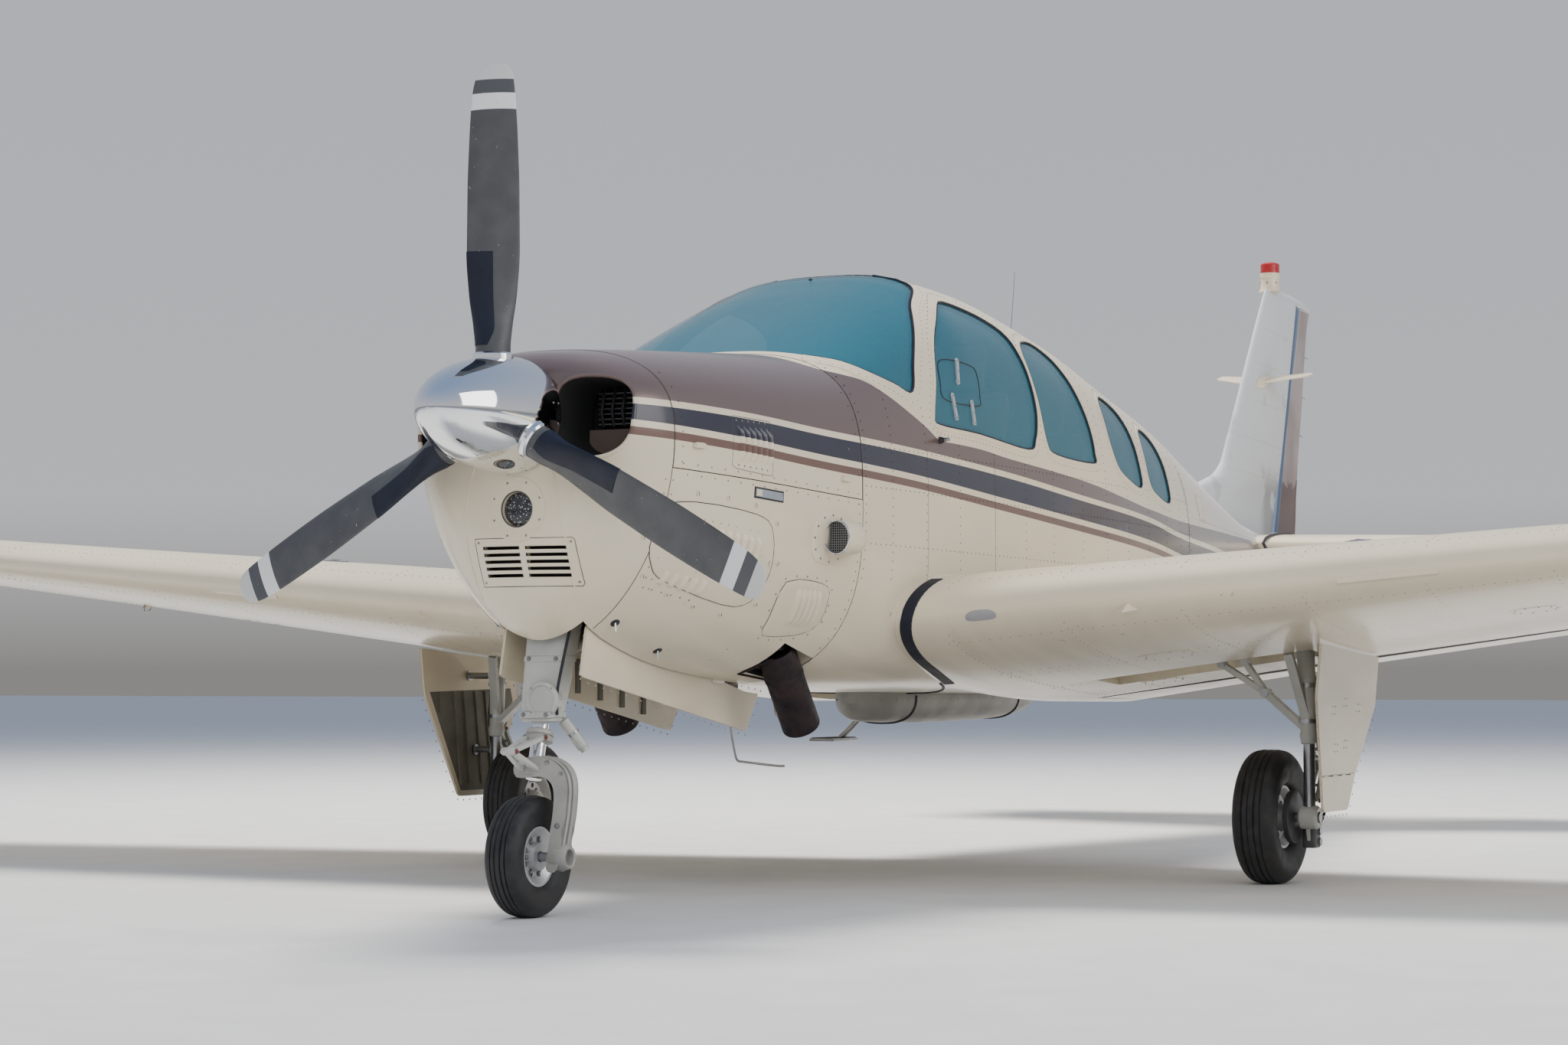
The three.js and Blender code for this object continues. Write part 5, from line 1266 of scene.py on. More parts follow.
def whole_wing(name):
    rows = [WING_ROOT] + [row for row in WING_SECTIONS if row[0] <= TIP_START_Y]
    for y in np.linspace(TIP_START_Y, SEMI_SPAN, 13)[1:]:
        rows.append((y, *row_at(WING_SECTIONS, y)))
    rings = [[(x, y, z + rise) for x, rise in foil_ring(front, chord, thickness, WING_CAMBER, incidence, 88)]
             for y, front, chord, z, thickness, incidence in rows]
    return Piece(name).loft(rings, CREAM_PAINT).make()


def wing_point(y, share, above=0):
    """A point of the wing: 1 is its upper skin, 0 the middle and -1 the lower skin."""
    front, chord, z, thickness, incidence = row_at(WING_SECTIONS, y)
    slope = math.tan(math.radians(incidence))
    rise = foil_rise(share, thickness)
    height = foil_bend(share, WING_CAMBER) - share * slope + above * rise
    return np.array([front - share * chord, y, z + height * chord]), rise * chord


def hinge_point(spec, y):
    point, rise = wing_point(y, spec["share"])
    return point - (0, 0, rise * spec["below"]), rise * (1 - spec["below"])


def behind_hinge(inner, outer, ahead, spare):
    """All that lies behind a hinge line, between end faces square to it."""
    along = (outer - inner) / np.linalg.norm(outer - inner)
    forward = np.cross(along, (0, 0, 1))
    forward /= np.linalg.norm(forward)
    up = np.cross(forward, along)
    first, last = inner - along * spare, outer + along * spare
    corners = [(forward * a + up * b) for a, b in ((ahead, -FAR), (ahead, FAR), (-FAR, FAR), (-FAR, -FAR))]
    return Piece("cutter").loft([[first + c for c in corners], [last + c for c in corners]], BLACK).make()


def wing_set():
    whole = whole_wing("whole_wing")
    body = fuselage_solid("cutter", CABIN_SECTIONS, FIREWALL_X, CABIN_BACK_X, -0.4, 64, BLACK, 128)
    cutters = [body]
    for spec in (FLAP, AILERON):
        inner, inner_radius = hinge_point(spec, spec["inner"])
        outer, outer_radius = hinge_point(spec, spec["outer"])
        along = (outer - inner) / np.linalg.norm(outer - inner)
        cutters.append(rod_cutter(inner - along * CLEARANCE, outer + along * CLEARANCE,
                                  inner_radius + COVE_CLEARANCE, outer_radius + COVE_CLEARANCE, 48))
        cutters.append(behind_hinge(inner, outer, CLEARANCE, CLEARANCE))
        surface = combine(copy_of(whole, f"{spec['name']}_left_skin"), [behind_hinge(inner, outer, 0, 0)],
                          "INTERSECT")
        combine(surface, [rod_cutter(inner, outer, inner_radius, outer_radius, 48)], "UNION")
        node = spec["name"] + "_{}"
        dress_pair(surface, node + "_skin", node, node)
    bay = [(LEG_BAY["inner"], LEG_BAY["low"]), (LEG_BAY["outer"], LEG_BAY["low"]),
           (LEG_BAY["outer"], LEG_BAY["outer_top"]), (LEG_BAY["inner"], LEG_BAY["inner_top"])]
    cutters.append(Piece("cutter").prism(bay, -WHEELBASE - LEG_BAY["half"], -WHEELBASE + LEG_BAY["half"],
                                         BAY_DARK, 0).make())
    combine(whole, cutters)
    dress_pair(whole, "wing_{}_skin", "airframe", "wing_{}")


# Tail
def tailplane_solid(name, grow=0.0, count=56):
    rows = [row for row in TAILPLANE_SECTIONS if row[0] <= 1770]
    for y in np.linspace(1770, TAILPLANE_HALF_SPAN, 8)[1:]:
        rows.append((y, *row_at(TAILPLANE_SECTIONS, y)))
    both = [(*row, -1) for row in rows[:0:-1]] + [(*row, 1) for row in rows]
    rings = []
    for y, front, chord, thickness, side in both:
        section = foil_ring(front + grow, chord + 2 * grow, thickness + 2 * grow / chord, 0, 0, count)
        rings.append([(x, side * y, TAILPLANE_Z + rise) for x, rise in section])
    return Piece(name).loft(rings, CREAM_PAINT).make()


ELEVATOR_INNER_HINGE = 135
ELEVATOR_INNER_TAIL = 310
ELEVATOR_NOSE = 38


def tailplane_and_elevator():
    whole = tailplane_solid("tailplane_skin")
    ends = TAILPLANE_HALF_SPAN + 10
    line = TAILPLANE_HINGE_X

    def hinge(y):
        return line, y, TAILPLANE_Z

    halves = []
    for side in (1, -1):
        outline = [(line + 60, side * ELEVATOR_INNER_HINGE), (line, side * ELEVATOR_INNER_HINGE),
                   (line - 480, side * ELEVATOR_INNER_TAIL), (line - 480, side * ends),
                   (line + 60, side * ends)]
        half = combine(copy_of(whole, "elevator_half"),
                       [block_cutter((line - FAR, -ends, 0), (line, ends, FAR))], "INTERSECT")
        tip_y = side * (TAILPLANE_HALF_SPAN - 90)
        combine(half, [rod_cutter(hinge(side * 130), hinge(tip_y), ELEVATOR_NOSE, ELEVATOR_NOSE * 0.7)],
                "UNION")
        combine(half, [Piece("cutter").prism(outline, 0, FAR, BLACK, 2).make()], "INTERSECT")
        halves.append(half)
    tube = rod_cutter(hinge(-140), hinge(140), 16)
    elevator = combine(halves[0], [halves[1], tube], "UNION")
    elevator.name = "elevator_skin"
    dress(elevator, "elevator", "elevator")
    combine(whole, [rod_cutter(hinge(-ends), hinge(ends), ELEVATOR_NOSE + CLEARANCE),
                    block_cutter((line - FAR, -ends, 0), (line + CLEARANCE, ends, FAR))])
    dress(whole, "airframe", "tailplane")


def rudder_line(z):
    (x0, z0), (x1, z1) = RUDDER_HINGE_LOW, RUDDER_HINGE_HIGH
    return x0 + (x1 - x0) * (z - z0) / (z1 - z0)


def behind_rudder(shift, low, high):
    return side_cutter([(rudder_line(low) + shift, low), (rudder_line(high) + shift, high), (-FAR * 2, high),
                        (-FAR * 2, low)], -FAR, FAR)


def fin_and_rudder():
    heights = np.unique(np.concatenate([[row[0] for row in FIN_SECTIONS], np.arange(1300, 1780, 30),
                                        [1840, 2020, 2120, 2210, 2380, 2470, 2520]]))
    rings = []
    for z in heights:
        front, back, half = row_at(FIN_SECTIONS, z)
        chord = front - back
        rings.append([(x, out, z) for x, out in foil_ring(front, chord, 2 * half / chord, 0, 0, 56)])
    fin = Piece("fin_skin").loft(rings, FIN_PAINT).make()
    rudder = combine(copy_of(fin, "rudder_skin"), [behind_rudder(0, RUDDER_BOTTOM_Z, RUDDER_TOP_Z)],
                     "INTERSECT")
    nose = rod_cutter((rudder_line(RUDDER_BOTTOM_Z - 20), 0, RUDDER_BOTTOM_Z - 20),
                      (rudder_line(RUDDER_TOP_Z + 20), 0, RUDDER_TOP_Z + 20), 36, 24)
    combine(nose, [block_cutter((-FAR * 2, -FAR, RUDDER_BOTTOM_Z), (0, FAR, RUDDER_TOP_Z))], "INTERSECT")
    combine(rudder, [nose], "UNION")
    rudder.data.materials.clear()
    rudder.data.materials.append(RUDDER_PAINT)
    dress(rudder, "rudder", "rudder")
    top = RUDDER_TOP_Z + CLEARANCE
    combine(fin, [rod_cutter((rudder_line(1200), 0, 1200), (rudder_line(top), 0, top), 36 + CLEARANCE,
                             24 + CLEARANCE),
                  behind_rudder(CLEARANCE, 1200, top), tailplane_solid("cutter", 0.4),
                  fuselage_solid("cutter", CABIN_SECTIONS, CABIN_BACK_X, TAIL_END_X, -2, 110, BLACK, 96)])
    dress(fin, "airframe", "fin")


# Propeller
# Blade sections: radius, chord, thickness, blade angle, how far the section sits back
BLADE_SECTIONS = [
    (SHANK_START, 104, 104, 0, 0), (190, 102, 100, 10, 0), (250, 112, 72, 38, 0), (340, 136, 40, 33, 0),
    (480, 154, 26, 26, 0), (640, 154, 19, 20, 0), (800, 146, 14, 16, 0), (920, 132, 11, 14, 0),
    (990, 108, 8, 13, 4), (PROP_RADIUS, 56, 5, 12, 10),
]


def blade_ring(radius, grow=0.0, count=40):
    chord, thickness, angle, lag = row_at(BLADE_SECTIONS, radius)
    pitch = math.radians(90 - angle)
    ring = []
    for turn in around(count):
        across = math.cos(turn) * (chord / 2 + grow) - lag
        thick = math.sin(turn) * (thickness / 2 + grow)
        ring.append((across * math.cos(pitch) + thick * math.sin(pitch),
                     thick * math.cos(pitch) - across * math.sin(pitch), radius))
    return np.array(ring)


def about_hub(points, index):
    """Turns points from the upright blade to a blade's own place."""
    angle = -index / BLADE_COUNT * 2 * math.pi
    x, y, z = np.asarray(points, float).T
    return np.stack([x + PROP_X, y * math.cos(angle) - z * math.sin(angle),
                     y * math.sin(angle) + z * math.cos(angle) + HUB_Z], 1)


def blades():
    radii = np.concatenate([np.linspace(SHANK_START, 950, 40), [970, 985, 998, 1008, 1013, PROP_RADIUS]])
    for index in range(BLADE_COUNT):
        blade = Piece(f"blade_{index + 1}_form")
        blade.loft([about_hub(blade_ring(radius), index) for radius in radii], BLADE)
        boot = []
        for radius in np.linspace(196, 470, 16):
            ring = blade_ring(radius, 1.6)
            half = [ring[i] for i in range(-10, 11)]
            centre = blade_ring(radius).mean(0)
            boot.append(half + [centre + (half[-1] - centre) * 0.9, centre + (half[0] - centre) * 0.9])
        blade.loft([about_hub(ring, index) for ring in boot], NAVY_RUBBER)
        blade.make("propeller", "blade_paint", f"propeller_blade_{index + 1}", sharp=50)


SPINNER_CURVE = 1.9
SPINNER_SCREWS = 18


def spinner():
    length = SPINNER_TIP_X - SPINNER_BACK_X
    profile = [(0, 0.5), (0, SPINNER_RADIUS - 2), (0.012, SPINNER_RADIUS)]
    for share in np.concatenate([np.linspace(0.05, 0.9, 30), [0.93, 0.96, 0.98, 0.99, 0.996]]):
        profile.append((share, SPINNER_RADIUS * math.sqrt(1 - share**SPINNER_CURVE)))
    profile.append((1, 0.5))
    cone = Piece("spinner_form").turned(profile, (SPINNER_BACK_X, 0, HUB_Z), (SPINNER_TIP_X, 0, HUB_Z),
                                        CHROME, 72).make()
    cutters = []
    for index in range(BLADE_COUNT):
        start, end = about_hub([(0, 0, SHANK_START - 1), (0, 0, 400)], index)
        cutters.append(rod_cutter(start, end, SHANK_RADIUS + 6, sides=48))
    combine(cone, cutters)
    dress(cone, "propeller", "spinner")
    trim = Piece("spinner_trim")
    for index in range(BLADE_COUNT):
        start, end = about_hub([(0, 0, 150), (0, 0, 176)], index)
        trim.turned([(0, SHANK_RADIUS + 2), (0.2, SHANK_RADIUS + 8), (0.8, SHANK_RADIUS + 8),
                     (1, SHANK_RADIUS + 2)],
                    start, end, CHROME, 40)
    for i, angle in enumerate(around(SPINNER_SCREWS, 0.5)):
        c, s = math.cos(angle), math.sin(angle)
        places = (SPINNER_BACK_X + 14, SPINNER_BACK_X + 40) if i % 6 == 0 else (SPINNER_BACK_X + 14,)
        for x in places:
            radius = SPINNER_RADIUS * math.sqrt(1 - ((x - SPINNER_BACK_X) / length) ** SPINNER_CURVE)
            low, high = radius - 3, radius + 1.2
            trim.rod((x, c * low, HUB_Z + s * low), (x, c * high, HUB_Z + s * high), 4.2, FASTENER, 3.2, 12)
    trim.make("propeller", "polished_metal", bevel=0.6)


# Wheels
NOSE_WHEEL = {"name": "nose", "radius": 178, "width": 114, "rim": 88, "bore": 16, "centre": (0, 0, 178),
              "body": "nose_wheel"}
MAIN_WHEELS = [{"name": f"main_{side}", "radius": 225, "width": 148, "rim": 105, "bore": 18,
                "centre": (-WHEELBASE, HALF_TRACK * sign, 225), "body": f"main_wheel_{side}"}
               for side, sign in (("left", 1), ("right", -1))]
WHEEL_NODES = {"nose": ("nose_tyre", "nose_rim"), "main_left": ("main_tyre_left", "main_rim_left"),
               "main_right": ("main_tyre_right", "main_rim_right")}
WHEEL_SIDES = 96


def ring_about_y(profile, centre, sides):
    """A closed ring; the profile is a loop of radius and y."""
    rings = []
    for angle in np.arange(sides + 1) / sides * 2 * math.pi:
        rings.append([(centre[0] + radius * math.cos(angle), centre[1] + y,
                       centre[2] + radius * math.sin(angle))
                      for radius, y in profile])
    points, faces = loft(rings[:-1], caps=False)
    count = len(profile)
    last = (sides - 1) * count
    closing = [(last + i, last + (i + 1) % count, (i + 1) % count, i) for i in range(count)]
    flip = faces[0] != (0, 1, count + 1, count)
    return points, faces + [face[::-1] if flip else face for face in closing]


def tyre_profile(wheel):
    """The tyre's outline from one bead over the tread to the other, as radius and y."""
    half = wheel["width"] / 2
    radius, rim = wheel["radius"], wheel["rim"]
    flank = [(rim + 1, 0.6), (rim + 18, 0.84), (radius * 0.78, 1), (radius * 0.89, 0.93),
             (radius * 0.97, 0.7), (radius, 0.36)]
    side = rounded(flank, closed=False, pieces=6)
    side[:, 0] = np.minimum(side[:, 0], radius)
    side[:, 1] = np.minimum(side[:, 1], 1)
    return [(r, -share * half) for r, share in side] + [(r, share * half) for r, share in side[::-1]]


def wheel_set(wheel):
    tyre_node, rim_node = WHEEL_NODES[wheel["name"]]
    centre = wheel["centre"]
    half = wheel["width"] / 2
    tyre = Piece(f"{tyre_node}_form")
    profile = []
    grooves = (-0.42, -0.16, 0.16, 0.42)
    coarse = np.array(tyre_profile(wheel))
    length = np.concatenate([[0], np.cumsum(np.hypot(*np.diff(coarse, axis=0).T))])
    for place in np.linspace(0, length[-1], 120):
        r, y = np.interp(place, length, coarse[:, 0]), np.interp(place, length, coarse[:, 1])
        if r > wheel["radius"] * 0.93:
            depth = max(0, 1 - min(abs(y / half - g) for g in grooves) / 0.035)
            r -= 5 * min(1, depth * 2)
        profile.append((r, y))
    tyre.add(*ring_about_y(profile, centre, WHEEL_SIDES), TYRE)
    tyre.make(wheel["body"], "tyre_rubber", tyre_node, sharp=40)
    edge, bore = wheel["rim"], wheel["bore"]
    rim_profile = [(bore, -half * 0.7), (bore + 24, -half * 0.7), (bore + 28, -half * 0.34),
                   (edge - 30, -half * 0.34), (edge - 18, -half * 0.5), (edge - 8, -half * 0.62),
                   (edge, -half * 0.62), (edge, half * 0.62), (edge - 8, half * 0.62),
                   (edge - 18, half * 0.5), (edge - 30, half * 0.34), (bore + 28, half * 0.34),
                   (bore + 24, half * 0.7), (bore, half * 0.7)]
    rim = Piece(f"{rim_node}_form").add(*ring_about_y(rim_profile, centre, WHEEL_SIDES), ALLOY).make()
    holes = 8 if wheel["name"] == "nose" else 6
    middle = (bore + 28 + edge - 26) / 2
    cutters = []
    for angle in around(holes, 0.5):
        x, z = centre[0] + math.cos(angle) * middle, centre[2] + math.sin(angle) * middle
        cutters.append(rod_cutter((x, centre[1] - half, z), (x, centre[1] + half, z), 10, sides=20))
    combine(rim, cutters)
    dress(rim, wheel["body"], rim_node)


# Nose bowl's fittings
def inlet_fittings():
    lips = Piece("inlet_lips")
    for side in (1, -1):
        line = [nose_place(y, z, -4)[0] for y, z in inlet_outline(side, 3, 64)]
        lips.tube(line + line[:2], 7, LIVERY, 10)
    lips.make("airframe", "taupe_paint")
    # The inlet ducts and the plate behind each inlet are near black: partly real dark baffles, partly painted
    # shade inside the inlets.
    duct = Piece("inlet_ducts")
    for side in (1, -1):
        rows = []
        for share in (0, 0.25, 0.5, 0.75, 1):
            row = []
            for y, z in inlet_outline(side, 1 - 22 * share, 48):
                front = nose_place(y, z, 0)[0][0]
                row.append((min(front - 3, 90) * (1 - share) - 96 * share, y, z))
            rows.append(row)
        duct.loft(rows, BAFFLE_AND_SHADE_DARK, caps=False)
    duct.make("airframe", "dark_trim")
    engine_front = Piece("engine_front")
    plate = [(x, y) for x, y in inlet_outline(1, 30, 32)]
    for side in (1, -1):
        engine_front.prism([(side * y, z) for y, z in plate], -122, -108, BAFFLE_AND_SHADE_DARK, 0)
        low = [(side * 168, 1350), (side * 168, 1425), (side * 352, 1425), (side * 352, 1350)]
        engine_front.prism(low, -116, -62, BAFFLE_BROWN, 0)
        for fin in range(7):
            z = 1440 + fin * 15
            engine_front.block((-110, min(side * 190, side * 320), z),
                               (-76, max(side * 190, side * 320), z + 4), CASTING)
        for y in (205, 240, 275):
            engine_front.tube([(-96, side * y, 1560), (-70, side * (y + 6), 1520),
                               (-64, side * (y + 2), 1480), (-80, side * y, 1436)], 5, BLACK, 8)
    engine_front.make("airframe", "engine_casting")


def nose_light():
    plate = Piece("nose_light_plate")
    angles = around(48)
    outer = [(LIGHT_Y + math.cos(a) * LIGHT_PLATE, LIGHT_Z + math.sin(a) * LIGHT_PLATE) for a in angles]
    inner = [(LIGHT_Y + math.cos(a) * (LIGHT_RADIUS + 2), LIGHT_Z + math.sin(a) * (LIGHT_RADIUS + 2))
             for a in angles]
    rows = [[nose_place(y, z, lift)[0] for y, z in ring]
            for ring, lift in ((outer, -3), (outer, 1.6), (inner, 1.6), (inner, -6))]
    plate.loft(rows, CREAM_PAINT, caps=False)
    ring = [nose_place(y, z, 0)[0] for y, z in inner]
    plate.tube(ring + ring[:2], 2.6, SEAM_DARK, 8)
    screws = []
    for angle in around(8, 0.5):
        radius = LIGHT_PLATE - 12
        screws.append(nose_place(LIGHT_Y + math.cos(angle) * radius, LIGHT_Z + math.sin(angle) * radius, 1.5))
    plate.domes(screws, 4.2, 1.6, FASTENER, 12)
    plate.make("airframe", "ivory_paint")
    lens_piece = Piece("nose_light_lens")
    centre = nose_place(LIGHT_Y, LIGHT_Z)[0]
    rows = []
    for share, sink in ((1, 14), (1, 6), (0.85, 2.5), (0.6, 0), (0.3, -1.6), (0.04, -2)):
        rows.append([(centre[0] - sink - 6, LIGHT_Y + math.cos(a) * (LIGHT_RADIUS - 1) * share,
                      LIGHT_Z + math.sin(a) * (LIGHT_RADIUS - 1) * share) for a in angles])
    lens_piece.loft(rows, SPECKLED_LENS)
    lens_piece.make("airframe", "polished_metal")


GRILLE_PLATE = {"y0": -134, "y1": 194, "low": 966, "high": 1106}


def grille_fittings():
    frame_piece = Piece("grille_plate")
    y0, y1, low, high = (GRILLE_PLATE[key] for key in ("y0", "y1", "low", "high"))
    outline = [(y0, low), (y1, low), (y1, high), (y0, high)]
    seam_line(frame_piece, outline, nose_place, 1.5, closed=True, pitch=14)
    screws = [nose_place(y0 + 12 if y < 0 else y1 - 12, z) for y in (-1, 1) for z in (low + 12, high - 12)]
    frame_piece.domes(screws, 4.4, 1.8, FASTENER, 12)
    for row in range(GRILLE_ROWS):
        z = GRILLE_TOP - row * GRILLE_PITCH - GRILLE_PITCH / 4
        for first, last in GRILLE_HALVES:
            for y in (first, last):
                frame_piece.domes([nose_place(y, z, -2.5)], GRILLE_PITCH / 4 + 0.8, 1.5, BLACK, 12)
    frame_piece.make("airframe", "ivory_paint")
    shade = Piece("grille_shade")
    rows = [[nose_place(y, z, -34)[0] for y in np.linspace(y0 + 14, y1 - 14, 9)]
            for z in (low + 6, GRILLE_TOP - 50, high + 4)]
    shade.loft([row + [point - (5, 0, 0) for point in row[::-1]] for row in rows], BAFFLE_AND_SHADE_DARK)
    shade.make("airframe", "dark_trim")


def bowl_seams():
    seams = Piece("bowl_seams")
    ring = fuselage_ring(COWL_SECTIONS, BOWL_BACK_X - 0.5, 0.6, 96)
    open_ring = [p for p in ring if not (abs(p[1]) < NOSE_BAY_HALF + 6 and p[2] < NOSE_BAY_TOP)]
    start = next(i for i, p in enumerate(open_ring) if np.linalg.norm(p - open_ring[i - 1]) > 120)
    seams.tube(open_ring[start:] + open_ring[:start], 1.8, SEAM_DARK, 6)
    for side in (1, -1):
        path = ((128, 1320), (150, 1250), (163, 1160), (170, 1080), (168, 1000), (160, 930))
        line = [nose_place(side * y, z, 0.5)[0] for y, z in path]
        seams.tube(line, 3.2, LIVERY, 8)
        for x, top in ((BOWL_BACK_X + 14, 1310), (BOWL_BACK_X - 16, 1290)):
            row = [to_skin((x, side * 400, z), 0) for z in np.arange(900, top, 42)]
            seams.domes(row, *BOWL_RIVET)
    seams.make("airframe", "ivory_paint")


# Cowl's fittings
DOOR_LOUVRES = {"first": (-392, 1449, 1347), "last": (-532, 1447, 1337), "count": 6, "width": 21, "rise": 12}
ACCESS_PANEL = [(-95, 1111), (-131, 1212), (-487, 1187), (-577, 1126), (-602, 987), (-525, 912), (-213, 980),
                (-127, 1034)]
PANEL_LOUVRES = {"first": (-276, 1148, 1072), "last": (-512, 1120, 1040), "count": 8, "width": 22, "rise": 12}
LOW_LOUVRES = {"first": (-196, 1012, 974), "last": (-350, 990, 945), "count": 5, "width": 21, "rise": 9}
REAR_PLATE = [(-696, 990), (-892, 985), (-930, 930), (-922, 842), (-735, 826), (-700, 870)]
REAR_LOUVRES = {"first": (-765, 970, 856), "last": (-868, 966, 851), "count": 5, "width": 23, "rise": 13}
BLANK_PLATE = {"front": (-460, 1254), "back": (-606, 1244), "half": 17}
LATCHES = [(-204, 1380), (-951, 1316)]
DRAIN_PORTS = [(-150, 860), (-400, 779)]
SCOOP = {"x": -845, "z": 1130, "half": 40, "high": 52, "back": -1010, "out": 78}


def louvre_row(piece, spec, material, slant=0):
    (x0, top0, low0), (x1, top1, low1) = spec["first"], spec["last"]
    for share in np.linspace(0, 1, spec["count"]):
        x = x0 + (x1 - x0) * share
        top, low = top0 + (top1 - top0) * share, low0 + (low1 - low0) * share
        louvre(piece, (x - slant, low), (x, top), spec["width"], spec["rise"], material)
        for end, shift in ((top, 16), (low, -16)):
            piece.domes([left_side(x + spec["width"] / 2 - (slant if shift < 0 else 0), end + shift)], 3.4,
                        1.3, FASTENER, 8)


def cowl_door_fittings():
    door = Piece("cowl_door_fittings")
    louvre_row(door, DOOR_LOUVRES, LIVERY)
    frame_line_points = [(-366, 1478), (-350, 1322), (-548, 1304), (-560, 1470)]
    seam_line(door, frame_line_points, left_side, 1.2, closed=True, pitch=30)
    for x, z in LATCHES:
        point, normal = left_side(x, z)
        along, up = square_axes(normal, (1, 0, 0))
        door.bar(point - along * 26, point + along * 26, 12, 12, up, CREAM_PAINT)
        door.bar(point - along * 16 + normal * 5, point + along * 22 + normal * 8, 16, 5, up, CREAM_PAINT)
    for z in np.arange(1330, 1600, 44):
        door.domes([left_side(BOWL_BACK_X - 34, z), left_side(FIREWALL_X + 24, z)], 3, 1.1, SHADED_RIVET, 8)
    rivets(door, [(BOWL_BACK_X - 40, cowl_edge_z(-140) + 16), (FIREWALL_X + 26, cowl_edge_z(-1020) + 16)],
           left_side, 58)
    both_sides(door, "cowl_door_left", "cowl_door_right")


def blank_plate(piece):
    """The small bare plate below the cowl door's edge, with a dark rim and a cream square near its front end.
    """
    (x0, z0), (x1, z1) = BLANK_PLATE["front"], BLANK_PLATE["back"]
    half = BLANK_PLATE["half"]
    outline = [(x0, z0 + half), (x1, z1 + half), (x1, z1 - half), (x0, z0 - half)]
    laid(piece, outline, left_side, 2.6, BLACK, 1.5, 3)
    inset = [(x0 - 5, z0 + half - 5), (x1 + 5, z1 + half - 5), (x1 + 5, z1 - half + 5),
             (x0 - 5, z0 - half + 5)]
    laid(piece, inset, left_side, 3.8, PLATE_BLUE, 1.5, 3)
    square = [(x0 - 7, z0 + half - 7), (x0 - 34, z0 + half - 9), (x0 - 34, z0 - half + 5),
              (x0 - 7, z0 - half + 7)]
    laid(piece, square, left_side, 4.6, CREAM_PAINT, 1.5, 3)


def scoop(piece):
    """The round air scoop on the cowl's side: a riveted base, an open mouth with a mesh, and a domed tail."""
    x, z = SCOOP["x"], SCOOP["z"]
    angles = around(40)
    base = [(x - 32 + bulged(math.cos(a), 0.75) * 104, z - 2 + bulged(math.sin(a), 0.75) * 82)
            for a in angles]
    laid(piece, base, left_side, 2.4, CREAM_PAINT, 3, 4)
    piece.domes([left_side(x - 32 + math.cos(a) * 92, z - 2 + math.sin(a) * 72, 2.2)
                 for a in around(12)], 4.2, 1.8, FASTENER, 10)
    origin, _ = left_side(x, z)
    root, _ = left_side(SCOOP["back"], z)
    centre_out = origin + np.array([0, SCOOP["out"] - SCOOP["half"], 0])
    rows = []
    for share, size, sink in ((0, 1.0, 0), (0.03, 1.04, 0), (0.25, 1.05, 0), (0.5, 1.03, 4), (0.7, 0.96, 10),
                              (0.85, 0.82, 17), (0.95, 0.6, 26), (1, 0.3, 34)):
        at_x = origin[0] + (root[0] - origin[0]) * share
        side_y = left_side(at_x, z)[0][1]
        mid_y = side_y + SCOOP["out"] - SCOOP["half"] - sink
        rows.append([(at_x, mid_y + math.cos(a) * (SCOOP["half"] + 4) * size,
                      z + math.sin(a) * SCOOP["high"] * size) for a in angles])
    piece.loft(rows, CREAM_PAINT, caps=False)
    lip = [np.array(p) for p in rows[0]]
    piece.tube(lip + lip[:2], 3.4, PISTON, 8)
    mesh_x = origin[0] - 12
    # A black disc just behind the mesh: painted shade inside the mouth.
    back = [(mesh_x - 8, p[1], p[2]) for p in rows[0]]
    piece.loft([back, [(mesh_x - 12, p[1], p[2]) for p in rows[0]]], BLACK)
    y_mid, half, high = centre_out[1], SCOOP["half"] + 2, SCOOP["high"] - 2
    for offset in np.arange(-half + 6, half, 7.5):
        reach = high * math.sqrt(max(1 - (offset / half) ** 2, 0))
        piece.rod((mesh_x, y_mid + offset, z - reach), (mesh_x, y_mid + offset, z + reach), 1.0, STEEL,
                  sides=6)
    for offset in np.arange(-high + 6, high, 7.5):
        reach = half * math.sqrt(max(1 - (offset / high) ** 2, 0))
        piece.rod((mesh_x, y_mid - reach, z + offset), (mesh_x, y_mid + reach, z + offset), 1.0, STEEL,
                  sides=6)


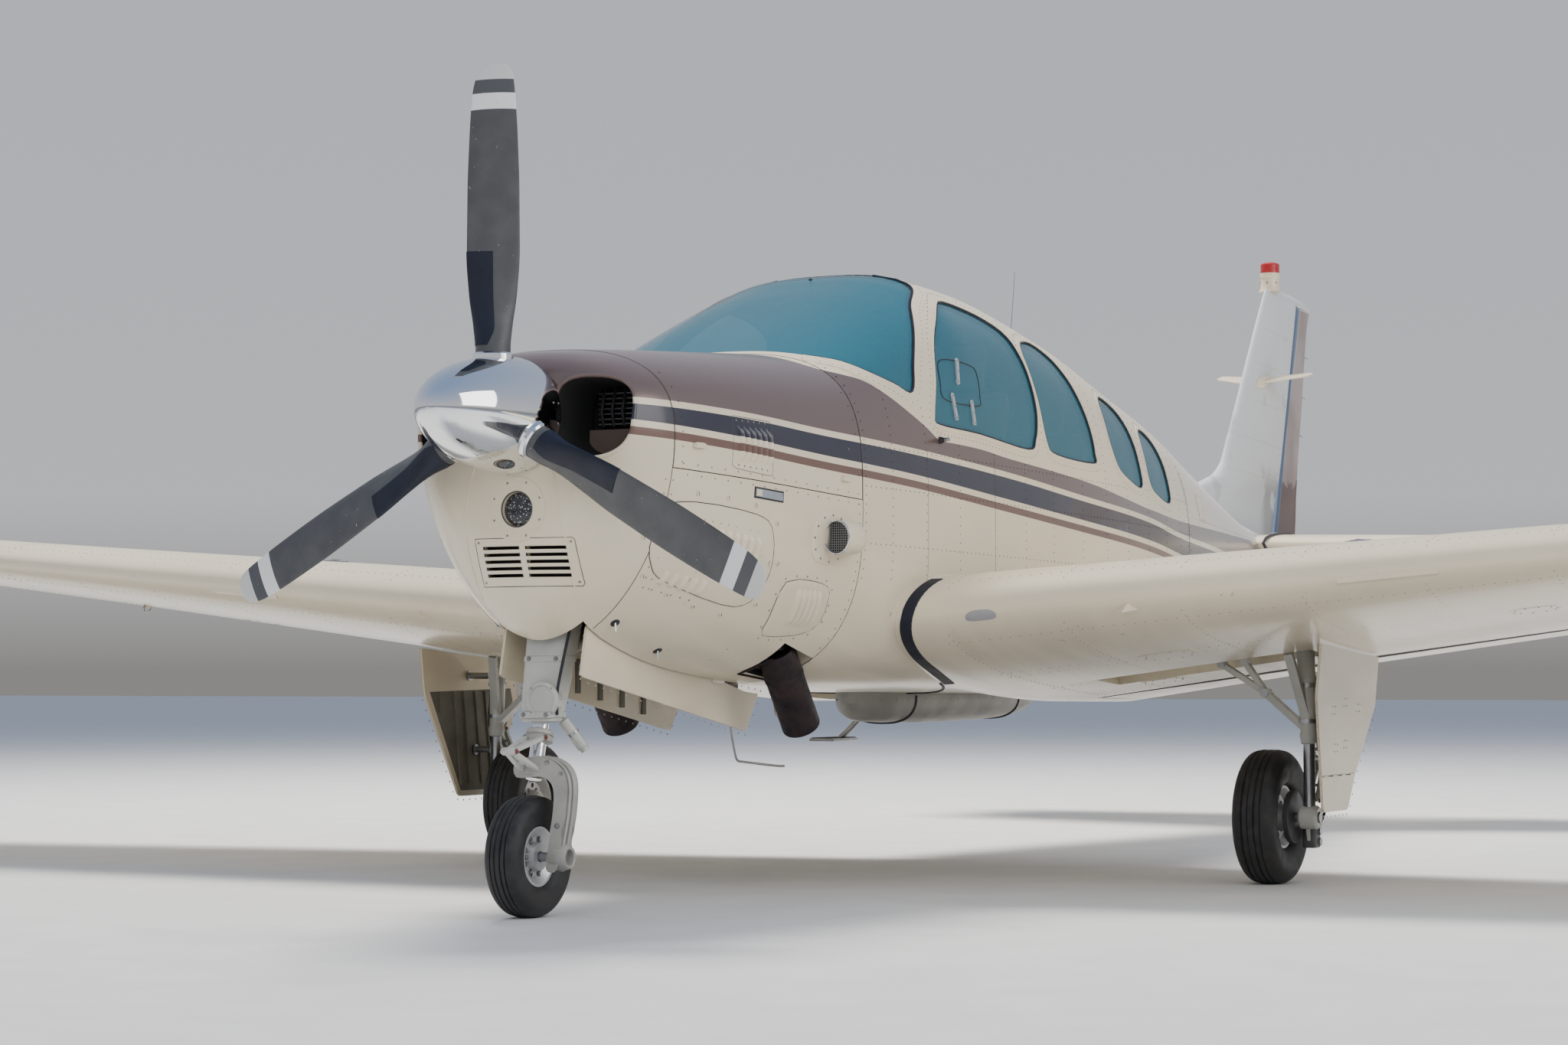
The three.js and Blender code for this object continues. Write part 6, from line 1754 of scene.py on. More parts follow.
def lower_cowl_fittings():
    low = Piece("cowl_lower_fittings")
    panel = rounded(ACCESS_PANEL, pieces=4)
    laid(low, panel, left_side, 1.4, LIVERY, 2.5, 6)
    seam_line(low, panel, left_side, 1.6, closed=True, pitch=30, lift=0.4)
    screw_line = grown(rounded(ACCESS_PANEL, pieces=4), -26)
    quarter_turns(low, [left_side(x, z, 1.2) for x, z in even(screw_line, 132, closed=True)])
    louvre_row(low, PANEL_LOUVRES, LIVERY, -6)
    louvre_row(low, LOW_LOUVRES, LIVERY, -6)
    plate = rounded(REAR_PLATE, pieces=3)
    laid(low, plate, left_side, 1.6, LIVERY, 2.5, 5)
    seam_line(low, plate, left_side, 1.3, closed=True, pitch=30, lift=0.6)
    rivets(low, grown(plate, -11), left_side, 52, 3.4, 1.4, FASTENER, closed=True)
    louvre_row(low, REAR_LOUVRES, LIVERY, 24)
    blank_plate(low)
    scoop(low)
    for x, z in DRAIN_PORTS:
        point, normal = left_side(x, z)
        low.turned([(0, 15), (0.7, 15), (1, 12)], point - normal * 3, point + normal * 1.4, BLACK, 24)
        low.turned([(0, 3.4), (1, 3.0)], point, point + normal * 4 + np.array([0, 0, -22]), PISTON, 10)
    rivets(low, [(FIREWALL_X + 18, z) for z in (700, 1240)], left_side, 30)
    rivets(low, [(BOWL_BACK_X - 60, cowl_edge_z(-150) - 16), (FIREWALL_X + 26, cowl_edge_z(-1020) - 16)],
           left_side, 58)
    both_sides(low, "airframe")


# Cabin's fittings
SEAL_RADIUS = 4.5
FRAME_WIDTH = 17
STORM_WINDOW = [(-1690, 1618), (-1682, 1672), (-1730, 1756), (-1955, 1752), (-1985, 1720), (-1968, 1640),
                (-1940, 1612)]
STORM_LATCHES = [(-1846, 1760, -1812, 1686), (-1745, 1634, -1751, 1560), (-1887, 1620, -1888, 1552)]


def window_trim(name, body, outline, place):
    """The dark seal and the raised, riveted frame round one window."""
    trim = Piece(name)
    inner = rounded(outline, pieces=4)
    outer = grown(inner, FRAME_WIDTH)
    rows = []
    for ring, lift in ((inner, -6), (inner, 2.0), (outer, 1.4), (outer, -2)):
        rows.append([place(x, z, lift)[0] for x, z in ring])
    rows = list(np.array(rows).transpose(1, 0, 2))
    trim.loft(rows + rows[:1], CREAM_PAINT, caps=False)
    line = [place(x, z, -2.0)[0] for x, z in grown(inner, -1.5)]
    trim.tube(line + line[:2], SEAL_RADIUS, SEAL, 8)
    rivets(trim, grown(inner, FRAME_WIDTH + 14), place, 27, 2.8, 1.2, closed=True)
    return trim.make(body, "ivory_paint")


def windscreen_trim():
    trim = Piece("windscreen_trim")
    path = [(x, z) for x, z in windscreen_outline() if z <= row_at(CABIN_SECTIONS, x)[0] + 1 and x < -1084]
    path = even(path, 24)
    for place in (left_side, right_side):
        places = [place(x, z, -2) for x, z in path]
        line = [point for point, _ in places]
        trim.tube(line, SEAL_RADIUS + 0.5, SEAL, 8)
        rows, heads = [], []
        for i, (point, normal) in enumerate(places):
            along = line[min(i + 1, len(line) - 1)] - line[max(i - 1, 0)]
            away = np.cross(along, normal)
            away /= np.linalg.norm(away)
            glass = np.array([-1480.0, away[1], 1800.0]) - (point[0], 0, point[2])
            if away[0] * glass[0] + away[2] * glass[2] > 0:
                away = -away
            rows.append([to_skin(point + away * w, lift)[0]
                         for w, lift in ((1, -6), (2, 2.4), (24, 2.2), (46, 1.6), (48, -2))])
            heads.append(to_skin(point + away * 34, 1.6))
        trim.loft(rows, CREAM_PAINT, caps=False)
        trim.domes(heads, 2.8, 1.2, SHADED_RIVET, 8)
    trim.make("airframe", "ivory_paint")


def storm_window():
    storm = Piece("storm_window")
    outline = rounded(STORM_WINDOW, pieces=4)
    seam_line(storm, outline, left_side, 2.2, closed=True, lift=-4.5, material=SEAL, pitch=20)
    for x0, z0, x1, z1 in STORM_LATCHES:
        start, normal = left_side(x0, z0, -2)
        end, _ = left_side(x1, z1, -2)
        middle = (start + end) / 2
        storm.turned([(0, 9), (0.5, 11), (1, 10)], start - normal * 3, start + normal * 3, LATCH_CLEAR, 16)
        storm.bar(start, end, 17, 7, (1, 0, 0), LATCH_CLEAR)
        storm.turned([(0, 10), (1, 9)], end - normal * 3, end + normal * 3, LATCH_CLEAR, 16)
        screws = [(middle + normal * 3.4, normal), (start + normal * 3, normal), (end + normal * 3, normal)]
        storm.domes(screws, 3.2, 1.4, BLACK, 8)
    storm.make("airframe", "tinted_glazing")


def clear_of_openings(side):
    """Whether a rivet at x and z has skin below it that doesn't move."""
    windows = [grown(rounded(outline, pieces=3), 44) for outline in WINDOWS]
    doors = [grown(outline, 10) for _, outline, _, _, _ in DOORS] if side < 0 else []
    glass_line = windscreen_outline(40)

    def keep(x, z):
        if any(inside(outline, x, z) for outline in windows + doors) or inside(glass_line, x, z):
            return False
        return z < row_at(table_of(x), x)[0] - 3
    return keep


def cabin_rivets():
    wing_top = [(-1300, 1010), (-1600, 1040), (-2300, 960), (-3340, 720)]
    for side, place in ((1, left_side), (-1, right_side)):
        keep = clear_of_openings(side)
        lines = Piece(f"cabin_rivets_{'left' if side > 0 else 'right'}")
        for x in (-1072, -1250, -1490, -1743, -2025, -2290, -2545, -2830, -3080, -3330, -3600, -3850, -4090,
                  -4228):
            top = row_at(CABIN_SECTIONS, x)[0] - 8
            low = np.interp(-x, [-p[0] for p in wing_top], [p[1] for p in wing_top])
            rivets(lines, [(x, low), (x, top)], place, 29, keep=keep)
        for z in (1120, 1300, 1430):
            rivets(lines, [(-1072, z), (CABIN_BACK_X + 22, z - 40)], place, 33, keep=keep)
        lines.make("airframe", "ivory_paint")
    roof = Piece("roof_rivets")
    for y in (-260, 0, 260):
        roof.domes([to_skin((x, y, 2150)) for x in np.arange(-2020, -4220, -33)], *ROOF_RIVET)
    for x in (-2025, -2545, -3080, -3600, -4090):
        roof.domes([to_skin((x, y, 2100)) for y in np.arange(-330, 331, 33)], *ROOF_RIVET)
    roof.make("airframe", "ivory_paint")


def cabin_seams():
    seams = Piece("cabin_seams")
    ring = [p for p in fuselage_ring(CABIN_SECTIONS, FIREWALL_X - 0.8, 0.4, 96) if p[2] > 690]
    start = next(i for i, p in enumerate(ring) if np.linalg.norm(p - ring[i - 1]) > 120)
    seams.tube(ring[start:] + ring[:start], 1.5, SEAM_DARK, 6)
    for side in (1, -1):
        place = left_side if side > 0 else right_side
        for x in (-1499, -2025):
            seam_line(seams, [(x, 980), (x, 1440)], place, 1.0, lift=-0.4)
        ring = [to_skin((CABIN_BACK_X, side * y, z), -0.4)[0]
                for y, z in ((40, 1800), (300, 1720), (450, 1500), (505, 1200), (450, 850), (300, 700))]
        seams.tube(rounded(ring, closed=False, pieces=8), 1.2, SEAM_DARK, 6)
    seams.make("airframe", "ivory_paint")


# Wing's fittings
def wing_row(y):
    if y >= WING_SECTIONS[0][0]:
        return row_at(WING_SECTIONS, y)
    root, first = np.array(WING_ROOT, float), np.array(WING_SECTIONS[0], float)
    share = (y - root[0]) / (first[0] - root[0])
    return (root + (first - root) * share)[1:]


def wing_skin(y, share, above, lift=0.0):
    """A place on the left wing's upper (1) or lower (-1) skin, and the way out of it there."""
    point = wing_point(y, share, above)[0]
    near = min(max(share, 0.004), 0.97)
    ahead = wing_point(y, max(near - 0.003, 0.0005), above)[0]
    behind = wing_point(y, near + 0.003, above)[0]
    outward = wing_point(y + 10, near, above)[0] - wing_point(y - 10, near, above)[0]
    normal = np.cross(behind - ahead, outward)
    normal = normal / np.linalg.norm(normal)
    if normal[2] * above < 0 and share > 0.02:
        normal = -normal
    elif share <= 0.02 and normal[0] < 0:
        normal = -normal
    return point + normal * lift, normal


def round_the_nose(y, first, last, count, lift):
    """Places round the leading edge, from a share of the chord above it to a share below."""
    upper = [wing_skin(y, share, 1, lift)[0] for share in np.linspace(1, 0, count)[:-1] ** 2 * first]
    lower = [wing_skin(y, share, -1, lift)[0] for share in np.linspace(0, 1, count) ** 2 * last]
    return upper + lower


def joint_y(share, above, off):
    """How far out the wing's skin meets the fuselage, plus a distance."""
    y = 600.0
    for _ in range(4):
        x, _, z = wing_point(y, share, above)[0]
        y = half_width_at(x, z) + off
    return y


ROOT_BAND_START = 18
ROOT_BAND_WIDTH = 40
ROOT_BAND_BACK = 0.34
NOSE_PATCH = {"inner": 795, "outer": 897, "above": 0.0006, "below": 0.0095}
STALL_STRIP = {"inner": 1980, "outer": 2285, "share": 0.006}
STALL_TAB = {"y": 1305, "share": 0.018, "half": 44, "reach": 30}
FUEL_CAP = {"y": 1950, "share": 0.2}
TIP_LIGHT_Y = 5040
# Round lids under the wing: y, share of the chord, half their size
WING_HATCHES = [(1260, 0.3, 90), (2450, 0.32, 78), (3400, 0.4, 70), (1020, 0.62, 80)]


def wing_root_band():
    band = Piece("wing_root_band")
    shares = [(s, 1) for s in np.linspace(1, 0, 12)[:-1] ** 2 * 0.08]
    shares += [(s, -1) for s in np.linspace(0, 1, 26) ** 1.6 * ROOT_BAND_BACK]
    rows = []
    for share, above in shares:
        row = []
        for off, lift in ((-2, -2), (0, 4.5), (8, 4.0), (ROOT_BAND_WIDTH - 3, 2.4), (ROOT_BAND_WIDTH, -1)):
            row.append(wing_skin(joint_y(share, above, off + ROOT_BAND_START), share, above, lift)[0])
        rows.append(row)
    band.loft(rows, NAVY_RUBBER, caps=False)
    joint = [wing_skin(joint_y(s, 1, 4), s, 1, 0)[0] for s in np.linspace(0.08, 0.97, 30)]
    band.tube(joint, 7, CREAM_PAINT, 8)
    joint = [wing_skin(joint_y(s, -1, 4), s, -1, 0)[0] for s in np.linspace(ROOT_BAND_BACK, 0.97, 24)]
    band.tube(joint, 5, NAVY_RUBBER, 8)
    both_sides(band, "airframe")


def wing_fittings():
    parts = Piece("wing_fittings")
    spec = NOSE_PATCH
    middle, half = (spec["inner"] + spec["outer"]) / 2, (spec["outer"] - spec["inner"]) / 2
    rows = []
    for size, lift in ((1, -1), (1, 1.2), (0.9, 1.4), (0.5, 1.4), (0.06, 1.4)):
        ring = []
        for angle in around(32):
            y = middle + bulged(math.cos(angle), 0.6) * half * size
            share = 0.0046 + bulged(math.sin(angle), 0.7) * 0.0042 * size
            ring.append(wing_skin(y, share, -1, lift)[0])
        rows.append(ring)
    parts.loft(rows, PATCH_GREY)
    rows = []
    for y in np.linspace(STALL_STRIP["inner"], STALL_STRIP["outer"], 9):
        base, normal = wing_skin(y, STALL_STRIP["share"], -1)
        low, _ = wing_skin(y, STALL_STRIP["share"] + 0.006, -1)
        high, _ = wing_skin(y, max(STALL_STRIP["share"] - 0.004, 0.0008), -1)
        rows.append([low, base + normal * 7, high, base - normal * 3])
    parts.loft(rows, CREAM_PAINT)
    tab = STALL_TAB
    base, normal = wing_skin(tab["y"], tab["share"], -1)
    inner, _ = wing_skin(tab["y"] - tab["half"], tab["share"], -1)
    outer, _ = wing_skin(tab["y"] + tab["half"], tab["share"], -1)
    top, _ = wing_skin(tab["y"] + tab["half"] * 0.4, 0.006, -1)
    nose = wing_skin(tab["y"], 0.008, -1)[0] + normal * tab["reach"]
    parts.loft([[inner, outer, top], [nose - (2, 1, 0), nose + (-2, 1, 0), nose + (0, 0, 2)]], CREAM_PAINT)
    lens_rows = [round_the_nose(y, 0.06 * s, 0.05 * s, 8, 2.2 * s)
                 for y, s in ((4952, 0.7), (4990, 1), (TIP_LIGHT_Y, 1), (5072, 0.7))]
    lens_rings = [row + [row[-1] - (60, 0, -20), row[0] - (60, 0, 20)] for row in lens_rows]
    left = Piece("tip_light_left").loft(lens_rings, RED_LENS).make("airframe", "red_lens")
    right = mirrored(left, "tip_light_right")
    right.data.materials.clear()
    right.data.materials.append(GREEN_LENS)
    dress(right, "airframe")
    point, normal = wing_skin(FUEL_CAP["y"], FUEL_CAP["share"], 1)
    parts.turned([(0, 52), (0.6, 52), (1, 48)], point - normal * 4, point + normal * 2.5, STEEL, 32)
    parts.turned([(0, 36), (0.7, 36), (1, 32)], point, point + normal * 6, PISTON, 32)
    along, across = square_axes(normal, (1, 0, 0))
    parts.bar(point + normal * 6 - along * 26, point + normal * 6 + along * 26, 10, 4, across, STEEL)
    lug = wing_point(TIE_DOWN["y"], TIE_DOWN["share"])[0]
    ring = [(lug[0] + math.cos(a) * 22, TIE_DOWN["y"], TIE_DOWN["z"] + 14 + math.sin(a) * 13)
            for a in np.arange(25) / 24 * 2 * math.pi]
    parts.tube(ring + ring[1:2], 3.5, STEEL, 8)
    base = wing_skin(TIE_DOWN["y"], TIE_DOWN["share"], -1)[0]
    parts.turned([(0, 26), (0.25, 26), (0.4, 15), (1, 12)], base + (0, 0, 6),
                 (base[0], base[1], TIE_DOWN["z"] + 16), CREAM_PAINT, 24)
    for y in (3300, 3900, 4500):
        tail = wing_point(y, 0.985)[0]
        parts.rod(tail + (20, 0, 3), tail + (-26, 0, 2), 3, PLATE_BLUE, 2.4, 8)
        parts.rod(tail + (-20, 0, 2), tail + (-120, 0, -14), 1.4, BLACK, 0.8, 6)
    for y, share, size in WING_HATCHES:
        chord = wing_row(y)[1]
        rings = []
        for size_share, lift in ((1, -1), (1, 1.6), (0.93, 2.0), (0.5, 2.0), (0.05, 2.0)):
            ring = []
            for angle in around(28):
                out = bulged(math.cos(angle), 0.6) * size * size_share
                back = bulged(math.sin(angle), 0.6) * size * 0.8 * size_share / chord
                ring.append(wing_skin(y + out, share + back, -1, lift)[0])
            rings.append(ring)
        parts.loft(rings, CREAM_PAINT)
        parts.domes([wing_skin(y + math.cos(a) * size * 0.88, share + math.sin(a) * size * 0.7 / chord, -1, 2)
                     for a in around(10)], 3.6, 1.5, FASTENER, 8)
    both_sides(parts, "airframe")


def wing_rivets():
    heads = Piece("wing_rivets")
    bay = (LEG_BAY["inner"] - 20, LEG_BAY["outer"] + 20, -WHEELBASE - LEG_BAY["half"] - 16,
           -WHEELBASE + LEG_BAY["half"] + 16)

    def add(y, share, above):
        point, normal = wing_skin(y, share, above)
        over_bay = above < 0 and bay[0] < y < bay[1] and bay[2] < point[0] < bay[3]
        if not over_bay:
            heads.domes([(point, normal)], 3.0, 1.2, SHADED_WING_RIVET, 6)
    for above in (1, -1):
        for share in (0.055, 0.27, 0.31, 0.5, 0.71):
            for y in np.arange(700, 4940, 34):
                add(y, share, above)
        for y in (720, 1100, 1480, 1860, 2240, 2620, 3000, 3380, 3760, 4140, 4520, 4850):
            chord = wing_row(y)[1]
            for share in np.arange(0.03, 0.72, 34 / chord):
                add(y, share, above)
    both_sides(heads, "airframe")


def walkway():
    mat = Piece("wing_walkway")
    rows = []
    for y in np.linspace(660, 930, 8):
        line = [wing_skin(y, share, 1, 1.4)[0] for share in np.linspace(0.24, 0.7, 16)]
        under = [(point - (0, 0, 5)) * (1, -1, 1) for point in line[::-1]]
        rows.append([point * (1, -1, 1) for point in line] + under)
    mat.loft(rows, WALKWAY)
    mat.make("airframe", "dark_trim")


# Tail's fittings
TAIL_WICKS = [(-7338, 2250), (-7290, 2050), (-7245, 1860)]


def tail_fittings():
    parts = Piece("tail_fittings")
    spec = TAIL_ANTENNA

    def level(x):
        return spec["z"] + (spec["front"] - x) * spec["rise"]

    for side in (1, -1):
        tip_front, tip_back = spec["front"] - spec["sweep"], spec["front"] - spec["sweep"] - spec["tip"]
        reach = side * spec["reach"]
        outline = np.array([(spec["front"], side * 2), (tip_front + 8, reach * 0.96), (tip_front - 10, reach),
                            (tip_back + 12, reach), (tip_back, reach * 0.95), (spec["back"], side * 2)])
        centre = outline.mean(0)
        rows = []
        for size, share in ((0.95, 0.02), (0.99, 0.2), (1, 0.5), (0.99, 0.8), (0.95, 0.98)):
            rows.append([(x, y, level(x) + share * spec["thickness"])
                         for x, y in centre + (outline - centre) * size])
        parts.loft(rows, CREAM_PAINT)
        # A dark tube along the blade's rear edge: painted shade, the shade line of that edge.
        edge = even([outline[5], outline[4]], 30)
        parts.tube([(x, y, level(x) + spec["thickness"] / 2) for x, y in edge], 4, DARK_EDGE, 8)
        foot = []
        for out, size in ((0, 1.0), (4, 1.0), (12, 0.8), (20, 0.5)):
            ring = []
            for angle in around(28):
                x = (spec["front"] + spec["back"]) / 2 - 8 + math.cos(angle) * 96 * size
                z = level(x) + 4 + math.sin(angle) * 30 * size
                ring.append((x, side * (fin_half(x, z) - 1 + out), z))
            foot.append(ring)
        parts.loft(foot, CREAM_PAINT)
        parts.domes([(np.array([x, side * (fin_half(x, level(x)) + 5), level(x) - 16]),
                      np.array([0, side * 1.0, 0]))
                     for x in (spec["front"] - 40, spec["front"] - 80, spec["front"] - 125)], 4.4, 1.8,
                     FASTENER, 10)
    for x, z in TAIL_WICKS:
        parts.rod((x + 16, 0, z), (x - 18, 0, z - 4), 4, PLATE_BLUE, 3, 8)
    base = Piece("beacon_base")
    x = BEACON["x"]
    radius = BEACON["radius"]
    base.turned([(0, radius + 6), (0.2, radius - 2), (0.75, radius - 4), (0.8, radius), (1, radius)],
                (x, 0, BEACON["base"] - 6), (x, 0, BEACON["lens"]), CREAM_PAINT, 40)
    ways = [(math.cos(a), math.sin(a)) for a in around(6)]
    base.domes([(np.array([x + c * (radius - 3), s * (radius - 3), BEACON["base"] + 36]), np.array([c, s, 0]))
                for c, s in ways], 5, 2, FASTENER, 10)
    base.make("airframe", "white_paint")
    lens_piece = Piece("beacon_lens")
    height = BEACON["top"] - BEACON["lens"]
    profile = [(0, radius - 4)]
    for share in np.linspace(0, 0.8, 14):
        ridge = 1.2 if int(round(share * 17.5)) % 2 else 0
        profile.append((share, radius - 3 + ridge))
    profile += [(0.88, radius - 6), (0.95, radius - 14), (0.99, radius - 26), (1, 4)]
    lens_piece.turned(profile, (x, 0, BEACON["lens"]), (x, 0, BEACON["lens"] + height), RED_LENS, 40)
    lens_piece.make("airframe", "red_lens", "beacon", sharp=50)
    parts.make("airframe", "white_paint")


def fin_half(x, z):
    """Half the fin's thickness at a place."""
    front, back, half = row_at(FIN_SECTIONS, z)
    share = min(max((front - x) / (front - back), 0.0), 1.0)
    chord = front - back
    return foil_rise(share, 2 * half / chord) * chord


def tail_rivets():
    heads = Piece("tail_rivets")

    def fin_line(start, end, pitch=32):
        for x, z in even([start, end], pitch):
            for side in (1, -1):
                heads.domes([(np.array([x, side * fin_half(x, z), z]), np.array([0, side * 1.0, 0]))], 2.9,
                            1.2, SHADED_WING_RIVET, 6)
    for z in (1640, 1800, 1980, 2160, 2330):
        front = row_at(FIN_SECTIONS, z)[0]
        fin_line((front - 60, z), (rudder_line(z) + 70, z - 30))
    fin_line((rudder_line(1500) + 62, 1500), (rudder_line(2460) + 50, 2460))
    fin_line((rudder_line(1640) + 210, 1640), (rudder_line(2440) + 130, 2440))
    for x in (-4280, -4700, -5100, -5500, -5880, -6250, -6600, -6900):
        top, bottom, _, _, _, _ = row_at(CABIN_SECTIONS, x)
        for side in (1, -1):
            for z in np.arange(bottom + 40, top - 20, 31):
                point, normal = on_side(x, z, side)
                heads.domes([(point, normal)], *SIDE_RIVET)
    for side in (1, -1):
        for x in np.arange(-4300, -5900, -34):
            rise = (x + 4300) * 0.02
            heads.domes([on_side(x, 1330 + rise, side), on_side(x, 1120 - rise, side)], *SIDE_RIVET)
    heads.make("airframe", "ivory_paint")


TAIL_SEAL_Y = 246


def tailplane_fittings():
    band = Piece("tailplane_bands")
    for side in (1, -1):
        front, chord, thickness = row_at(TAILPLANE_SECTIONS, TAIL_SEAL_Y)
        above = [(share, 1) for share in np.linspace(0.25, 0, 12)]
        below = [(share, -1) for share in np.linspace(0, 0.6, 20)[1:]]
        band.tube([(front - share * chord + 2, side * TAIL_SEAL_Y,
                    TAILPLANE_Z + sign * (foil_rise(share, thickness) * chord + 2))
                   for share, sign in above + below], 7, DARK_EDGE, 10)
        for y in (700, 1150, 1600):
            front, chord, _ = row_at(TAILPLANE_SECTIONS, y)
            band.rod((front - chord + 6, side * y, TAILPLANE_Z),
                     (front - chord - 20, side * y, TAILPLANE_Z), 3.4, PLATE_BLUE, 2.6, 8)
    band.make("airframe", "dark_trim")
    heads = Piece("tailplane_rivets")
    for y in np.arange(520, 1780, 34):
        front, chord, thickness = row_at(TAILPLANE_SECTIONS, y)
        for share in (0.08, 0.4):
            rise = foil_rise(share, thickness) * chord
            for side in (1, -1):
                for above in (1, -1):
                    heads.domes([(np.array([front - share * chord, side * y, TAILPLANE_Z + above * rise]),
                                  np.array([0, 0, float(above)]))], 2.8, 1.2, SHADED_WING_RIVET, 6)
    heads.make("airframe", "ivory_paint")


ROOF_WHIP = {"x": -3590, "length": 410, "lean": 70}
ROOF_BLADE = {"x": -2700, "length": 150, "height": 88}


def antennas():
    parts = Piece("antennas")
    top = row_at(CABIN_SECTIONS, ROOF_WHIP["x"])[0]
    foot = (ROOF_WHIP["x"], 0, top - 2)
    parts.turned([(0, 17), (0.3, 17), (0.6, 10), (1, 6)], foot, (ROOF_WHIP["x"], 0, top + 22), BLACK, 20)
    parts.rod((ROOF_WHIP["x"], 0, top + 18),
              (ROOF_WHIP["x"] - ROOF_WHIP["lean"], 0, top + ROOF_WHIP["length"]), 2.2, STEEL, 1.3, 8)
    x = ROOF_BLADE["x"]
    top = row_at(CABIN_SECTIONS, x)[0]
    rows = []
    for share, size in ((0, 1.0), (0.5, 0.86), (0.9, 0.7), (1, 0.55)):
        z = top - 6 + ROOF_BLADE["height"] * share
        half = ROOF_BLADE["length"] / 2 * size
        rows.append([(x - 30 * share + math.cos(a) * half, math.sin(a) * 8 * size, z)
                     for a in around(24)])
    parts.loft(rows, CREAM_PAINT)
    bent = [(-1071, 100, 600), (-1071, 100, 540), (-1094, 100, 474), (-1110, 100, 440), (-1125, 100, 429),
            (-1150, 100, 426), (-1280, 100, 415), (-1408, 100, 405), (-1449, 100, 404)]
    parts.tube(rounded(bent, closed=False, pieces=4), 4, STEEL, 10)
    parts.turned([(0, 26), (0.3, 24), (1, 11)], (-1071, 100, 676), (-1071, 100, 596), GREY_PLASTIC, 20)
    parts.rod((-2145, -300, 645), (-2168, -300, 568), 4, STEEL, 3, 8)
    drain = [(-2168, -300, 575), (-2172, -300, 560), (-2210, -300, 552), (-2330, -300, 545)]
    parts.tube(drain, 2.6, STEEL, 8)
    probe, normal = on_side(-1600, 1475, 1)
    parts.turned([(0, 13), (0.3, 11), (0.5, 7), (1, 6)], probe - normal * 2, probe + normal * 34, BLACK, 16)
    parts.rod(probe + normal * 30, probe + normal * 32 + (26, 0, -4), 6, STEEL, 5, 12)
    plate = even([(-4490, 1425), (-4610, 1418), (-4606, 1330), (-4488, 1338)], 30, closed=True)
    laid(parts, plate, left_side, 2.2, CREAM_PAINT, 2, 3)
    seam_line(parts, plate, left_side, 1.8, True)
    rivets(parts, grown(plate, -9), left_side, 34, closed=True)
    parts.turned([(0, 20), (0.5, 18), (1, 8)], (-4950, 0, row_at(CABIN_SECTIONS, -4950)[0] - 3),
                 (-4950, 0, row_at(CABIN_SECTIONS, -4950)[0] + 34), DARK_EDGE, 20)
    parts.make("airframe", "gear_steel")


# Landing gear
NOSE_APEX = (110, 0, 487)
NOSE_ARM = [
    (-38, 454), (40, 462), (96, 440), (124, 392), (127, 310), (119, 232), (112, 150), (84, 150), (90, 232),
    (97, 310), (94, 372), (74, 404), (34, 418), (-38, 414),
]
TAXI_LIGHT = {"back": -92, "front": -28, "y": 24, "z": 634, "radius": 54}
NOSE_CROSS = {"x": -430, "z": 905, "half": 160, "radius": 16}
NOSE_DOOR = [(-96, 850), (-62, 706), (-1096, 528), (-1181, 642), (-1086, 650), (-256, 832)]
NOSE_DOOR_INNER = NOSE_BAY_HALF - 14


def strut_point(share, y=0.0, ahead=0.0):
    (x0, z0), (x1, z1) = NOSE_STRUT_LOW, NOSE_STRUT_HIGH
    return np.array([x0 + (x1 - x0) * share + ahead, y, z0 + (z1 - z0) * share])


def soft_box(half_a, half_b, corner, count=5):
    """A rectangle with round corners, about the origin."""
    ring = []
    for a, b, start in ((1, 1, 0), (-1, 1, 90), (-1, -1, 180), (1, -1, 270)):
        for angle in np.radians(np.linspace(start, start + 90, count)):
            ring.append((a * (half_a - corner) + math.cos(angle) * corner,
                         b * (half_b - corner) + math.sin(angle) * corner))
    return ring


def soft_block(piece, low, high, corner, material, axis=2):
    """A block with round upright edges and softened ends."""
    low, high = np.array(low, float), np.array(high, float)
    others = [k for k in range(3) if k != axis]
    centre, half = (low + high) / 2, (high - low) / 2
    rows = []
    for level, inset in ((0, corner * 0.5), (corner * 0.15, corner * 0.15), (corner * 0.5, 0)):
        rows.append((low[axis] + level, inset))
    rows += [(low[axis] + high[axis] - level, inset) for level, inset in rows[::-1]]
    rings = []
    for level, inset in rows:
        ring = []
        for a, b in soft_box(half[others[0]] - inset, half[others[1]] - inset, max(corner - inset, 0.5)):
            point = np.zeros(3)
            point[others[0]] = centre[others[0]] + a
            point[others[1]] = centre[others[1]] + b
            point[axis] = level
            ring.append(point)
        rings.append(ring)
    return piece.loft(rings, material)


def bolt(piece, point, out, radius=8.0, material=None):
    """A hexagonal head on a washer."""
    point, out = np.array(point, float), np.array(out, float)
    out = out / np.linalg.norm(out)
    piece.turned([(0, radius * 1.35), (1, radius * 1.3)], point - out, point + out * 1.6, STEEL, 16)
    piece.turned([(0, radius), (0.85, radius), (1, radius * 0.8)], point + out, point + out * radius * 0.9,
                 material or FASTENER, 6)


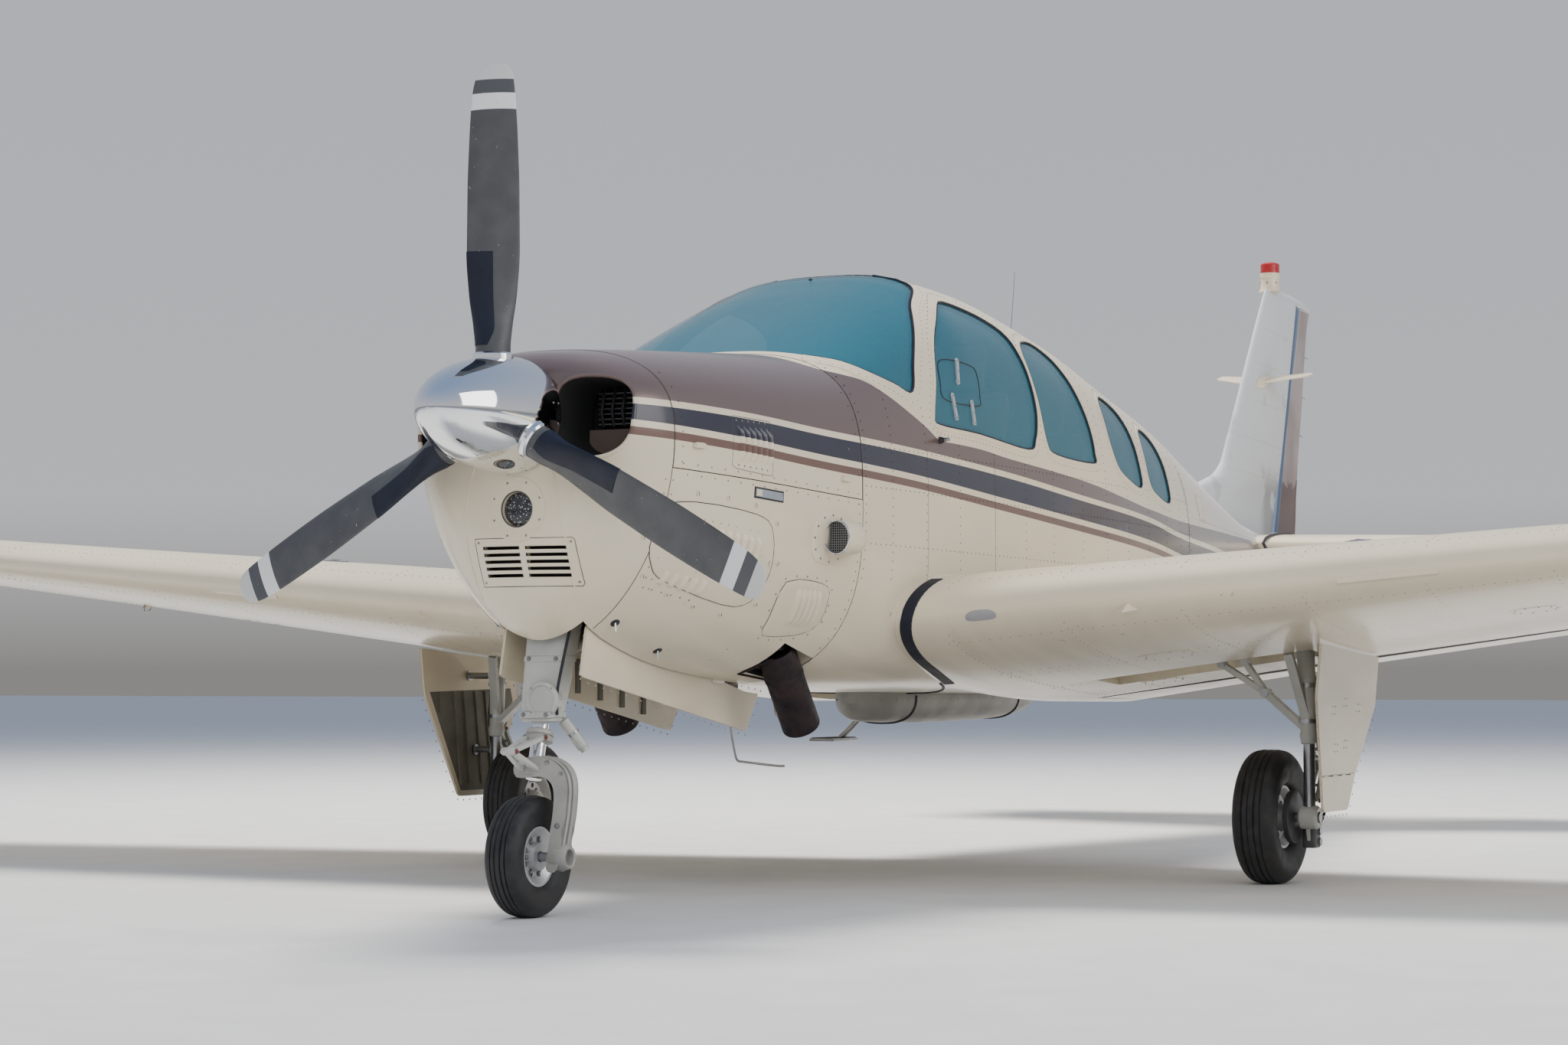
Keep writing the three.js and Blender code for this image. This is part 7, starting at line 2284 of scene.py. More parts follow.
def nose_leg():
    leg = Piece("nose_leg_form")
    rows = []
    for share, half, depth in ((0.472, 44, 28), (0.478, 54, 38), (0.52, 57, 40), (0.56, 60, 42),
                               (0.66, 65, 44), (0.78, 70, 46), (0.88, 75, 46), (0.965, 78, 46),
                               (0.972, 70, 38)):
        rows.append([strut_point(share, y, dx) for dx, y in soft_box(depth, half, 15)])
    leg.loft(rows, GEAR_WHITE)
    for share, grow in ((0.5, 3), (0.70, 3), (0.86, 3)):
        half, depth = np.interp(share, (0.478, 0.56, 0.78, 0.97), (54, 60, 70, 78)), 44
        rows = [[strut_point(share + s, y, dx) for dx, y in soft_box(depth + g, half + g, 16)]
                for s, g in ((-0.012, 0), (-0.009, grow), (0.009, grow), (0.012, 0))]
        leg.loft(rows, GEAR_WHITE)
        for y in (-0.7, 0.7):
            bolt(leg, strut_point(share, y * half, depth + grow - 1), (1, 0, 0.27), 6)
    start, end = strut_point(0.94, -124), strut_point(0.94, 124)
    leg.turned([(0, 20), (0.02, 26), (0.09, 26), (0.1, 34), (0.15, 34), (0.16, 26), (0.84, 26), (0.85, 34),
                (0.9, 34), (0.91, 26), (0.98, 26), (1, 20)], start, end, GEAR_WHITE, 28)
    light = TAXI_LIGHT
    back = (light["back"], light["y"], light["z"])
    leg.turned([(0, 34), (0.2, 44), (0.6, 47), (0.8, light["radius"]), (0.94, light["radius"]),
                (0.97, light["radius"] - 2), (1, light["radius"] - 10), (0.9, light["radius"] - 13)],
               back, (light["front"], light["y"], light["z"]), GEAR_WHITE, 40)
    for angle in around(4, 0.5):
        screw = [light["front"] - 1.5, light["y"] + math.cos(angle) * 49, light["z"] + math.sin(angle) * 49]
        leg.domes([(np.array(screw), np.array([1.0, 0, 0]))], 3.6, 1.8, FASTENER, 10)
    leg.rod((light["front"] - 20, light["y"], light["z"]), (light["front"] - 14, light["y"], light["z"]),
            43, BLACK)
    spots = [(ring * 14 * math.cos(a), ring * 14 * math.sin(a)) for ring, count in ((0, 1), (1, 6), (2, 12))
             for a in around(count)]
    for dy, dz in spots:
        place = np.array([light["front"] - 14, light["y"] + dy, light["z"] + dz])
        leg.turned([(0, 6.8), (0.4, 6.4), (0.75, 4.5), (1, 1.5)], place, place + (6, 0, 0), PLATE_BLUE, 12)
    leg.turned([(0, 12), (0.1, 22), (0.2, 18), (0.32, 24), (0.44, 18), (0.56, 24), (0.68, 18), (0.8, 23),
                (1, 14)],
               strut_point(0.86, -58, 20), strut_point(0.84, -112, -60), SEAL, 24)
    cross = NOSE_CROSS
    leg.bar(strut_point(0.62), (cross["x"] + 10, 0, cross["z"] - 25), 34, 22, (0, 1, 0), GEAR_WHITE)
    for side in (1, -1):
        leg.rod((-90, side * 30, 740), (cross["x"], side * 96, cross["z"]), 13, GEAR_WHITE)
        leg.rod((cross["x"], side * (cross["half"] - 4), cross["z"]),
                (FIREWALL_X + 6, side * (cross["half"] + 25), cross["z"] + 75), 13, GEAR_WHITE)
        leg.turned([(0, 17), (0.3, 22), (0.7, 22), (1, 17)], (cross["x"], side * 82, cross["z"]),
                   (cross["x"], side * 110, cross["z"]), STEEL)
    leg.rod((cross["x"], -cross["half"], cross["z"]), (cross["x"], cross["half"], cross["z"]),
            cross["radius"], GEAR_WHITE)
    damper, end = np.array([-112.0, 34.0, 592.0]), np.array([-156.0, 100.0, 484.0])
    leg.turned([(0, 9), (0.16, 9), (0.18, 18), (0.9, 18), (0.93, 14), (1, 13)], damper, end, GEAR_WHITE)
    leg.turned([(0, 20), (1, 20)], damper + (end - damper) * 0.5, damper + (end - damper) * 0.56, STEEL)
    hose = [strut_point(0.93, 66, 44), strut_point(0.84, 82, 48), strut_point(0.7, 76, 52),
            strut_point(0.58, 66, 44), strut_point(0.5, 62, 20)]
    leg.tube(rounded(hose, closed=False, pieces=5), 4.5, SEAL, 8)
    leg.make("airframe", "gear_steel", "nose_leg", sharp=38)


def torque_links(piece, low, high, apex, spread, tip, width, depth, material):
    """Two A-shaped links that meet at a pin, with bolts at their ends."""
    apex = np.array(apex, float)
    for end in (np.array(low, float), np.array(high, float)):
        for side in (1, -1):
            piece.bar(end + spread * side, apex + tip * side, width, depth, spread, material)
        piece.bar(end * 0.55 + apex * 0.45 - spread * 0.62, end * 0.55 + apex * 0.45 + spread * 0.62,
                  width * 0.7, depth, (0, 0, 1), material)
        for side in (1, -1):
            bolt(piece, end + spread * side * 1.3, spread * side, 6.5, BOLT_BROWN)
    piece.turned([(0, 9), (0.1, 12), (0.9, 12), (1, 9)], apex - tip * 2.6, apex + tip * 2.6, material)
    for side in (1, -1):
        bolt(piece, apex + tip * 2.6 * side, tip * side, 7, BOLT_BROWN)


def nose_fork():
    fork = Piece("nose_fork_form")
    axle_z = NOSE_WHEEL["radius"]
    fork.rod(strut_point(0.27), strut_point(0.47), 23, PISTON, None, 32)
    fork.turned([(0, 34), (0.1, 42), (0.4, 42), (0.45, 38), (0.55, 38), (0.6, 42), (0.9, 42), (1, 36)],
                strut_point(0.4), strut_point(0.445), FORK_GREY, 32)
    fork.turned([(0, 30), (0.1, 36), (0.9, 36), (1, 31)], strut_point(0.275), strut_point(0.325),
                FORK_GREY, 32)
    top = strut_point(0.31)
    line = rounded(NOSE_ARM, pieces=4)
    rows = []
    for x, inset in ((-34, 6), (-32, 2.5), (-27, 0), (27, 0), (32, 2.5), (34, 6)):
        ring = grown(line, -inset) if inset else line
        rows.append([(x * (1.0 - 0.1 * (z < 240)) + top[0] * (z - axle_z) / (top[2] - axle_z), y, z)
                     for y, z in ring])
    fork.loft(rows, FORK_GREY)
    ridge = [(-30, 460), (40, 466), (98, 443), (127, 393), (130, 310), (122, 232), (116, 180)]
    for x in (-12, 12):
        fork.tube([(x + top[0] * (z - axle_z) / (top[2] - axle_z), y, z)
                   for y, z in rounded(ridge, closed=False)],
                  4.5, FORK_GREY, 8)
    fork.turned([(0, 36), (0.3, 39), (0.8, 36), (0.94, 34), (1, 31), (0.96, 24), (0.4, 22), (0.38, 1)],
                (0, 84, axle_z), (0, 141, axle_z), FORK_GREY, 40)
    fork.rod((0, -60, axle_z), (0, 104, axle_z), 14, STEEL)
    fork.turned([(0, 17), (0.8, 17), (1, 13)], (0, 104, axle_z), (0, 120, axle_z), STEEL, 6)
    torque_links(fork, strut_point(0.3, 0, 20), strut_point(0.42, 0, 24), NOSE_APEX, np.array([0, 27.0, 0]),
                 np.array([0, 9.0, 0]), 17, 12, GEAR_WHITE)
    for y, z in ((60, 452), (108, 420), (120, 270)):
        bolt(fork, (34 + top[0] * (z - axle_z) / (top[2] - axle_z), y if z > 400 else 108, z), (1, 0, 0), 6)
    fork.make("nose_fork", "gear_steel", "nose_fork", sharp=38)


def nose_doors():
    door = Piece("nose_door_form")
    line = np.array(NOSE_DOOR, float)
    ring = rounded(line, pieces=1)
    fine = even(ring, 24, closed=True)
    inner = NOSE_DOOR_INNER
    rows = [[(x, y, z) for x, z in (grown(fine, -inset) if inset else fine)]
            for y, inset in ((inner, 2.5), (inner + 1.5, 0.5), (inner + 3, 0), (inner + 6, 0),
                             (inner + 7.4, 0.6), (inner + 8, 2.5))]
    door.loft(rows, CREAM_PAINT)
    for share in np.linspace(0.12, 0.88, 6):
        x = -120 - share * 900
        top = np.interp(x, (-1086, -256, -96), (650, 832, 850)) - 22
        low = np.interp(x, (-1096, -62), (528, 706)) + 20
        door.bar((x, inner - 4, low), (x, inner - 4, top), 22, 8, (1, 0, 0), BAY_DARK)
    heads = [(np.array([x, inner + 8, z]), np.array([0, 1.0, 0]))
             for x, z in even(grown(fine, -16), 46, closed=True)]
    door.domes(heads, 3.2, 1.2, SHADED_WING_RIVET, 8)
    for x, low, high in ((-306, 790, 850), (-906, 678, 716)):
        soft_block(door, (x - 40, inner + 7, low), (x + 40, NOSE_BAY_HALF - 0.4, high), 5, CREAM_PAINT)
        for dx in (-26, 26):
            bolt(door, (x + dx, inner - 1, (low + high) / 2 - 6), (0, -1, 0), 6)
    left, right = both_sides(door, "airframe")
    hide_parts("nose_gear_door_left")
    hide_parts("nose_gear_door_right")


LEG_PIVOT_Z = 812
SIDE_BRACE = {"low": (1593, 518), "joint": (1451, 641), "inner": (1297, 737), "outer": (1378, 745)}
LEG_DOOR = [(305, 800), (305, 630), (130, 250), (-130, 250), (-176, 367), (-338, 595), (-330, 780)]
LEG_DOOR_PLACE = {"y": 1682, "z": 250, "slope": 0.1, "thickness": 9, "seam": 367, "below_wing": 9}


def bay_ceiling(y):
    share = (y - LEG_BAY["inner"]) / (LEG_BAY["outer"] - LEG_BAY["inner"])
    return LEG_BAY["inner_top"] + (LEG_BAY["outer_top"] - LEG_BAY["inner_top"]) * share


def main_legs():
    leg = Piece("main_leg_form")
    x, y, axle_z = -WHEELBASE, MAIN_STRUT_Y, MAIN_WHEELS[0]["radius"]
    pivot_half = LEG_BAY["half"] - 0.4
    leg.turned([(0, 24), (0.01, 28), (0.06, 31), (0.1, 31), (0.12, 28), (0.6, 29), (0.62, 33), (0.68, 33),
                (0.7, 30), (0.98, 30), (1, 26)], (x, y, 470), (x, y - 10, LEG_PIVOT_Z - 12), GEAR_WHITE, 32)
    leg.rod((x, y, axle_z + 10), (x, y, 480), 20, STEEL, None, 32)
    start, end = (x - pivot_half, y - 10, LEG_PIVOT_Z), (x + pivot_half, y - 10, LEG_PIVOT_Z)
    leg.turned([(0, 22), (0.02, 26), (0.3, 26), (0.31, 33), (0.38, 33), (0.39, 26), (0.61, 26), (0.62, 33),
                (0.69, 33), (0.7, 26), (0.98, 26), (1, 22)], start, end, GEAR_WHITE, 28)
    leg.bar((x, y, 525), (x + 90, y - 40, 772), 30, 20, (0, 1, 0), GEAR_WHITE)
    leg.rod((x, HALF_TRACK - 78, axle_z), (x, y + 38, axle_z), 16, STEEL)
    leg.turned([(0, 34), (0.1, 40), (0.88, 40), (1, 33), (0.98, 20), (0.8, 18), (0.79, 1)],
               (x, y - 32, axle_z), (x, y + 34, axle_z), GEAR_WHITE, 32)
    at = {key: np.array([x, *value], float) for key, value in SIDE_BRACE.items()}
    for key, width, depth in (("low", 40, 22), ("inner", 34, 18), ("outer", 30, 18)):
        leg.bar(at[key], at["joint"], width, depth, (1, 0, 0), GEAR_WHITE)
        for side in (1, -1):
            leg.rod(at[key] + (side * width * 0.55, 0, 0), at[key] + (side * width * 0.3, 0, 0), 13, STEEL)
    leg.rod(at["joint"] - (26, 0, 0), at["joint"] + (26, 0, 0), 15, STEEL)
    for key in ("inner", "outer"):
        _, lug_y, lug_z = at[key]
        leg.block((x - 17, lug_y - 14, lug_z - 8), (x + 17, lug_y + 14, bay_ceiling(lug_y - 14) - 0.4),
                  GEAR_WHITE)
    torque_links(leg, (x - 28, y, 280), (x - 34, y, 500), (x - 118, y, 392), np.array([0, 18.0, 0]),
                 np.array([0, 9.0, 0]), 16, 12, GEAR_WHITE)
    soft_block(leg, (x - 102, 1560, 120), (x - 36, 1606, 192), 10, CALIPER)
    leg.rod((x - 86, 1560, 140), (x - 86, 1612, 140), 15, STEEL, 13)
    leg.rod((x - 86, 1560, 176), (x - 86, 1612, 176), 15, STEEL, 13)
    leg.bar((x - 48, 1584, 156), (x, 1590, axle_z), 40, 10, (0, 0, 1), GEAR_WHITE)
    hose = [(x - 70, 1606, 190), (x - 74, 1628, 240), (x - 50, 1640, 320), (x - 44, 1644, 420),
            (x - 20, 1644, 520), (x - 30, 1642, 640), (x - 20, 1630, 770)]
    leg.tube(rounded(hose, closed=False, pieces=5), 5, SEAL, 8)
    for z in (540, 660):
        leg.turned([(0, 33), (1, 33)], (x, y - 3, z), (x, y - 3, z + 14), STEEL, 28)
    left, right = both_sides(leg, "airframe")
    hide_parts("main_leg_left")
    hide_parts("main_leg_right")


def leg_doors():
    x = -WHEELBASE
    place = LEG_DOOR_PLACE

    def tilt(z):
        return place["y"] + (z - place["z"]) * place["slope"]
    outline = even(rounded([(x + dx, z) for dx, z in LEG_DOOR], pieces=1), 20, closed=True)
    plate = Piece("leg_door_plate")
    rows = [[(px, tilt(pz) + out, pz) for px, pz in (grown(outline, -inset) if inset else outline)]
            for out, inset in ((0, 3), (1.2, 0.6), (2.5, 0), (6.5, 0), (8, 0.8), (place["thickness"], 3))]
    plate.loft(rows, CREAM_PAINT)
    made = plate.make()
    wing = whole_wing("cutter")
    wing.data.transform(Matrix.Translation((0, 0, -place["below_wing"] * SCALE)))
    combine(made, [wing])
    dress_pair(made, "main_leg_door_{}_form", "airframe", "main_leg_door_{}")
    trim = Piece("leg_door_fittings")
    face = place["thickness"]
    seam = [(x - 170, place["seam"]), (x + 178, place["seam"])]
    trim.tube([(px, tilt(pz) + face - 0.6, pz) for px, pz in even(seam, 30)], 2.2, SEAM_DARK, 6)
    for px in np.linspace(x - 140, x + 150, 4):
        trim.rod((px - 22, tilt(place["seam"]) + face, place["seam"]),
                 (px + 22, tilt(place["seam"]) + face, place["seam"]), 4, CREAM_PAINT, None, 12)
    # The door's dimples are drawn as low domes in the darkened rivet paint: painted shade of the hollows.
    dimples = [(dx + a, z + b) for dx, z in ((-150, 590), (0, 610), (120, 585), (-40, 470), (60, 460))
               for a in (-14, 14) for b in (-12, 12)]
    heads = [(np.array([x + dx, tilt(z) + face, z]), np.array([0, 1.0, 0])) for dx, z in dimples]
    heads += [(np.array([px, tilt(pz) + face, pz]), np.array([0, 1.0, 0]))
              for px, pz in even(grown(outline, -18), 42, closed=True) if pz < 640]
    trim.domes(heads, 3.6, 1.2, SHADED_WING_RIVET, 8)
    for dx, low, high in ((-200, 520, 640), (-110, 290, 640), (-40, 290, 640), (40, 290, 640),
                          (110, 290, 640), (210, 560, 640)):
        trim.bar((x + dx, tilt(low) - 4, low), (x + dx, tilt(high) - 4, high), 24, 9, (1, 0, 0), BAY_DARK)
    lining = [(x + dx * 0.9, z) for dx, z in ((305, 640), (130, 268), (-130, 268), (-176, 372), (-338, 600),
                                              (-330, 650))]
    trim.loft([[(px, tilt(pz) - 1.6, pz) for px, pz in lining],
               [(px, tilt(pz) + 0.5, pz) for px, pz in lining]], BAY_DARK)
    for z, start in ((700, 1633), (420, 1625)):
        trim.rod((x, start, z), (x, tilt(z) + 2, z), 12, STEEL)
        trim.turned([(0, 20), (1, 18)], (x, tilt(z) - 10, z), (x, tilt(z) - 2, z), STEEL)
    both_sides(trim, "airframe")


def brake_discs():
    for wheel in MAIN_WHEELS:
        x, y, z = wheel["centre"]
        side = math.copysign(1, y)
        disc = Piece(f"brake_disc_{wheel['name']}")
        disc.turned([(0, 30), (0.3, 34), (0.42, 88), (0.9, 88), (1, 84)], (x, y + side * 54, z),
                    (x, y + side * 88, z), CALIPER, 48)
        disc.make(wheel["body"], "wheel_alloy")


def hub_caps():
    for wheel in (NOSE_WHEEL, *MAIN_WHEELS):
        x, y, z = wheel["centre"]
        half = wheel["width"] / 2
        side = -1 if wheel["name"] == "nose" else -math.copysign(1, y)
        caps = Piece(f"wheel_bolts_{wheel['name']}")
        count = 6
        radius = wheel["bore"] + 34
        for way in (1, -1):
            for angle in around(count):
                place = (x + math.cos(angle) * radius, y + way * half * 0.34, z + math.sin(angle) * radius)
                bolt(caps, place, (0, way, 0), 6)
        out = half * 0.7
        caps.turned([(0, wheel["bore"] + 22), (0.5, wheel["bore"] + 20), (0.9, wheel["bore"] + 10),
                     (1, wheel["bore"])],
                    (x, y + side * (out - 4), z), (x, y + side * (out + 12), z), ALLOY, 32)
        valve = (x + 62, y + side * half * 0.4, z)
        caps.rod(valve, (valve[0] + 4, y + side * half * 0.72, z), 4, BLACK, 3, 10)
        caps.make(wheel["body"], "wheel_alloy")


# Exhausts, belly and step
def exhausts():
    stack = Piece("exhaust_form")
    y = EXHAUST["y"]
    (x0, z0), (x1, z1) = EXHAUST["top"], EXHAUST["outlet"]
    radius = EXHAUST["radius"]
    stack.turned([(0, 40), (0, radius - 4), (0.04, radius), (0.3, radius), (0.31, radius + 2),
                  (0.35, radius + 2), (0.36, radius), (0.985, radius), (1, radius - 1.5), (1, radius - 5),
                  (0.9, radius - 5), (0.3, radius - 6), (0.3, 1)], (x0, y, z0), (x1, y, z1), BURNT, 48)
    inside_start = np.array([x0, y, z0]) * 0.62 + np.array([x1, y, z1]) * 0.38
    inside_end = inside_start + (np.array([x1, y, z1]) - (x0, y, z0)) * 0.02
    stack.rod(inside_start, inside_end, radius - 5, BLACK, None, 40)
    stack.rod((x0 + 58, y, 1214), (x0, y, z0), 34, BURNT, 36, 28)
    dress_pair(stack.make(), "exhaust_{}_form", "airframe", "exhaust_{}")
    soot = Piece("outlet_lips")
    for side in (1, -1):
        low_x, high_x = FIREWALL_X + 8, COWL_OUTLET_FRONT_X - 3
        y0, y1 = y - COWL_OUTLET_HALF + 1, y + COWL_OUTLET_HALF - 1
        path = [(low_x, y0), (high_x, y0), (high_x, y1), (low_x, y1)]
        line = [to_skin((px, side * py, 640), 0)[0] for px, py in even(path, 22)]
        soot.tube(line, 5, BURNT, 8)
    soot.make("airframe", "exhaust_steel")


FAIRING_COLUMNS = [(-2165, 30, 600), (-2290, 120, 536), (-2700, 150, 528), (-3200, 150, 532),
                   (-3560, 110, 556), (-3675, 30, 590)]
FAIRING_TOP = 629


def belly_fairing():
    fairing = Piece("belly_fairing_form")
    rows = []
    for x in np.linspace(-2165, -3675, 34):
        half, low = row_at(FAIRING_COLUMNS, x)
        ring = []
        for angle in np.linspace(-math.pi / 2, math.pi / 2, 21):
            s, c = math.sin(angle), math.cos(angle)
            ring.append((x, bulged(s, 0.75) * half, FAIRING_TOP - (FAIRING_TOP - low) * abs(c) ** 0.8))
        rows.append([(x, half * 0.98, FAIRING_TOP + 14), (x, -half * 0.98, FAIRING_TOP + 14)] + ring)
    fairing.loft(rows, FAIRING_GREY)
    for x in (-2420, -3340):
        half, low = row_at(FAIRING_COLUMNS, x)
        band = []
        for angle in np.linspace(-math.pi / 2, math.pi / 2, 25):
            s, c = math.sin(angle), math.cos(angle)
            band.append((x, bulged(s, 0.75) * (half + 1),
                         FAIRING_TOP - (FAIRING_TOP - low + 1) * abs(c) ** 0.8))
        fairing.tube(band, 5, BLACK, 8)
    heads = []
    for x in np.linspace(-2230, -3600, 22):
        half, low = row_at(FAIRING_COLUMNS, x)
        heads += [(np.array([x, side * half * 0.995, FAIRING_TOP - 14]), np.array([0, side * 1.0, 0]))
                  for side in (1, -1)]
    fairing.domes(heads, 3.6, 1.6, FASTENER, 8)
    fairing.make("airframe", "grey_plastic", "belly_fairing", sharp=50)


def boarding_step():
    step = Piece("boarding_step_form")
    step.tube(rounded([(-3152, -330, 648), (-3148, -352, 620), (-3132, -455, 510), (-3125, -500, 466),
                       (-3122, -512, 456)], closed=False, pieces=5), 12, STEEL, 20)
    step.turned([(0, 24), (0.4, 22), (1, 13)], (-3152, -328, 652), (-3148, -350, 622), CREAM_PAINT, 24)
    soft_block(step, (-3225, -585, 447), (-3005, -480, 459), 5, STEEL)
    for x in np.arange(-3212, -3010, 14):
        step.bar((x, -578, 460), (x, -487, 460), 7, 4, (1, 0, 0), BLACK)
    step.make("airframe", "gear_steel", "boarding_step")


# Cabin
PANEL = {"back": -1545, "front": -1510, "half": 500, "low": 1290, "top": 1640, "coaming_half": 470,
         "coaming_back": -1560, "coaming_front": -1330, "coaming_top": 1664, "pedestal_half": 220,
         "pedestal_front": -1400}
YOKE = {"y": 260, "x": -1722, "depth": 26, "low": 1447, "top": 1545, "half": 110, "grip": 26, "shaft": -1520}
DIAL_PITCH = 92


def dial(piece, y, z, radius=38):
    x = PANEL["back"]
    piece.turned([(0, radius + 4), (0.6, radius + 4), (1, radius)], (x + 1, y, z), (x - 5, y, z), BLACK, 28)
    piece.turned([(0, radius - 2), (1, radius - 3)], (x - 3, y, z), (x - 6, y, z), PANEL_DARK, 28)
    for angle in around(12):
        inner, outer = (radius - 11, radius - 6)
        piece.bar((x - 6.4, y + math.cos(angle) * inner, z + math.sin(angle) * inner),
                  (x - 6.4, y + math.cos(angle) * outer, z + math.sin(angle) * outer), 2.4, 0.8, (0, 1, 1),
                  CREAM_PAINT)
    piece.bar((x - 7, y, z), (x - 7, y + radius * 0.35, z + radius * 0.5), 3, 1, (0, 1, -1), CREAM_PAINT)


def yoke(piece, y):
    x, low, top = YOKE["x"] - YOKE["depth"] / 2, YOKE["low"] + 13, YOKE["top"] - 13
    half = YOKE["half"] - 13
    path = [(x, y - half, top), (x - 4, y - half, (top + low) / 2), (x, y - half + 14, low + 4),
            (x, y - 30, low), (x, y + 30, low), (x, y + half - 14, low + 4),
            (x - 4, y + half, (top + low) / 2), (x, y + half, top)]
    piece.tube(rounded(path, closed=False, pieces=5), 12, BLACK, 14)
    soft_block(piece, (x - 12, y - 36, low - 12), (x + 12, y + 36, low + 24), 7, PANEL_DARK, 0)
    piece.rod((YOKE["shaft"], y, YOKE["low"] - 17), (x, y, YOKE["low"] + 4), 12, PISTON)


def instrument_panel():
    board = Piece("instrument_panel_form")
    p = PANEL
    outline = [(-p["half"], p["low"]), (p["half"], p["low"]), (p["half"] - 10, p["top"] - 60),
               (p["half"] - 60, p["top"]), (60 - p["half"], p["top"]), (10 - p["half"], p["top"] - 60)]
    board.prism(rounded(outline, pieces=1), p["back"], p["front"], PANEL_DARK, 0)
    soft_block(board, (p["back"], -p["pedestal_half"], FLOOR_Z + 0.6),
               (p["pedestal_front"], p["pedestal_half"], p["low"] + 10), 18, TRIM)
    for row in range(2):
        for column in range(3):
            dial(board, 170 + column * DIAL_PITCH, 1560 - row * DIAL_PITCH)
            dial(board, -170 - column * DIAL_PITCH, 1560 - row * DIAL_PITCH, 34)
    for z in (1372, 1432, 1492, 1552, 1600):
        soft_block(board, (p["back"] - 7, -92, z - 24), (p["back"] + 2, 92, z + 22), 6, BLACK, 0)
        board.block((p["back"] - 8, -60, z - 12), (p["back"] - 6.5, 60, z + 12), PLATE_BLUE)
        for y in (-78, 78):
            board.turned([(0, 9), (1, 7.5)], (p["back"] - 6, y, z), (p["back"] - 17, y, z), BLACK, 16)
    for i, finish in enumerate((BLACK, BLACK, BOLT_BROWN)):
        y = -50 + i * 50
        board.rod((p["back"], y, 1322), (p["back"] - 60, y, 1326), 5, STEEL, None, 12)
        board.turned([(0, 10), (0.3, 17), (0.8, 17), (1, 9)], (p["back"] - 52, y, 1326),
                     (p["back"] - 78, y, 1327), finish, 20)
    for i in range(9):
        y = 150 + i * 27
        board.rod((p["back"], y, 1330), (p["back"] - 18, y, 1336), 3.4, PISTON, 4.4, 10)
    yoke(board, YOKE["y"])
    yoke(board, -YOKE["y"])
    board.make("airframe", "dark_trim", "instrument_panel")
    cover = Piece("coaming")
    rows = []
    for y in np.linspace(-p["coaming_half"], p["coaming_half"], 31):
        edge = min(1.0, (p["coaming_half"] - abs(y)) / 40)
        rise = math.sqrt(max(1 - (1 - edge) ** 2, 0.02))
        top = p["top"] + 4 + (p["coaming_top"] - p["top"] - 4) * rise
        rows.append([(p["coaming_front"], y, p["top"] + 1), (p["coaming_front"], y, top - 2),
                     (p["coaming_front"] - 60, y, top), (p["coaming_back"] + 60, y, top),
                     (p["coaming_back"] + 14, y, top - 2), (p["coaming_back"], y, top - 12),
                     (p["coaming_back"], y, p["top"] + 2), (p["coaming_back"] + 12, y, p["top"] + 0.5)])
    cover.loft(rows, COAMING)
    cover.make("airframe", "dark_trim", sharp=60)
    compass = Piece("compass")
    top = to_skin((-1830, 0, 2100), -60)[0]
    compass.rod(top + (12, 0, 58), top + (0, 0, 20), 6, BLACK, 6, 12)
    soft_block(compass, top - (26, 30, 26), top + (26, 30, 26), 14, BLACK)
    compass.turned([(0, 24), (1, 20)], top - (24, 0, 0), top - (31, 0, 0), PLATE_BLUE, 24)
    compass.make("airframe", "dark_trim")


SEAT_PAIRS = [("front", -2080, 225, 270, 1.0), ("middle", -2860, 215, 262, 0.88),
              ("rear", -3590, 190, 215, 0.8)]
CUSHION = {"half": 235, "low": 80, "top": 290}
SEAT_BACK = {"foot": 180, "low": 250, "top": 830, "lean": 120, "thick_low": 110, "thick_top": 80}
HEADREST = {"low": 815, "top": 1010, "half": 45, "share": 0.55}
PIPING_PLACE = 0.6


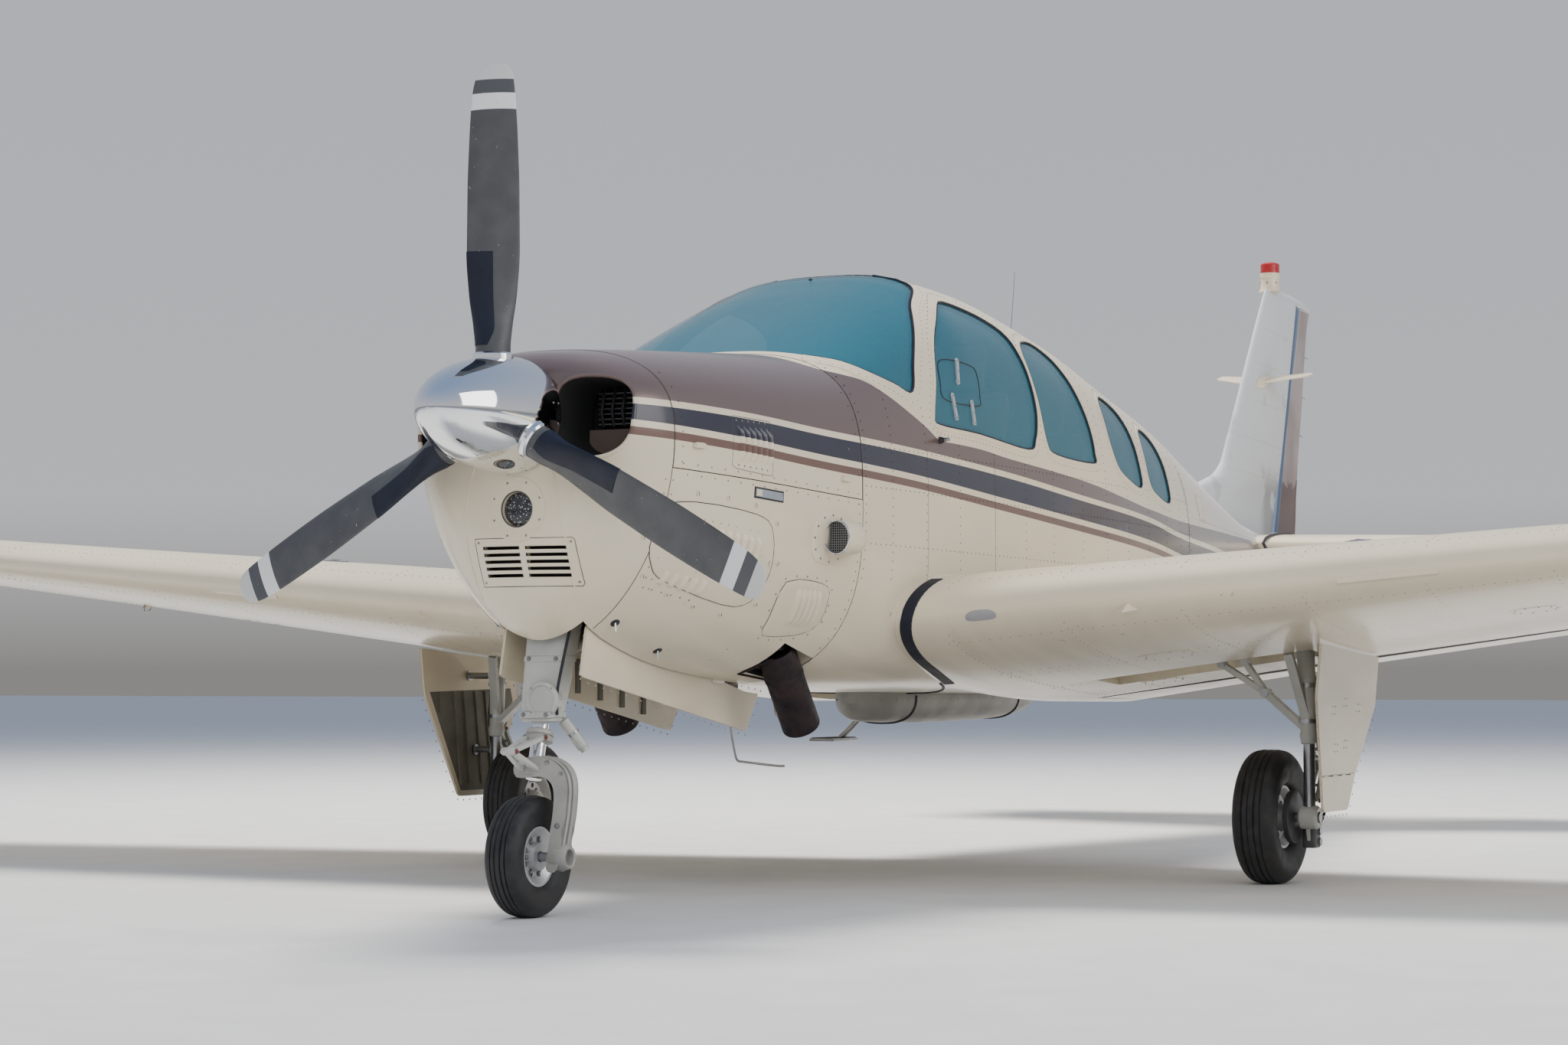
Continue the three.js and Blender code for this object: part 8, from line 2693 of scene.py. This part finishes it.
def pad(name, centre, along, across, sizes, channels):
    """A crowned pad with sewn channels. Its face is square to along, its length, and across, its width."""
    along, across = (np.array(axis, float) / np.linalg.norm(axis) for axis in (along, across))
    face = np.cross(along, across)
    half_length, half_width, half_thick = sizes
    places = np.sin(np.linspace(-math.pi / 2, math.pi / 2, 61))
    angles = around(72)
    cos, sin = np.cos(angles), np.sin(angles)
    section_v = np.sign(cos) * np.abs(cos) ** (2 / 4.2)
    section_w = np.sign(sin) * np.abs(sin) ** (2 / 3.0)
    rings = []
    for u in places:
        end = max(1 - abs(u) ** 7, 0.0) ** (1 / 3.2)
        end = max(end, 0.02)
        pull = 1 - 0.03 * math.cos(u * math.pi / 2) ** 2
        v, w = section_v * (0.86 + 0.14 * end) * pull, section_w * end
        w = w * (1 + 0.10 * (1 - v**2) * (1 - u**2))
        on_face = np.clip(section_w, 0, 1) ** 0.5 * end
        groove = 8.0 * np.exp(-(((np.abs(v) - PIPING_PLACE) * half_width / 6.0) ** 2))
        bolster = 9.0 * np.clip((np.abs(v) - PIPING_PLACE) / 0.12, 0, 1)
        middle = np.clip((PIPING_PLACE - np.abs(v)) / 0.05, 0, 1)
        cross = sum(6.0 * math.exp(-(((u - place) * half_length / 7.0) ** 2)) for place in channels)
        height = w * (half_thick - 10) + on_face * (bolster - groove - middle * cross)
        rings.append(centre + np.outer(np.full(len(v), u * half_length), along)
                     + np.outer(v * half_width, across) + np.outer(height, face))
    piece = Piece(name).loft(rings, SEAT)
    for side in (1, -1):
        line = []
        for u in np.linspace(-0.93, 0.93, 40):
            crown = 1 + 0.10 * (1 - PIPING_PLACE**2) * (1 - u**2)
            height = (half_thick - 10) * crown * max(1 - abs(u) ** 7, 0) ** (1 / 3.2) * 0.93 - 3
            line.append(centre + along * u * half_length + across * side * PIPING_PLACE * half_width
                        + face * height)
        piece.tube(line, 2.6, PIPING, 8)
    made = piece.make("airframe", "seat_fabric", sharp=80)
    return made


def seats():
    for name, x, half, spread, rise in SEAT_PAIRS:
        frame_piece = Piece(f"{name}_seat_frames")
        foot = x - SEAT_BACK["foot"]
        back_top = FLOOR_Z + SEAT_BACK["top"] * rise
        back_low = FLOOR_Z + SEAT_BACK["low"]
        top_front = foot - 30 - SEAT_BACK["lean"]
        for index, y in enumerate((spread, -spread)):
            side = "left" if index == 0 else "right"
            for dy in (-half * 0.7, half * 0.7):
                frame_piece.bar((x - 188, y + dy, FLOOR_Z + 12), (x + 188, y + dy, FLOOR_Z + 12), 22, 18,
                                (0, 1, 0), STEEL)
                for dx in (-150, 150):
                    frame_piece.rod((x + dx, y + dy, FLOOR_Z + 18), (x + dx * 0.9, y + dy, FLOOR_Z + 86),
                                    11, STEEL)
            soft_block(frame_piece, (x - 186, y - half + 14, FLOOR_Z + 72),
                       (x + 186, y + half - 14, FLOOR_Z + 92), 12, TRIM)
            low, top = FLOOR_Z + CUSHION["low"] + 8, FLOOR_Z + CUSHION["top"]
            pad(f"{name}_cushion_{side}", np.array([x, y, (low + top) / 2]), (1, 0, 0), (0, 1, 0),
                (CUSHION["half"], half - 2, (top - low) / 2), (-0.45, 0.0, 0.45))
            lower = np.array([foot - SEAT_BACK["thick_low"] / 2, y, back_low + 30])
            upper = np.array([top_front - SEAT_BACK["thick_top"] / 2, y, back_top])
            length = np.linalg.norm(upper - lower) / 2
            pad(f"{name}_back_{side}", (lower + upper) / 2, upper - lower, (0, 1, 0), (length, half - 4, 50),
                (-0.5, -0.1, 0.3))
            head_z = FLOOR_Z + (HEADREST["low"] + HEADREST["top"]) / 2 * rise
            head = np.array([top_front - HEADREST["half"] + 4, y, head_z])
            lean = (upper - lower) / np.linalg.norm(upper - lower)
            pad(f"{name}_headrest_{side}", head + lean * 6, lean, (0, 1, 0),
                ((HEADREST["top"] - HEADREST["low"]) / 2 * rise - 10, half * HEADREST["share"] - 2, 40), ())
            for dy in (-38, 38):
                frame_piece.rod(upper + (0, dy, 0) - lean * 30, head + (0, dy, 0) - lean * 40, 6, PISTON,
                                None, 12)
        frame_piece.make("airframe", "seat_fabric", f"{name}_seats")


nose_bowl()
cowl()
cabin_shell()
glass_and_doors()
tail_cone()
wing_set()
tailplane_and_elevator()
fin_and_rudder()
blades()
spinner()
for each_wheel in (NOSE_WHEEL, *MAIN_WHEELS):
    wheel_set(each_wheel)
inlet_fittings()
nose_light()
grille_fittings()
bowl_seams()
cowl_door_fittings()
lower_cowl_fittings()
for window_index, window_line in enumerate(WINDOWS):
    window_trim(f"window_trim_left_{window_index + 1}", "airframe", window_line, left_side)
window_trim("window_trim_right_2", "airframe", WINDOW_RIGHT_2, right_side)
for door_name, _, window_line, _, _ in DOORS:
    window_trim(f"{door_name}_window_trim", door_name, window_line, right_side)
windscreen_trim()
storm_window()
cabin_rivets()
cabin_seams()
wing_root_band()
wing_fittings()
wing_rivets()
walkway()
tail_fittings()
tail_rivets()
tailplane_fittings()
antennas()
nose_leg()
nose_fork()
nose_doors()
main_legs()
leg_doors()
brake_discs()
hub_caps()
exhausts()
belly_fairing()
boarding_step()
instrument_panel()
seats()

# Finishes of the solids that stay
KEPT_FINISHES = {"engine": CASTING}
for node_name, finish in KEPT_FINISHES.items():
    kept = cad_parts[node_name]
    kept.data.materials.clear()
    kept.data.materials.append(finish)


# Floor, sky and lights
FLOOR_REACH = 60000
FLOOR_GREY = (0.68, 0.68, 0.67)
GROUND_LIGHT = (0.42, 0.41, 0.39, 1)
HORIZON_LIGHT = (0.95, 0.96, 1.0, 1)
ZENITH_LIGHT = (0.42, 0.58, 0.92, 1)
HORIZON_SHARE = 0.05
SKY_STRENGTH = 0.62
LIGHTS = [
    # name, place, aim, size, power, colour, whether it shows in glossy paint
    ("key", (-4, -4, 13), (0, 0, 1), 5, 4300, (1.0, 0.95, 0.87), False),
    ("front", (14, 5, 8), (2, 0, 1.2), 10, 750, (1.0, 0.97, 0.92), False),
    ("side", (2, 13, 7), (0, 2, 1), 9, 850, (1.0, 0.98, 0.95), True),
]


def make_stage():
    floor_finish = plain("floor", FLOOR_GREY, 0.85, grain=30.0, shade=0.06)
    reach = FLOOR_REACH
    corners = [(-reach, -reach, 0), (reach, -reach, 0), (reach, reach, 0), (-reach, reach, 0)]
    mesh = fill_mesh("floor", np.array(corners) - (NOSE_WHEEL_X, 0, 0), [(0, 1, 2, 3)], [floor_finish])
    link("floor", mesh)
    world = bpy.data.worlds.new("studio")
    world.use_nodes = True
    tree = world.node_tree
    background = tree.nodes["Background"]
    up = tree.nodes.new("ShaderNodeSeparateXYZ")
    tree.links.new(tree.nodes.new("ShaderNodeTexCoord").outputs["Generated"], up.inputs[0])
    ramp = tree.nodes.new("ShaderNodeValToRGB")
    tree.links.new(up.outputs[2], ramp.inputs[0])
    tree.links.new(ramp.outputs[0], background.inputs["Color"])
    stops = ramp.color_ramp.elements
    stops[0].position, stops[0].color = 0.0, GROUND_LIGHT
    stops[1].position, stops[1].color = 1.0, ZENITH_LIGHT
    horizon = stops.new(HORIZON_SHARE)
    horizon.color = HORIZON_LIGHT
    background.inputs["Strength"].default_value = SKY_STRENGTH
    bpy.context.scene.world = world
    for name, place, aim, size, power, colour, in_gloss in LIGHTS:
        data = bpy.data.lights.new(name, "AREA")
        data.size = size
        data.energy = power
        data.color = colour
        light = bpy.data.objects.new(name, data)
        bpy.context.scene.collection.objects.link(light)
        light.location = place
        light.visible_glossy = in_gloss
        light.rotation_mode = "QUATERNION"
        light.rotation_quaternion = (Vector(aim) - Vector(place)).to_track_quat("-Z", "Y")


make_stage()
